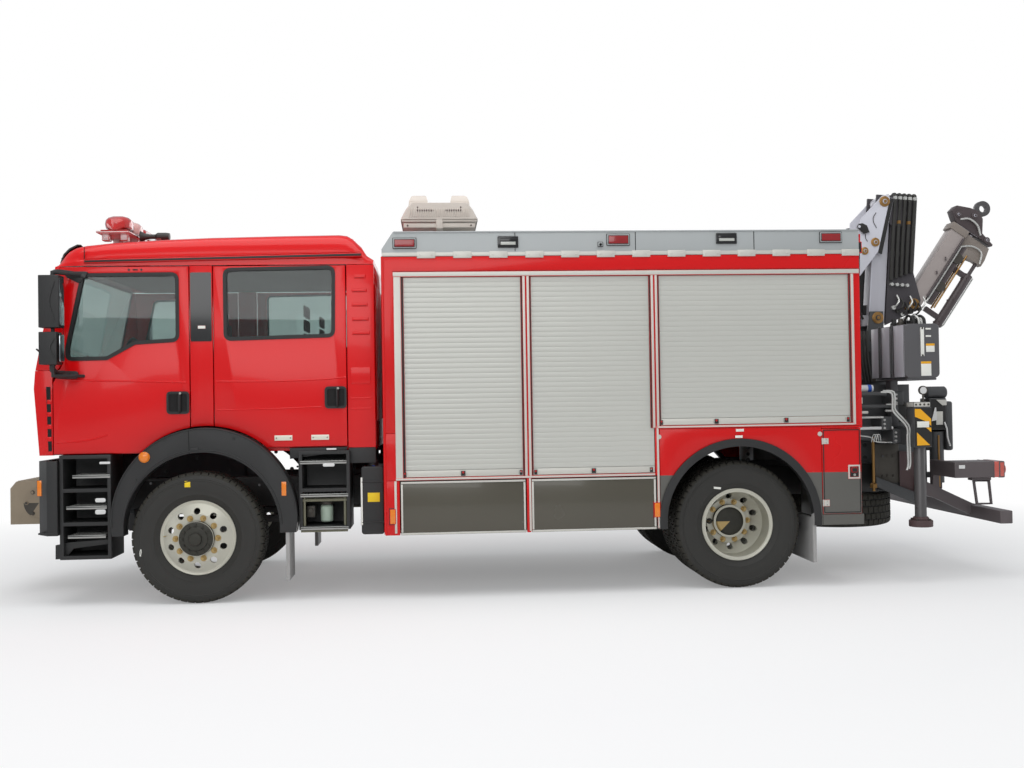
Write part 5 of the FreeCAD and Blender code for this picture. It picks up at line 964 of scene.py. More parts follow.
# amber marker behind the guard
block(left, at(-0.674, 1.184, 0.975), at(-0.719, 1.204, 0.855), paint=1, soft=0.004)
block(left, at(-0.66, 1.17, 0.99), at(-0.733, 1.19, 0.84), soft=0.004)
pour(wings, both(left))
fit(wings, "front_wings", "vehicle", [black_plastic, lens_amber, gap_shadow, mudflap_grey, reflector_white],
    stands_for=["wheel_guards"])


def tread(shape, ahead, behind, z):
    """Step tread: aluminium tray with a folded lip and rows of raised teeth."""
    low_y, high_y = 0.86, 1.155
    block(shape, at(ahead, low_y, z), at(behind, high_y, z + 0.012), paint=1, soft=0.003)
    block(shape, at(ahead, high_y - 0.004, z - 0.012), at(behind, high_y, z + 0.016), paint=1, soft=0.002)
    tooth = bmesh.new()
    turned(tooth, [(0.0085, 0.0), (0.0085, 0.004), (0.006, 0.007), (0.0, 0.007)], axis="z", sides=8)
    length = ahead - behind
    count = int((length - 0.03) / 0.027)
    for line in range(4):
        row(shape, tooth.copy(), count, at(ahead - 0.022, high_y - 0.035 - 0.055 * line, z + 0.012),
            step=(-(length - 0.03) / count, 0, 0), paint=1)
    tooth.free()


steps = copied("cab_steps")
left = bmesh.new()
for ahead, behind, z in ((0.99, 0.69, 1.04), (1.04, 0.72, 0.79), (1.03, 0.73, 0.557),
                         (-0.82, -1.2, 1.118), (-0.82, -1.21, 0.848), (-0.82, -1.21, 0.58)):
    tread(left, ahead, behind, z)
# small step lamps with rounded ends
for ahead, behind, low_z, high_z in ((0.777, 0.688, 1.139, 1.161), (0.813, 0.727, 0.832, 0.868),
                                     (0.814, 0.727, 0.735, 0.777), (-1.036, -1.12, 1.219, 1.236),
                                     (-1.005, -1.103, 1.083, 1.114)):
    outline = rounded(pane(ahead, behind, low_z, high_z), (high_z - low_z) * 0.48, 6)
    plate(left, outline, 1.149, 1.149 + 0.008, paint=2, soft=0.002)
# hanging bottom step: bracket plates and a tray
for inner, outer in ((1.1, 1.108), (0.86, 0.868)):
    plate(left, sketch((1.143, 0.491), (1.144, 0.376), (1.063, 0.38), (1.0, 0.46), (0.69, 0.495),
                       (0.69, 0.532), (1.03, 0.512)), inner, outer, soft=0.002)
# olive frames below the two lower rear treads, with the filter canister and the valve block between them
for z in (0.81, 0.56):
    for y in (1.12, 0.9):
        pipe(left, [at(-0.82, y, z), at(-1.2, y, z)], 0.013, paint=3)
for x in (-0.85, -1.18):
    pipe(left, [at(x, 1.12, 0.56), at(x, 1.12, 0.845)], 0.011, paint=3)
turned(left, [(0.0, 0.0), (0.045, 0.0), (0.052, 0.012), (0.052, 0.125), (0.044, 0.14), (0.0, 0.145)],
       at(-1.02, 1.0, 0.62), axis="z", paint=4, sides=28)
turned(left, [(0.0, 0.0), (0.06, 0.0), (0.06, 0.03), (0.0, 0.03)], at(-1.02, 1.0, 0.765), axis="z", paint=5,
       sides=28)
block(left, at(-0.93, 0.96, 0.66), at(-0.86, 1.06, 0.76), paint=5, soft=0.006)
rod(left, at(-0.895, 1.05, 0.72), at(-0.895, 1.085, 0.72), 0.016, paint=5)
# skirt closing the gap between the cab and the steps
for outline in (sketch((-0.735, 1.15), (-0.735, 1.24), (-1.2, 1.24), (-1.2, 1.205)),
                pane(-1.215, -1.436, 1.107, 1.238)):
    plate(left, outline, 1.104, 1.112, soft=0.002)
pour(steps, both(left))
fit(steps, "cab_steps_dressed", "vehicle", [black_plastic, tread_metal, lamp_white, olive_grey, pale_green,
                                            dull_iron], stands_for=["cab_steps"])

# air tanks with end domes, straps, a blue filler cap, a pale strip and a blank yellow sticker
tanks = copied("side_tanks", soft=0.02, turns=4)
left = bmesh.new()
block(left, at(-1.326, 1.128, 0.989), at(-1.308, 1.134, 0.596), paint=2, soft=0.002)
block(left, at(-1.365, 1.127, 0.862), at(-1.465, 1.132, 0.785), paint=3, soft=0.001)
for z in (0.62, 0.95):
    pipe(left, [at(-1.316, 1.128, z), at(-1.406, 1.133, z), at(-1.497, 1.128, z)], 0.007, sides=6)
turned(left, [(0.0, 0.0), (0.03, 0.0), (0.03, 0.03), (0.047, 0.035), (0.047, 0.062), (0.04, 0.07),
              (0.0, 0.072)], at(-1.413, 1.03, 1.035), axis="y", paint=1, sides=24)
pour(tanks, both(left))
fit(tanks, "air_tanks", "vehicle", [black_plastic, sky_blue, label_white, label_yellow],
    stands_for=["side_tanks"])


# ---------------------------------------------------------------- bumper and winch
# Heavy black steel bumper with round headlamps let in, and a weathered winch slung in front of it.
# The winch has a bare steel drum housing with bolted end covers, and a roller fairlead in front of it.
winch_steel = finish("winch_steel", tone(152, 138, 117), shade=0.7, patch=7, rough=0.55, grain=0.45,
                     grain_scale=200)
headlamp = finish("headlamp_glass", tone(206, 212, 214), shade=0.85, patch=60, rough=0.06, clear=0.8)
front_bumper = copied("bumper", soft=0.012, turns=3)
left = bmesh.new()
low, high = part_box("bumper")
nose = high.x - 0.01
for y, radius in ((0.93, 0.095), (0.72, 0.08)):
    turned(left, [(0.0, -0.01), (radius + 0.02, -0.01), (radius + 0.02, 0.008), (radius, 0.012),
                  (radius - 0.006, 0.002), (0.0, 0.002)], (nose, y, 0.86), axis="x", sides=32)
    turned(left, [(0.0, 0.0), (radius - 0.008, 0.0), (radius - 0.02, 0.008), (0.0, 0.014)], (nose, y, 0.86),
           axis="x", sides=32, paint=1)
turned(left, [(0.0, -0.01), (0.06, -0.01), (0.06, 0.008), (0.045, 0.012), (0.0, 0.014)], (nose, 0.93, 0.665),
       axis="x", sides=28, paint=2)
# side reflector and the corner's wrapped step
block(left, at(1.218, 1.176, 1.022), at(1.257, 1.186, 0.893), paint=2, soft=0.003)
block(left, (low.x - 0.004, 1.12, 0.585), (nose - 0.02, 1.184, 0.6), soft=0.004)
pour(front_bumper, both(left))
for z in (0.66, 0.74, 0.98, 1.06):
    block(front_bumper, (nose - 0.004, -0.55, z), (nose + 0.004, 0.55, z + 0.03), paint=3, soft=0.002)
block(front_bumper, (nose - 0.004, -0.27, 1.09), (nose + 0.008, 0.27, 1.155), paint=4, soft=0.003)
fit(front_bumper, "front_bumper", "vehicle", [black_plastic, headlamp, lens_amber, gap_shadow, label_white],
    stands_for=["bumper"])

pull = copied("winch", soft=0.008)
low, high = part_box("winch")
drum = bmesh.new()
turned(drum, [(0.0, -0.001), (0.13, -0.001), (0.13, 0.012), (0.02, 0.012), (0.0, 0.014)],
       at(1.5, high.y, 0.78), sides=32)
for x, z in bolt_circle(6, 0.105):
    pour(drum, hex_bolt(0.013, 0.01), Matrix.Translation((front + 1.5 + x, high.y + 0.012, 0.78 + z)),
         paint=1)
pour(pull, both(drum))
for k in range(14):
    y = -0.39 + 0.06 * k
    block(pull, at(1.29, y - 0.01, high.z - 0.006), at(1.7, y + 0.01, high.z + 0.004), soft=0.003)
block(pull, at(1.735, -0.16, 0.66), at(1.752, 0.16, 0.9), paint=1, soft=0.01)
for z in (0.72, 0.84):
    rod(pull, at(1.752, -0.12, z), at(1.752, 0.12, z), 0.018, paint=1)
fit(pull, "winch_dressed", "vehicle", [winch_steel, dull_iron, spring_steel],
    stands_for=["winch"])


# ---------------------------------------------------------------- mirrors
# Two black-shelled mirrors stacked on an arm off the front door, the glass facing the rear.
# The arm is a moulded tube held by a bracket at the door's top and another at its belt.
mirror_glass = finish("mirror_face", tone(200, 206, 210), shade=0.93, patch=10, rough=0.03, metal=1.0)
mirror = copied("mirror_left", soft=0.02, turns=4)
for low_z, high_z in ((2.23, 2.643), (1.94, 2.197)):
    outline = rounded([(1.285, low_z + 0.02), (1.385, low_z + 0.02), (1.385, high_z - 0.02),
                       (1.285, high_z - 0.02)], 0.02, 4)
    plate(mirror, outline, front + 0.9975, front + 1.002, axis="x", paint=1)
    middle = (low_z + high_z) / 2
    pipe(mirror, curve_through([at(1.03, 1.402, low_z + 0.05), at(1.07, 1.404, middle),
                                at(1.03, 1.402, high_z - 0.05)], 4), 0.004)
pipe(mirror, curve_through([at(1.073, 1.323, 2.62), at(1.065, 1.31, 2.672), at(1.02, 1.24, 2.683),
                            at(0.93, 1.14, 2.672), at(0.88, 1.122, 2.655)], 5), 0.02, flat=0.8)
pipe(mirror, curve_through([at(1.073, 1.323, 1.96), at(1.08, 1.31, 1.9), at(1.05, 1.22, 1.862),
                            at(1.0, 1.13, 1.863)], 5), 0.024, flat=0.8)
plate(mirror, rounded(sketch((0.84, 2.7), (0.93, 2.602), (1.04, 2.66), (1.03, 2.7)), 0.02, 3), 1.118, 1.135,
      soft=0.004)
plate(mirror, rounded(sketch((0.94, 1.83), (1.13, 1.835), (1.13, 1.9), (0.94, 1.893)), 0.03, 3), 1.118, 1.14,
      soft=0.006)
fit_pair(mirror, "mirror_shells", "front_cab_door", [black_plastic, mirror_glass], "mirror")


# ---------------------------------------------------------------- roof lamps and horn
# Two aerodynamic beacon pods under red polycarbonate with a speaker between, on low feet over the windscreen.
# The inner part of each pod is a paler lens; the horn behind them is spun metal.
beacon_red = finish("beacon_red", tone(196, 22, 18), shade=0.7, patch=26, rough=0.12, clear=0.8, grain=0.2,
                    grain_scale=60)
beacon_pink = finish("beacon_lens", tone(226, 178, 172), shade=0.8, patch=18, rough=0.1, clear=0.8,
                     grain=0.25, grain_scale=80)
pods = bmesh.new()
left = bmesh.new()


def pod(shape, y_in, y_out, paint):
    """Swept lamp pod: low in the middle of the roof and rising outwards, with a rounded back."""
    rings = []
    for step in range(9):
        share = step / 8
        y = y_in + (y_out - y_in) * share
        swell = math.sin(math.pi * min(1.0, 0.12 + share * 0.9)) ** 0.35
        height = 0.115 + 0.045 * share
        half = 0.115 * swell
        middle = 0.737 - 0.02 * share
        ring = []
        for turn_step in range(14):
            angle = math.tau * turn_step / 14
            c, s = math.cos(angle), math.sin(angle)
            ring.append(at(middle + half * math.copysign(abs(c) ** 0.7, c), y,
                           3.078 + height * 0.5 * (1 + math.copysign(abs(s) ** 0.8, s)) * swell))
        rings.append(ring)
    skin(shape, rings, paint)


pod(left, 0.27, 0.55, 1)
pod(left, 0.552, 0.875, 0)
block(left, at(0.84, 0.3, 3.07), at(0.62, 0.86, 3.082), paint=2, soft=0.006)
for x in (0.66, 0.81):
    for inner, outer in ((0.42, 0.5), (0.74, 0.82)):
        block(left, at(x - 0.03, inner, 2.995), at(x + 0.03, outer, 3.075), paint=3, soft=0.005)
pour(pods, both(left))
block(pods, at(0.82, -0.25, 3.06), at(0.63, 0.25, 3.18), paint=2, soft=0.02, turns=4)
# near-black slots on the speaker's face: painted shade
for k in range(6):
    block(pods, at(0.815, -0.2 + 0.08 * k - 0.03, 3.08), at(0.8235, -0.2 + 0.08 * k + 0.03, 3.16), paint=4,
          soft=0.003)
block(pods, at(0.87, -0.88, 3.052), at(0.6, 0.88, 3.068), paint=3, soft=0.005)
turned(pods, [(0.0, 0.0), (0.03, 0.0), (0.034, 0.03), (0.034, 0.1), (0.02, 0.12), (0.02, 0.16), (0.026, 0.2),
              (0.045, 0.24), (0.05, 0.243), (0.044, 0.238), (0.0, 0.19)], at(0.334, 0.6, 3.06), axis="x",
       sides=28, paint=5)
block(pods, at(0.4, 0.57, 2.96), at(0.44, 0.63, 3.04), paint=5, soft=0.006)
block(pods, at(0.5, 0.58, 2.95), at(0.52, 0.62, 3.03), paint=5, soft=0.004)
fit(pods, "roof_beacons", "vehicle", [beacon_red, beacon_pink, gloss_black, lamp_white, gap_shadow,
                                      spring_steel], stands_for=["lamps"])

# ---------------------------------------------------------------- rescue body
# Welded body with red painted sides, grey low down at the rear, an aluminium eave band and riveted pale tabs.
# Panels are sheet on a hidden frame; the eave band's tabs alternate with the red along the top edge.
body_red = finish("body_red", tone(208, 8, 10), shade=0.94, patch=0.6, rough=0.27, wander=0.05, clear=0.2,
                  shine=0.3, grain=0.03, grain_scale=240)
roof_grey = finish("roof_grey", tone(168, 172, 172), shade=0.92, patch=1.4, rough=0.38, wander=0.06,
                   grain=0.05)
lower_grey = finish("lower_grey", tone(94, 93, 88), shade=0.9, patch=1.6, rough=0.36, wander=0.06, grain=0.06)
flap_brown = finish("flap_grey_brown", tone(79, 75, 63), shade=0.82, patch=1.1, rough=0.25, wander=0.06,
                    clear=0.3)
pale_alloy = finish("pale_alloy", tone(206, 204, 196), shade=0.9, patch=5, rough=0.42, metal=0.25, grain=0.12,
                    stretch=(0.2, 1, 1))
seal_black = finish("seal_black", tone(30, 29, 28), shade=0.7, patch=9, rough=0.6, grain=0.2)
half_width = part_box("body_sides")[1].y
body_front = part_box("body_sides")[1].x
split_height = 0.961


def side_rule(centre, normal):
    """Red, but grey below the flaps' top edge behind the second shutter."""
    if centre.z < split_height and centre.x < front - 3.72:
        return 1
    return 0


sides = copied("body_sides", soft=0.0025)
bmesh.ops.bisect_plane(sides, geom=sides.verts[:] + sides.edges[:] + sides.faces[:],
                       plane_co=(0, 0, split_height), plane_no=(0, 0, 1))
for face in sides.faces:
    face.material_index = side_rule(face.calc_center_median(), face.normal)
left = bmesh.new()
y = half_width
# shutter rails: pale channel, rubber and a thin red line on each side of an opening
low_sill, arch_sill, rail_top = 0.985, 1.373, 2.62
for ahead, kind in ((-1.634, "front"), (-2.684, "post"), (-3.749, "post"), (-5.4335, "end")):
    low_z = low_sill if ahead > -3.7 else arch_sill
    if kind == "front":
        spans = ((-1.603, -1.662, 3), (-1.664, -1.684, 5))
    elif kind == "post":
        spans = ((ahead + 0.044, ahead + 0.029, 5), (ahead + 0.028, ahead + 0.005, 3),
                 (ahead - 0.006, ahead - 0.028, 3), (ahead - 0.029, ahead - 0.043, 5))
    else:
        spans = ((-5.402, -5.417, 5), (-5.419, -5.445, 3))
    for one, two, paint in spans:
        block(left, at(one, y - 0.012, low_z - 0.018), at(two, y + (0.009 if paint == 3 else 0.005),
                                                          rail_top + 0.012), paint=paint, soft=0.002)
    if kind == "post":
        block(left, (front + ahead - 0.002, y - 0.004, 0.53), (front + ahead - 0.022, y + 0.006, low_z),
              paint=3, soft=0.002)
block(left, at(-1.588, y - 0.006, 0.535), at(-1.61, y + 0.006, 0.962), paint=3, soft=0.002)
# top rail and sill
block(left, at(-1.598, y - 0.006, 2.622), at(-5.494, y + 0.012, 2.662), paint=3, soft=0.003)
block(left, at(-1.6, y - 0.006, 2.662), at(-5.49, y + 0.006, 2.668), paint=2, soft=0.001)
block(left, at(-1.6, y - 0.006, 0.963), at(-3.735, y + 0.01, 0.984), paint=3, soft=0.003)
block(left, at(-3.76, y - 0.006, 1.352), at(-5.433, y + 0.01, 1.371), paint=3, soft=0.003)
# dark trim up the arch panel's front edge, the two half-round caps and the small blank labels
block(left, at(-3.757, y - 0.004, 0.529), at(-3.771, y + 0.004, 1.3), paint=5, soft=0.002)
for x, level in ((-3.773, 1.28), (-5.134, 1.281)):
    turned(left, [(0.0, 0.0), (0.02, 0.0), (0.017, 0.006), (0.0, 0.008)], at(x, y, level), sides=20, paint=3)
block(left, at(-4.409, y + 0.012, 1.282), at(-4.473, y + 0.0145, 1.26), paint=4, soft=0.001)
block(left, at(-4.419, y - 0.001, 1.336), at(-4.488, y + 0.0015, 1.312), paint=4, soft=0.001)
# amber side markers
for one, two, low_z, high_z in ((-1.549, -1.599, 0.611, 0.735), (-3.72, -3.772, 0.619, 0.74)):
    block(left, at(one, y - 0.004, low_z), at(two, y + 0.013, high_z), paint=6, soft=0.005, turns=3)
    block(left, (front + one + 0.006, y - 0.004, low_z - 0.008),
          (front + two - 0.006, y + 0.004, high_z + 0.008), paint=5, soft=0.002)
# front corner rounding strip
pipe(left, [(body_front - 0.004, y - 0.004, 0.53), (body_front - 0.004, y - 0.004, 2.788)], 0.012, sides=12)
pour(sides, both(left))
fit(sides, "body_side_panels", "vehicle", [body_red, lower_grey, gap_shadow, pale_alloy, label_white,
                                           seal_black, lens_amber], stands_for=["body_sides"])

walls = copied("body_end_walls", soft=0.003, rule=lambda centre, normal: 1 if normal.x < -0.8
               and centre.x < front - 5 else 0)
low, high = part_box("body_end_walls")
for k in range(7):
    y = -1.02 + 0.34 * k
    block(walls, (low.x - 0.008, y - 0.02, 1.4), (low.x + 0.004, y + 0.02, 2.72), soft=0.005)
for level in (1.36, 2.74):
    block(walls, (low.x - 0.01, -1.18, level), (low.x + 0.004, 1.18, level + 0.03), soft=0.005, paint=1)
# ladder rungs up the rear wall on the right
for x_side in (-0.95, -0.6):
    pipe(walls, [(low.x - 0.01, x_side, 1.42), (low.x - 0.075, x_side, 1.45), (low.x - 0.075, x_side, 2.86),
                 (low.x - 0.01, x_side, 2.9)], 0.016, paint=2)
for k in range(5):
    pipe(walls, [(low.x - 0.075, -0.95, 1.55 + 0.28 * k), (low.x - 0.075, -0.6, 1.55 + 0.28 * k)], 0.014,
         paint=2)
# small clamp on the rear top corner
block(walls, (low.x + 0.002, 1.12, 2.8), (low.x - 0.05, 1.2, 2.9), paint=3, soft=0.008)
fit(walls, "body_walls", "vehicle", [body_red, roof_grey, pale_alloy, seal_black],
    stands_for=["body_end_walls"])

low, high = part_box("body_floor")
base = copied("body_floor", soft=0.003, rule=lambda centre, normal: 1 if normal.z > 0.8 and centre.z > 0.9
              else 0)
for k in range(24):
    x = low.x + 0.1 + k * (high.x - low.x - 0.2) / 23
    if x > rear + 0.72:
        block(base, (x - 0.02, -0.7, 0.95), (x + 0.02, 0.7, 0.972), soft=0.004)
fit(base, "body_decks_and_lockers", "vehicle", [lower_grey, pale_alloy],
    stands_for=["body_floor"])


# ---------------------------------------------------------------- body roof
# Grey aluminium eave with riveted tabs along its lower edge, round a treadplate walkway.
# Tabs are separate pressed strips; the treads are raised lozenges rolled into the plate.
tread_plate = finish("tread_plate", tone(178, 180, 180), shade=0.85, patch=4, rough=0.36, metal=0.5)
top = copied("body_roof", soft=0.006, turns=3)
left = bmesh.new()
y = half_width
# red band that runs behind the tabs
block(left, at(-1.514, y - 0.004, 2.79), at(-5.498, y + 0.0035, 2.822), paint=1, soft=0.001)
tab = bmesh.new()
block(tab, (-0.15, -0.003, -0.027), (0.0, 0.01, 0.027), soft=0.003)
for x in (-0.028, -0.122):
    turned(tab, [(0.0, 0.0), (0.008, 0.0), (0.006, 0.0035), (0.0, 0.0045)], (x, 0.01, 0), sides=10)
row(left, tab, 13, at(-1.798, y, 2.8), step=(-0.296, 0, 0), paint=4)
# folded lip over the eave, and the joints between its sections
block(left, at(-1.61, y - 0.03, 2.982), at(-5.498, y + 0.006, 2.994), soft=0.003)
for x in (-2.6, -3.6, -4.6):
    block(left, at(x, y - 0.001, 2.826), (front + x - 0.006, y + 0.0015, 2.98), paint=3, soft=0)
pour(top, both(left))
# treadplate: rows of crossed lozenges on the deck, with a clear strip along its middle
clear_half = 0.14
for turned_by, shift in ((0.6, 0.0), (-0.6, 0.045)):
    for line in range(24):
        y = -1.15 + 0.1 * line + shift
        if abs(y) < clear_half:
            continue
        lozenge = bmesh.new()
        turned(lozenge, [(0.0, 0.0), (0.0105, 0.0), (0.0085, 0.0022), (0.0, 0.0028)], axis="z", sides=6)
        for corner in lozenge.verts:
            corner.co.y *= 0.34
            corner.co.x *= 1.6
        bmesh.ops.rotate(lozenge, verts=lozenge.verts, cent=(0, 0, 0),
                         matrix=Matrix.Rotation(turned_by, 3, "Z"))
        row(top, lozenge, 40, (front - 5.4 + shift, y, 2.83), step=(0.094, 0, 0), paint=2)
fit(top, "body_roof_dressed", "vehicle", [roof_grey, body_red, tread_plate, gap_shadow, pale_alloy],
    stands_for=["body_roof"])


# ---------------------------------------------------------------- shutters
# Roller shutters of interlocking aluminium slats, each with a lift bar that carries black latches.
# One slat profile is set out up each opening by the repeat tree and converted to a mesh.
shutter_white = finish("shutter_slats", tone(196, 196, 189), shade=0.93, patch=2.2, rough=0.34, wander=0.06,
                       metal=0.15, grain=0.05, stretch=(0.15, 1, 1))
latch_red = finish("latch_red", tone(190, 20, 20), shade=0.8, patch=40, rough=0.4)
slat_pitch = 0.041
shutter_top = 2.617
shutters = bmesh.new()
left = bmesh.new()
for ahead, behind, low_z in ((-1.64, -2.66, low_sill), (-2.708, -3.74, low_sill),
                             (-3.758, -5.415, arch_sill)):
    start, end = front + ahead - 0.006, front + behind + 0.006
    face = half_width - 0.009
    first = low_z + 0.058
    count = int((shutter_top - first) / slat_pitch)
    pitch = (shutter_top - first) / count
    slat = bmesh.new()
    profile = [(-0.014, 0.0), (-0.002, 0.0), (-0.0006, 0.0015), (0.0, 0.004), (0.0, pitch - 0.003),
               (-0.0006, pitch - 0.001), (-0.002, pitch), (-0.014, pitch)]
    skin(slat, [[(x, face + y, z) for y, z in profile] for x in (start, end)])
    row(left, slat, count, (0, 0, first), step=(0, 0, pitch))
    # lift bar with its pull lip, latches along it and a stop at each end, all black with red buttons
    block(left, (start, face - 0.012, low_z + 0.002), (end, face + 0.004, first - 0.002), paint=1, soft=0.003)
    block(left, (start, face, low_z + 0.004), (end, face + 0.009, low_z + 0.012), paint=1, soft=0.002)
    for share in (0.5,) if abs(behind - ahead) < 1.5 else (0.3, 0.66):
        x = start + (end - start) * share
        block(left, (x - 0.022, face - 0.002, low_z + 0.004), (x + 0.022, face + 0.013, low_z + 0.052),
              paint=2, soft=0.004)
        turned(left, [(0.0, 0.0), (0.009, 0.0), (0.008, 0.003), (0.0, 0.004)],
               (x, face + 0.013, low_z + 0.036), sides=14, paint=3)
    for x in (start - 0.03, end + 0.03):
        block(left, (x - 0.017, face - 0.002, low_z + 0.002), (x + 0.017, face + 0.012, low_z + 0.05),
              paint=2, soft=0.004)
        turned(left, [(0.0, 0.0), (0.008, 0.0), (0.007, 0.003), (0.0, 0.004)],
               (x, face + 0.012, low_z + 0.034), sides=14, paint=3)
pour(shutters, both(left))
fit(shutters, "roller_shutters", "vehicle", [shutter_white, pale_alloy, seal_black, latch_red],
    crease=28, stands_for=["shutters"])


# ---------------------------------------------------------------- lower doors
# Drop-down flaps in grey-brown, edged in pale alloy, and a small side door behind each rear wheel.
# The door hangs on two pale hinges and shuts with a black paddle latch in a pale square.
for key in ("front", "middle"):
    leaf = copied("flap_" + key + "_left", soft=0.003)
    low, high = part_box("flap_" + key + "_left")
    edge = 0.02
    for one, two in (((low.x, low.z), (high.x, low.z + edge)), ((low.x, high.z - edge), (high.x, high.z)),
                     ((low.x, low.z + edge), (low.x + edge, high.z - edge)),
                     ((high.x - edge, low.z + edge), (high.x, high.z - edge))):
        block(leaf, (one[0] + 0.001, high.y - 0.002, one[1] + 0.001),
              (two[0] - 0.001, high.y + 0.005, two[1] - 0.001), paint=1, soft=0.0015)
    for share in (0.15, 0.5, 0.85):
        x = low.x + (high.x - low.x) * share
        rod(leaf, (x - 0.03, high.y + 0.001, low.z + 0.012), (x + 0.03, high.y + 0.001, low.z + 0.012), 0.007,
            paint=1, sides=12)
    fit_pair(leaf, key + "_flap_skin", key + "_flap", [flap_brown, pale_alloy], "flap_" + key)

leaf = copied("rear_locker_door_left", soft=0.003)
low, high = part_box("rear_locker_door_left")
y = high.y
block(leaf, (low.x + 0.001, y - 0.0005, low.z + 0.001), (high.x - 0.001, y + 0.002, split_height), paint=1,
      soft=0.001)
band(leaf, rounded([(low.x + 0.012, low.z + 0.012), (high.x - 0.012, low.z + 0.012),
                    (high.x - 0.012, high.z - 0.012), (low.x + 0.012, high.z - 0.012)], 0.01, 3), 0.004,
     0.004, y - 0.002, y + 0.003, paint=3)
for low_z, high_z in ((1.194, 1.246), (0.676, 0.731)):
    block(leaf, at(-5.158, y - 0.002, low_z), at(-5.207, y + 0.005, high_z), paint=2, soft=0.002)
    rod(leaf, at(-5.153, y + 0.003, low_z), at(-5.153, y + 0.003, high_z), 0.006, paint=2, sides=12)
    for level in (low_z + 0.012, high_z - 0.012):
        rod(leaf, at(-5.185, y + 0.004, level), at(-5.185, y + 0.008, level), 0.005, paint=4, sides=10)
block(leaf, at(-5.368, y - 0.001, 0.9), at(-5.474, y + 0.004, 1.02), paint=2, soft=0.003)
block(leaf, at(-5.382, y + 0.003, 0.915), at(-5.46, y + 0.008, 1.005), paint=3, soft=0.003)
block(leaf, at(-5.395, y + 0.006, 0.955), at(-5.447, y + 0.014, 0.995), paint=3, soft=0.004)
rod(leaf, at(-5.421, y + 0.007, 0.934), at(-5.421, y + 0.013, 0.934), 0.011, paint=4)
finishes = [body_red, lower_grey, pale_alloy, seal_black, bright_metal]
fit_pair(leaf, "rear_locker_door_skin", "locker_door", finishes, "rear_locker_door")


# ---------------------------------------------------------------- body lamps
# Red flashing lamps in grey bezels and white scene lamps in black ones along the eave, and a small camera.
# Each is a moulded block screwed through the eave band.
lens_red = finish("red_lens", tone(150, 12, 20), shade=0.75, patch=50, rough=0.14, clear=0.7, grain=0.35,
                  grain_scale=110)
scene_lens = finish("scene_lens", tone(192, 194, 187), shade=0.8, patch=70, rough=0.08, clear=0.8, grain=0.5,
                    grain_scale=140)
eave = bmesh.new()
left = bmesh.new()
y = half_width
for ahead, behind, low_z, high_z, paint in ((-1.602, -1.796, 2.85, 2.942, 1), (-2.46, -2.63, 2.854, 2.95, 2),
                                            (-3.36, -3.556, 2.866, 2.966, 1),
                                            (-4.28, -4.456, 2.876, 2.968, 2),
                                            (-5.16, -5.354, 2.88, 2.974, 1)):
    edge = 0.012 if paint == 1 else 0.018
    block(left, at(ahead, y - 0.002, low_z), at(behind, y + 0.014, high_z), paint=3 if paint == 1 else 0,
          soft=0.006, turns=3)
    block(left, (front + ahead - edge, y + 0.004, low_z + edge),
          (front + behind + edge, y + 0.0195, high_z - edge), paint=paint, soft=0.006, turns=3)
    if paint == 2:
        block(left, (front + ahead - edge, y + 0.0165, (low_z + high_z) / 2),
              (front + behind + edge, y + 0.0205, high_z - edge), soft=0.002)
block(left, at(-3.285, y - 0.002, 2.856), at(-3.332, y + 0.016, 2.9), paint=3, soft=0.006, turns=3)
rod(left, at(-3.309, y + 0.012, 2.875), at(-3.309, y + 0.022, 2.875), 0.012)
pour(eave, both(left))
fit(eave, "eave_lamps", "vehicle", [gloss_black, lens_red, scene_lens, roof_grey])


# ---------------------------------------------------------------- light mast
# Lighting tower folded on the roof: a ribbed grey twin lamp housing on a bracket at the end of a square arm.
# The housing has cooling ribs and vent slots on both long faces; a short cable lies over its left-hand half.
mast_grey = finish("mast_grey", tone(214, 204, 194), shade=0.88, patch=6, rough=0.55, grain=0.25,
                   grain_scale=300)
mast_shadow = finish("vent_dark", tone(70, 46, 42), shade=0.7, patch=30, rough=0.7)
arm = copied("mast_arm", soft=0.006, turns=3)
low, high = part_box("mast_arm")
for share in (0.3, 0.62):
    x = low.x + (high.x - low.x) * share
    z = 2.96 + (x - (front - 3.45)) * 0.0707
    block(arm, (x - 0.03, -0.052, z - 0.052), (x + 0.03, 0.052, z + 0.052), paint=1, soft=0.005)
pipe(arm, curve_through([(low.x + 0.1, 0.05, 2.985), (low.x + 0.5, 0.06, 3.025), (low.x + 0.9, 0.058, 3.055),
                         (high.x - 0.1, 0.05, 3.085)], 6), 0.011, paint=2)
fit(arm, "mast_arm_dressed", "light_mast", [mast_grey, dull_iron, rubber],
    stands_for=["mast_arm"])

head = bmesh.new()
low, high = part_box("lamp_head")
middle = (low.x + high.x) / 2
dome_foot = 3.285
dome = [(0.342, dome_foot), (0.336, 3.305), (0.3, 3.375), (0.262, 3.428), (0.25, 3.436)]
outline = [(middle + x, z) for x, z in dome] + [(middle - x, z) for x, z in reversed(dome)]
rings = []
for share, shrink in ((0.0, 0.94), (0.02, 0.98), (0.06, 1.0), (0.94, 1.0), (0.98, 0.98), (1.0, 0.94)):
    y = low.y + 0.01 + (high.y - low.y - 0.02) * share
    rings.append([(middle + (x - middle) * shrink, y, dome_foot + (z - dome_foot) * shrink) for x,
                  z in outline])
skin(head, rings)
# raised ends over each housing
for side in (-1, 1):
    one, two = middle + side * 0.27, middle + side * 0.1
    for y in (-0.28, 0.28):
        rings = []
        for z, pull in ((3.425, 0.0), (3.46, 0.004), (3.5, 0.022), (3.512, 0.045)):
            rings.append([(one - side * pull, y - 0.2 + pull, z),
                          (two + side * pull * 0.5, y - 0.2 + pull, z),
                          (two + side * pull * 0.5, y + 0.2 - pull, z),
                          (one - side * pull, y + 0.2 - pull, z)])
        skin(head, rings)
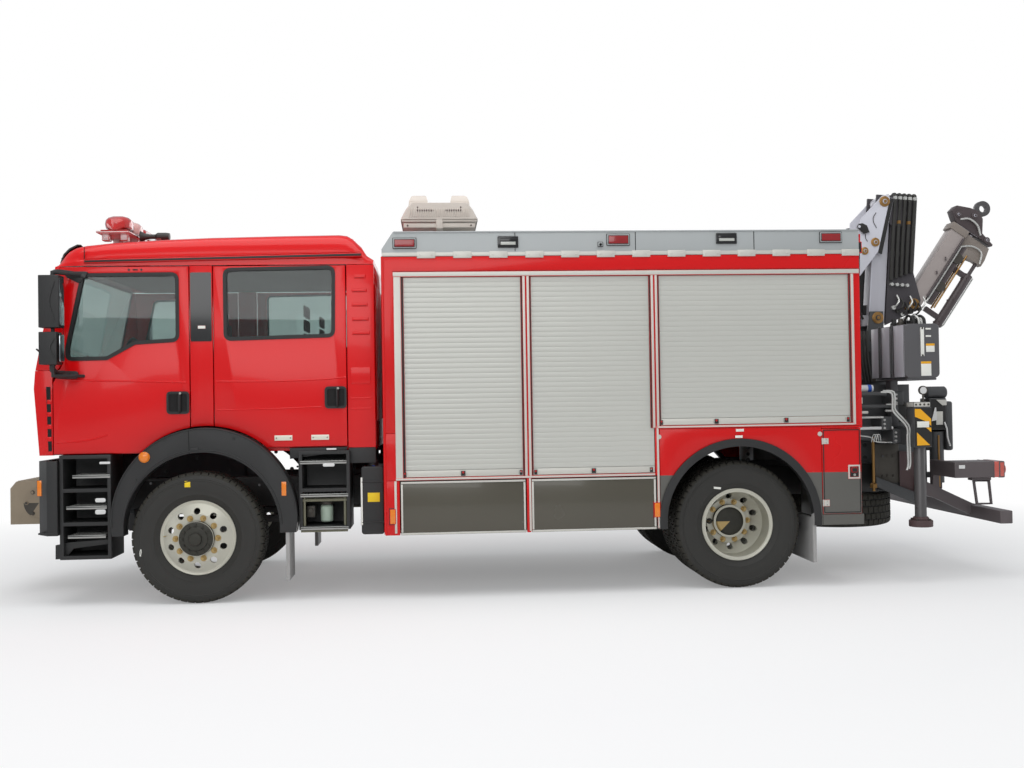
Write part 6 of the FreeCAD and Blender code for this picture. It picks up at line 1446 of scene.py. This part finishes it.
# cooling ribs on both long faces, with a vent slot in the middle of each, its dark a painted shade
for face_y, out in ((low.y + 0.01, -1), (high.y - 0.01, 1)):
    rib = bmesh.new()
    block(rib, (-0.004, -0.004, 0.0), (0.004, 0.008, 0.075), soft=0.002)
    for corner in rib.verts:
        corner.co.y *= out
    if out < 0:
        bmesh.ops.reverse_faces(rib, faces=rib.faces)
    row(head, rib, 27, (middle - 0.26, face_y, 3.305), step=(0.02, 0, 0))
    for side in (-1, 1):
        block(head, (middle + side * 0.05, face_y - 0.006, 3.352),
              (middle + side * 0.2, face_y + 0.006, 3.37), paint=1, soft=0.002)
        rod(head, (middle + side * 0.19, face_y - 0.008, 3.388),
            (middle + side * 0.19, face_y + 0.008, 3.388), 0.006, paint=1, sides=10)
# folded bracket, its dark rubber ends and the lower frame
block(head, (middle - 0.33, low.y + 0.02, 3.262), (middle + 0.33, high.y - 0.02, 3.284), soft=0.004)
block(head, (middle - 0.34, low.y + 0.03, 3.268), (middle - 0.318, high.y - 0.03, 3.292), paint=3, soft=0.004)
block(head, (middle + 0.318, low.y + 0.03, 3.268), (middle + 0.34, high.y - 0.03, 3.292), paint=3, soft=0.004)
for y in (low.y + 0.03, high.y - 0.05):
    block(head, (middle - 0.315, y, 3.212), (middle + 0.315, y + 0.02, 3.25), soft=0.003)
    for x in (middle - 0.28, middle + 0.28):
        rod(head, (x, y - 0.004, 3.23), (x, y + 0.024, 3.23), 0.008, paint=1, sides=10)
block(head, (middle - 0.03, low.y + 0.012, 3.2), (middle + 0.03, high.y - 0.012, 3.3), soft=0.006)
head_drop = 0.072
bmesh.ops.translate(head, verts=head.verts, vec=(0, 0, -head_drop))
pour(head, copied("lamp_head", soft=0.004, rule=lambda centre, normal: 4 if centre.z > 3.128 else 0))
covered = [face for face in head.faces if face.material_index == 4]
bmesh.ops.delete(head, geom=covered, context="FACES")
pipe(head, curve_through([(middle + 0.02, 0.2, 3.368), (middle + 0.06, 0.22, 3.383),
                          (middle + 0.1, 0.25, 3.39)], 5), 0.008, paint=3)
fit(head, "mast_lamp_head", "mast_head", [mast_grey, mast_shadow, body_red, rubber, rubber],
    stands_for=["lamp_head"])


# ---------------------------------------------------------------- crane base
# Welded dark steel base behind the chassis rails, with the slewing rack across it and leg sleeves outside.
# Sleeves carry black and yellow stickers; pipes, a gauge, valves and their levers are bolted round them.
crane_dark = finish("crane_dark", tone(72, 73, 74), shade=0.8, patch=3, rough=0.42, grain=0.15)
leg_grey = finish("leg_grey", tone(92, 90, 90), shade=0.85, patch=4, rough=0.3, metal=0.35)
crane_white = finish("crane_white", tone(206, 206, 214), shade=0.93, patch=2, rough=0.32)
boom_silver = finish("boom_silver", tone(196, 195, 202), shade=0.85, patch=1.6, rough=0.33, metal=0.2,
                     stretch=(1, 1, 0.3))
# second boom's dark grey: painted shade on the boom's side
boom_painted_shade = finish("boom_painted_shade", tone(62, 58, 62), shade=0.8, patch=2.4, rough=0.45, stretch=(1, 1, 0.4))
hazard_yellow = finish("hazard_yellow", tone(238, 172, 22), shade=0.9, patch=9, rough=0.4)
brass = finish("brass", tone(168, 128, 76), shade=0.75, patch=30, rough=0.35, metal=0.8)
foot_brown = finish("foot_iron", tone(82, 62, 62), shade=0.75, patch=9, rough=0.6, grain=0.3)
steel_pipe = finish("steel_pipe", tone(206, 206, 202), shade=0.8, patch=20, rough=0.25, metal=0.4)
plate_grey = finish("plate_grey", tone(98, 101, 95), shade=0.85, patch=5, rough=0.5, grain=0.2)
base = copied("crane_base", soft=0.005)
left = bmesh.new()
sleeve_x = front - 5.97
sleeve_y = 1.205
# black sticker with slanting yellow bars, a blank label and a pale cap plate above
plate(left, [(sleeve_x - 0.003, 1.158), (sleeve_x - 0.147, 1.158), (sleeve_x - 0.147, 1.482),
             (sleeve_x - 0.003, 1.482)], sleeve_y - 0.002, sleeve_y + 0.002, paint=1)
for bar in ([(0.005, 1.475), (0.055, 1.475), (0.145, 1.39), (0.145, 1.33), (0.11, 1.365), (0.005, 1.41)],
            [(0.1, 1.317), (0.145, 1.317), (0.145, 1.278)], [(0.02, 1.277), (0.02, 1.166), (0.132, 1.168)]):
    plate(left, [(sleeve_x - back, z) for back, z in bar], sleeve_y + 0.0015, sleeve_y + 0.0035, paint=2)
block(left, (sleeve_x - 0.022, sleeve_y, 1.318), (sleeve_x - 0.128, sleeve_y + 0.005, 1.37), paint=4,
      soft=0.001)
block(left, (sleeve_x, 1.06, 1.49), (sleeve_x - 0.146, 1.2, 1.534), paint=5, soft=0.004)
for k in range(4):
    rod(left, (sleeve_x - 0.02 - 0.036 * k, 1.196, 1.512), (sleeve_x - 0.02 - 0.036 * k, 1.203, 1.512), 0.009,
        paint=3)
gauge = at(-6.085, 1.13, 1.633)
rod(left, (gauge[0], gauge[1], 1.53), gauge, 0.008, paint=3)
turned(left, [(0.0, -0.018), (0.034, -0.018), (0.038, -0.01), (0.038, 0.012), (0.033, 0.014), (0.031, 0.009),
              (0.0, 0.009)], gauge, sides=28, paint=3)
turned(left, [(0.0, 0.0092), (0.03, 0.0092), (0.0, 0.011)], gauge, sides=28, paint=6)
# paired steel pipes down to the leg
for ahead in (0.0, 0.024):
    route = [(-5.735, 1.632), (-5.829, 1.622), (-5.836, 1.518), (-5.845, 1.461), (-5.955, 1.336),
             (-5.96, 1.233), (-5.962, 1.091), (-5.962, 1.01), (-5.95, 0.965)]
    pipe(left, curve_through([(front + x + ahead, 1.13 + ahead * 0.4, z - ahead * 0.4) for x, z in route], 4),
         0.0085, paint=7)
# carrier plate behind the valves, partly painted shade, with horizontal pipes, a white bottle and the valve
# blocks
block(left, at(-5.53, 0.6, 1.2), at(-6.2, 0.61, 1.69), soft=0.002)
for start_x, end_x, y, z, radius, paint in ((-5.53, -5.738, 0.9, 1.657, 0.031, 6),
                                            (-5.69, -5.722, 0.9, 1.657, 0.0325, 9),
                                            (-5.54, -5.57, 0.9, 1.657, 0.0325, 9),
                                            (-5.53, -5.84, 0.95, 1.608, 0.018, 0),
                                            (-5.53, -5.9, 0.95, 1.5, 0.016, 0),
                                            (-5.53, -5.81, 0.95, 1.405, 0.0095, 7),
                                            (-5.53, -5.905, 0.92, 1.31, 0.0135, 6),
                                            (-5.83, -5.92, 0.95, 1.46, 0.01, 7),
                                            (-5.83, -5.93, 0.97, 1.515, 0.007, 7),
                                            (-5.6, -5.66, 0.98, 1.45, 0.012, 5)):
    rod(left, at(start_x, y, z), at(end_x, y, z), radius, paint=paint)
block(left, at(-5.575, 0.9, 1.52), at(-5.63, 0.96, 1.585), paint=5, soft=0.006)
for x, z in ((-5.8, 1.38), (-5.91, 1.6), (-5.9, 1.27)):
    block(left, at(x, 0.7, z - 0.09), at(x - 0.09, 0.94, z + 0.03), soft=0.008)
    for k in range(3):
        rod(left, at(x - 0.02, 0.93, z - 0.07 + 0.035 * k), at(x - 0.02, 0.955, z - 0.07 + 0.035 * k), 0.01,
            paint=7, sides=8)
for k in range(3):
    pipe(left, curve_through([at(-5.7 - 0.02 * k, 0.95, 1.19), at(-5.71 - 0.02 * k, 0.965, 1.25),
                              at(-5.73 - 0.02 * k, 0.965, 1.25), at(-5.745 - 0.02 * k, 0.95, 1.19)], 4),
         0.0035, paint=7, sides=6)
pipe(left, curve_through([at(x, 0.9, z) for x, z in ((-5.53, 1.25), (-5.66, 1.241), (-5.723, 1.225),
                                                     (-5.77, 1.19), (-5.95, 1.182))], 4), 0.0065, paint=7)
# bolted side plates, the brown cover by the leg and the strut under them
block(left, at(-5.885, 0.562, 0.8), at(-6.11, 0.574, 1.156), paint=10, soft=0.003)
for x in (-5.955, -6.0, -6.055):
    for z in (1.045, 0.865):
        pour(left, hex_bolt(0.01, 0.007), Matrix.Translation(at(x, 0.574, z)), paint=3)
plate(left, sketch((-6.105, 1.09), (-6.245, 1.08), (-6.245, 0.645), (-6.105, 0.69)), 0.575, 0.59, paint=11,
      soft=0.002)
plate(left, sketch((-5.87, 0.865), (-5.87, 0.775), (-6.3, 0.58), (-6.3, 0.69)), 0.6, 0.63, soft=0.004)
# round end caps of the slewing rack
turned(left, [(0.0, 0.0), (0.1, 0.0), (0.1, 0.012), (0.085, 0.02), (0.0, 0.02)], at(-6.093, 0.61, 1.45),
       sides=36, paint=1)
for x, z in bolt_circle(8, 0.08):
    pour(left, hex_bolt(0.009, 0.008), Matrix.Translation(at(-6.093 + x, 0.625, 1.45 + z)), paint=3)
# tie rod beside the spare wheel
rod(left, at(-5.85, 0.62, 0.735), at(-5.85, 0.62, 1.22), 0.014, paint=8)
turned(left, [(0.0, 0.0), (0.034, 0.0), (0.034, 0.035), (0.02, 0.045), (0.0, 0.045)], at(-5.85, 0.62, 0.765),
       axis="z", sides=6, paint=8)
pour(base, both(left))
# valve bank with its levers, blank plates, a drum and a ram tube, on the left rear corner
block(base, at(-6.3, 0.34, 1.3), at(-6.45, 0.4, 1.36), soft=0.004)
block(base, at(-6.44, 0.3, 1.27), at(-6.6, 0.5, 1.56), paint=1, soft=0.008)
block(base, at(-6.595, 0.32, 1.08), at(-6.66, 0.5, 1.53), soft=0.02, turns=3)
turned(base, [(0.0, 0.0), (0.045, 0.0), (0.056, 0.012), (0.056, 0.18), (0.045, 0.196), (0.0, 0.196)],
       at(-6.622, 0.43, 1.612), axis="x", sides=28)
plate(base, sketch((-6.5, 1.546), (-6.598, 1.546), (-6.598, 1.495), (-6.56, 1.493)), 0.499, 0.506, paint=5)
block(base, at(-6.496, 0.499, 1.316), at(-6.561, 0.506, 1.439), paint=5, soft=0.001)
plate(base, sketch((-6.484, 1.475), (-6.495, 1.475), (-6.5, 1.36), (-6.45, 1.35)), 0.508, 0.514, paint=6)
pipe(base, curve_through([at(-6.57, 0.512, 1.34), at(-6.59, 0.515, 1.28), at(-6.596, 0.515, 1.2),
                          at(-6.62, 0.512, 1.12)], 4), 0.0075, paint=6)
rod(base, at(-6.526, 0.44, 0.786), at(-6.526, 0.44, 1.253), 0.062, sides=28)
rod(base, at(-6.513, 0.508, 0.75), at(-6.513, 0.508, 1.22), 0.009, paint=8)
for x in (-6.48, -6.55):
    turned(base, [(0.0, 0.0), (0.012, 0.0), (0.02, 0.02), (0.02, 0.075), (0.0, 0.075)], at(x, 0.44, 0.715),
           axis="z", sides=16, paint=11)
for low_z in (0.83, 1.08):
    block(base, at(-6.43, 0.36, low_z), at(-6.53, 0.42, low_z + 0.05), soft=0.004)
block(base, at(-6.4, 0.25, 1.1), at(-6.62, 0.35, 1.3), soft=0.01)
fit(base, "crane_base_dressed", "vehicle", [crane_dark, seal_black, hazard_yellow, dull_iron, label_white,
                                            pale_alloy, lamp_white, steel_pipe, brass, sky_blue, plate_grey,
                                            foot_brown], stands_for=["crane_base"])

leg_y = 1.13
for side, q in (("left", 1), ("right", -1)):
    leg = copied("leg_" + side, soft=0.006, turns=3, rule=lambda centre, normal: 1 if centre.z < 0.535 else 0)
    middle = sum(corner.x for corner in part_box("leg_" + side)) / 2
    turned(leg, [(0.0, 0.0), (0.068, 0.0), (0.068, 0.018), (0.058, 0.03), (0.0, 0.03)],
           (middle, q * leg_y, 0.528), axis="z", sides=28, paint=1)
    for x, y in bolt_circle(4, 0.078, 0.5):
        rod(leg, (middle + x, q * (leg_y + y), 0.525), (middle + x, q * (leg_y + y), 0.542), 0.01, paint=2)
    fit(leg, "stabiliser_leg_dressed_" + side, "stabiliser_leg_" + side, [leg_grey, foot_brown, dull_iron],
        stands_for=["leg_" + side])


# ---------------------------------------------------------------- hydraulic tank
# Dark grey sheet tank beside the crane: pale bands between black straps in front, a level strip on its side.
# The filler and a valve cluster are bolted on top.
tank_grey = finish("tank_grey", tone(88, 87, 89), shade=0.87, patch=3, rough=0.4)
tank = copied("oil_tank", soft=0.012, turns=3)
low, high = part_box("oil_tank")
for inner, outer in ((0.495, 0.65), (0.715, 0.888), (0.968, 1.17)):
    block(tank, (high.x - 0.002, inner, 1.745), (high.x + 0.008, outer, 2.195), paint=1, soft=0.004)
for y in (0.682, 0.928):
    block(tank, (high.x - 0.002, y - 0.02, 1.74), (high.x + 0.012, y + 0.02, 2.206), paint=2, soft=0.005)
    block(tank, (high.x + 0.01, y - 0.008, 1.78), (high.x + 0.018, y + 0.008, 2.17), paint=2, soft=0.003)
y = high.y
block(tank, at(-6.046, y - 0.002, 1.92), at(-6.082, y + 0.007, 2.17), paint=3, soft=0.003)
for z in (1.93, 2.16):
    rod(tank, at(-6.064, y + 0.002, z), at(-6.064, y + 0.011, z), 0.008, paint=4)
for z in (2.155, 2.093):
    block(tank, at(-6.095, y - 0.002, z - 0.008), at(-6.143, y + 0.0035, z + 0.008), paint=3, soft=0.001)
for ahead, behind, low_z, high_z in ((-6.096, -6.172, 1.957, 2.03), (-6.05, -6.14, 1.755, 1.878)):
    block(tank, at(ahead, y - 0.002, low_z), at(behind, y + 0.0025, high_z), paint=3, soft=0.001)
    block(tank, at(ahead, y + 0.0015, high_z - 0.02), at(behind, y + 0.0032, high_z), paint=5, soft=0.0005)
for x, y, tall, paint in ((-5.98, 0.82, 0.07, 2), (-6.05, 0.9, 0.08, 6), (-5.96, 1.0, 0.06, 4),
                          (-6.12, 1.06, 0.075, 6), (-6.16, 0.86, 0.07, 2), (-6.03, 1.08, 0.08, 2)):
    turned(tank, [(0.0, 0.0), (0.032, 0.0), (0.032, tall * 0.4), (0.022, tall * 0.5), (0.022, tall * 0.85),
                  (0.015, tall), (0.0, tall)], at(x, y, 2.198), axis="z", sides=18, paint=paint)
block(tank, at(-6.0, 0.86, 2.2), at(-6.14, 1.02, 2.24), paint=2, soft=0.006)
for k in range(3):
    pipe(tank, curve_through([at(-5.98 - 0.05 * k, 1.02, 2.22), at(-6.0 - 0.05 * k, 1.05, 2.275),
                              at(-6.02 - 0.05 * k, 1.1, 2.25), at(-6.02 - 0.05 * k, 1.12, 2.2)], 5), 0.011,
         paint=6 if k == 1 else 2, sides=10)
fit(tank, "hydraulic_tank", "vehicle", [tank_grey, boom_silver, seal_black, label_white, dull_iron,
                                        hazard_yellow, steel_pipe], stands_for=["oil_tank"])


# ---------------------------------------------------------------- crane column and booms
# Folded knuckle crane: dark column, silver first boom between white link plates, second boom behind it painted
# dark as shade.
# Hydraulic hoses run over the knuckle and down the second boom's side, held by brass fittings.
slew_x = front - 6.15
knuckle_reach = 1.106
foot_pin = (front - 6.13, 2.33)
lean = math.radians(4.2)
jib_pin = (front - 6.4995, 2.4603)
tilt = math.radians(34.2)


def pin_head(shape, centre, radius, q, paint):
    """Retained pin end: round plate, boss and a keeper bolt; q is the side it faces."""
    x, y, z = centre
    profile = [(0.0, 0.0), (radius, 0.0), (radius, 0.005), (radius * 0.8, 0.009), (0.0, 0.011)]
    turned(shape, [(r, along * q) for r, along in profile], (x, y, z), sides=26, paint=paint)
    pour(shape, hex_bolt(radius * 0.34, 0.007, out=q), Matrix.Translation((x, y + q * 0.011, z)), paint=paint)


column = copied("crane_column", soft=0.006, turns=3)
for level in (1.72, 2.1):
    turned(column, [(0.149, 0.0), (0.156, 0.004), (0.156, 0.03), (0.149, 0.034)], (slew_x, 0, level),
           axis="z", sides=48, paint=1)
for q in (-1, 1):
    pin_head(column, (foot_pin[0], q * 0.121, foot_pin[1]), 0.055, q, 2)
for shift in (0.0, 0.03, 0.06):
    pipe(column, curve_through([(slew_x + 0.1 + shift, 0.13, 1.72), (slew_x + 0.14 + shift, 0.16, 1.9),
                                (slew_x + 0.15 + shift, 0.16, 2.1), (slew_x + 0.13 + shift, 0.13, 2.2)], 5),
         0.012, paint=3)
fit(column, "crane_column_dressed", "column", [crane_dark, dull_iron, brass, rubber],
    stands_for=["crane_column"])


def leaned(pin, angle):
    """Maker of points in a boom's own frame: z runs along the boom from its pin, and y is as on the truck."""
    def point(x, y, z):
        return (pin[0] + x * math.cos(angle) - z * math.sin(angle), y,
                pin[1] + x * math.sin(angle) + z * math.cos(angle))
    return point


on_boom = leaned(foot_pin, lean)
knuckle = on_boom(0, 0, knuckle_reach)
on_second = leaned((knuckle[0], knuckle[2]), lean)
on_jib = leaned(jib_pin, tilt)


def boom_rule(centre, normal):
    """White link plates, silver beam, and a near-black ram side that is painted shade."""
    if abs(centre.y) > 0.124:
        return 2
    return 1 if (centre.x
                 - foot_pin[0]) * math.cos(lean) + (centre.z - foot_pin[1]) * math.sin(lean) > 0.08 else 0


first_boom = copied("inner_boom", soft=0.004, turns=3, rule=boom_rule)
for q in (-1, 1):
    rim = [on_boom(x, 0, z)[::2] for x, z in ((-0.052, 1.15), (-0.09, 1.14), (-0.004, 0.6), (0.04, 0.61))]
    plate(first_boom, rim, q * 0.128, q * 0.137, paint=1, soft=0.002)
    for x, z, radius in ((0.0, knuckle_reach, 0.05), (0.0694, 0.713, 0.042), (0.167, 0.6225, 0.036)):
        pin_head(first_boom, on_boom(x, q * 0.139, z), radius, q, 4)
    for marks in (((0.077, 0.995), (0.1, 0.95), (0.097, 0.903), (0.064, 0.848)),
                  ((0.168, 0.78), (0.166, 0.745), (0.145, 0.714))):
        pipe(first_boom, curve_through([on_boom(x, q * 0.1405, z) for x, z in marks], 4), 0.0032, paint=3,
             sides=6)
    # weld bead and white edge strip up the silver boom; the white is a painted highlight along the edge
    pipe(first_boom, [on_boom(0.072, q * 0.091, -0.05), on_boom(0.072, q * 0.091, 0.6)], 0.005, paint=2,
         sides=6)
    # black clevis with its eye on the plate's front edge, over a red cap
    rod(first_boom, on_boom(0.215, q * 0.1, 0.737), on_boom(0.215, q * 0.127, 0.737), 0.045, paint=6,
        sides=28)
    plate(first_boom, [on_boom(x, 0, z)[::2] for x, z in ((0.13, 0.8), (0.16, 0.865), (0.205, 0.885),
                                                          (0.25, 0.876), (0.264, 0.845), (0.245, 0.82),
                                                          (0.19, 0.775))], q * 0.139, q * 0.152, paint=1,
          soft=0.003)
    rod(first_boom, on_boom(0.236, q * 0.15, 0.848), on_boom(0.236, q * 0.1535, 0.848), 0.013, paint=2)
for x, z in ((0.0694, 0.713), (0.167, 0.6225)):
    rod(first_boom, on_boom(x, -0.139, z), on_boom(x, 0.139, z), 0.024, paint=5)
for points in (((0.225, 0.1, 0.35), (0.2, 0.105, 0.15), (0.17, 0.1, 0.05), (0.13, 0.09, -0.02)),
               ((0.24, 0.06, 0.6), (0.245, 0.07, 0.35), (0.22, 0.07, 0.1), (0.16, 0.06, -0.03))):
    pipe(first_boom, curve_through([on_boom(*point) for point in points], 5), 0.011, paint=3)
fit(first_boom, "first_boom_dressed", "first_boom", [boom_silver, seal_black, crane_white, rubber, brass,
                                                     dull_iron, body_red],
    stands_for=["inner_boom"])

second_boom = copied("outer_boom", soft=0.006, turns=3)
for k in range(5):
    x = -0.11 - 0.048 * k
    y = 0.118
    loop = [(x, y, -0.74 + 0.02 * k), (x + 0.004, y + 0.006, -0.4), (x, y + 0.002, -0.12),
            (x + 0.002, y + 0.01, 0.02), (x - 0.004, y - 0.01, 0.075), (x - 0.008, y - 0.06, 0.088),
            (x - 0.01, 0.03, 0.08)]
    pipe(second_boom, curve_through([on_second(*point) for point in loop], 5), 0.0175, paint=1, sides=12)
    # pale fitting at each hose's top, partly a painted highlight on the hose's bend
    turned(second_boom, [(0.0, 0.0), (0.0205, 0.0), (0.0205, 0.03), (0.0, 0.03)],
           on_second(x, y + 0.009, 0.03), axis="z", sides=6, paint=3)
    if k in (1, 3):
        turned(second_boom, [(0.0, 0.0), (0.0215, 0.0), (0.0215, 0.03), (0.0, 0.03)],
               on_second(x, y + 0.002, -0.2), axis="z", sides=6, paint=2)
for k in range(3):
    x = -0.13 - 0.07 * k
    loop = [(x, -0.118, -0.74), (x, -0.124, -0.3), (x, -0.12, 0.02), (x, -0.1, 0.08), (x, -0.03, 0.084)]
    pipe(second_boom, curve_through([on_second(*point) for point in loop], 5), 0.0175, paint=1, sides=12)
for z in (-0.12, -0.5):
    block(second_boom, on_second(-0.33, 0.1, z), on_second(-0.09, 0.112, z + 0.03), soft=0.003)
for q in (-1, 1):
    pin_head(second_boom, (jib_pin[0], q * 0.101, jib_pin[1]), 0.05, q, 2)
# valves, elbows and hose ends crowded round the heel
block(second_boom, on_second(-0.34, -0.06, -0.9), on_second(-0.36, 0.06, -0.78), soft=0.006)
for k in range(4):
    rod(second_boom, on_second(-0.12 - 0.05 * k, 0.1, -0.78), on_second(-0.12 - 0.05 * k, 0.135, -0.78),
        0.016, paint=3)
for k in range(7):
    x, z, paint = -0.15 - 0.043 * k, -1.0 - 0.03 * (k % 3), (3, 1, 3, 2, 1, 3, 1)[k]
    rod(second_boom, on_second(x, 0.09, z), on_second(x, 0.13, z), 0.02 - 0.002 * (k % 4), paint=paint,
        sides=14)
    pipe(second_boom, curve_through([on_second(x, 0.12, z), on_second(x - 0.02, 0.15, z + 0.03),
                                     on_second(x - 0.04, 0.14, z + 0.07),
                                     on_second(x - 0.03, 0.11, z + 0.12)], 4), 0.008, paint=3 if k % 3 == 0
         else 1, sides=8)
fit(second_boom, "second_boom_dressed", "second_boom", [boom_painted_shade, rubber, brass, steel_pipe],
    stands_for=["outer_boom"])


# ---------------------------------------------------------------- jib and hook
# Pale jib beam folded up behind the second boom, its rams beside it, with a dark head and a forged ring.
# Rams are steel tubes with polished rods, held by saddles; the ring hangs on the head plate.
jib_pale = finish("jib_pale", tone(172, 162, 158), shade=0.85, patch=2.2, rough=0.4)
jib_dark = finish("jib_dark", tone(74, 64, 65), shade=0.8, patch=3, rough=0.45)
jib_tan = finish("jib_tan", tone(136, 126, 118), shade=0.82, patch=4, rough=0.45)


def along_jib(centre):
    """Distances across and along the jib of a point."""
    x, z = centre.x - jib_pin[0], centre.z - jib_pin[1]
    return x * math.cos(tilt) + z * math.sin(tilt), -x * math.sin(tilt) + z * math.cos(tilt)


def jib_rule(centre, normal):
    """Pale beam, tan yoke, dark rams, root and collar."""
    x, z = along_jib(centre)
    if abs(abs(centre.y) - 0.07) < 0.002:
        return 0
    if z > 0.81 and x > -0.1:
        return 4
    if z > 0.645 and x < -0.08 and abs(centre.y) < 0.0362:
        return 4
    return 1 if x < -0.08 or z < 0.03 else 0


jib = copied("jib", soft=0.005, turns=3, rule=jib_rule)
for z in (0.3, 0.62):
    rod(jib, on_jib(-0.14, -0.05, z), on_jib(-0.14, 0.05, z), 0.052, paint=2)
for z in (0.0, 0.25, 0.5):
    turned(jib, [(0.041, 0.0), (0.047, 0.003), (0.047, 0.025), (0.041, 0.028)], on_jib(-0.33, 0, z), axis="z",
           sides=4, paint=1)
for q in (-1, 1):
    # hoses beside the rams; the pale steel one is partly a painted highlight along the ram
    pipe(jib, [on_jib(-0.075, q * 0.075, 0.14), on_jib(-0.075, q * 0.075, 0.8)], 0.012, paint=1)
    pipe(jib, [on_jib(-0.1, q * 0.06, 0.1), on_jib(-0.1, q * 0.06, 0.74)], 0.01, paint=3)
    pipe(jib, [on_jib(-0.205, q * 0.03, 0.1), on_jib(-0.205, q * 0.03, 0.7)], 0.009, paint=5)
    for z in (0.36, 0.52):
        block(jib, on_jib(-0.03, q * 0.072, z), on_jib(-0.025, q * 0.08, z + 0.045), paint=1, soft=0.003)
for low_z, high_z, lean_in in ((0.02, 0.56, -0.385), (-0.01, 0.02, -0.372)):
    pipe(jib, [on_jib(lean_in, 0.0, low_z), on_jib(-0.385, 0.0, high_z)], 0.007, paint=3)
pipe(jib, curve_through([on_jib(-0.08, 0.04, 0.72), on_jib(-0.19, 0.045, 0.8), on_jib(-0.3, 0.045, 0.8),
                         on_jib(-0.35, 0.04, 0.7)], 5), 0.009, paint=3)
fit(jib, "jib_dressed", "jib_beam", [jib_pale, jib_dark, dull_iron, steel_pipe, jib_tan, brass],
    stands_for=["jib"])

tip = copied("jib_extension", soft=0.006, turns=3, rule=lambda centre, normal: 2 if along_jib(centre)[1] > 1.1
             else 1 if along_jib(centre)[1] > 0.88 else 0)
for x, z in ((0.09, 0.98), (-0.28, 0.928), (-0.05, 1.06)):
    for q in (-1, 1):
        pin_head(tip, on_jib(x, q * 0.055, z), 0.03, q, 1)
for q in (-1, 1):
    pipe(tip, curve_through([on_jib(-0.2, q * 0.06, 0.93), on_jib(-0.12, q * 0.07, 0.99),
                             on_jib(-0.02, q * 0.065, 1.0), on_jib(0.05, q * 0.06, 0.95)], 5), 0.01, paint=3)
fit(tip, "jib_extension_and_ring", "extension", [boom_silver, jib_dark, leg_grey, steel_pipe],
    stands_for=["jib_extension"])


# ---------------------------------------------------------------- rear end
# Brown-grey underrun beam on two swept arms, and a tail lamp arm on each side with an open plate frame below.
# The lamps are red mouldings on the ends of the arms; the plate frame is bent from round bar.
underrun_brown = finish("underrun_grey", tone(92, 84, 85), shade=0.85, patch=3, rough=0.45, grain=0.2)
tail_lens = finish("tail_lens", tone(206, 96, 84), shade=0.75, patch=40, rough=0.15, clear=0.6, grain=0.3,
                   grain_scale=90)
tail = copied("rear_bumper", soft=0.008, turns=3)
lamp_start = front - 6.745
bmesh.ops.bisect_plane(tail, geom=tail.verts[:] + tail.edges[:] + tail.faces[:], plane_co=(lamp_start, 0, 0),
                       plane_no=(1, 0, 0))
for face in tail.faces:
    middle = face.calc_center_median()
    face.material_index = 1 if middle.x < lamp_start and middle.z > 0.86 else 0
left = bmesh.new()
for k in range(3):
    turned(left, [(0.0, 0.0), (0.045, 0.0), (0.045, 0.01), (0.03, 0.016), (0.0, 0.018)],
           at(-6.857, 0.81 + 0.09 * k, 0.938), axis="x", sides=24, paint=1)
block(left, at(-6.79, 0.755, 0.866), at(-6.846, 1.045, 1.01), paint=1, soft=0.012, turns=4)
block(left, at(-6.742, 0.757, 0.867), at(-6.752, 1.043, 1.009), soft=0.003)
block(left, at(-6.43, 1.036, 0.948), at(-6.49, 1.0425, 0.984), paint=2, soft=0.003)
block(left, at(-6.6, 0.86, 0.838), at(-6.775, 0.94, 0.875), soft=0.004)
pipe(left, [at(-6.635, 0.9, 0.83), at(-6.772, 0.9, 0.83), at(-6.79, 0.9, 0.63), at(-6.66, 0.9, 0.63)], 0.015,
     sides=8, looped=True)
pour(tail, both(left))
fit(tail, "rear_end_dressed", "vehicle", [underrun_brown, tail_lens, lamp_white],
    stands_for=["rear_bumper"])
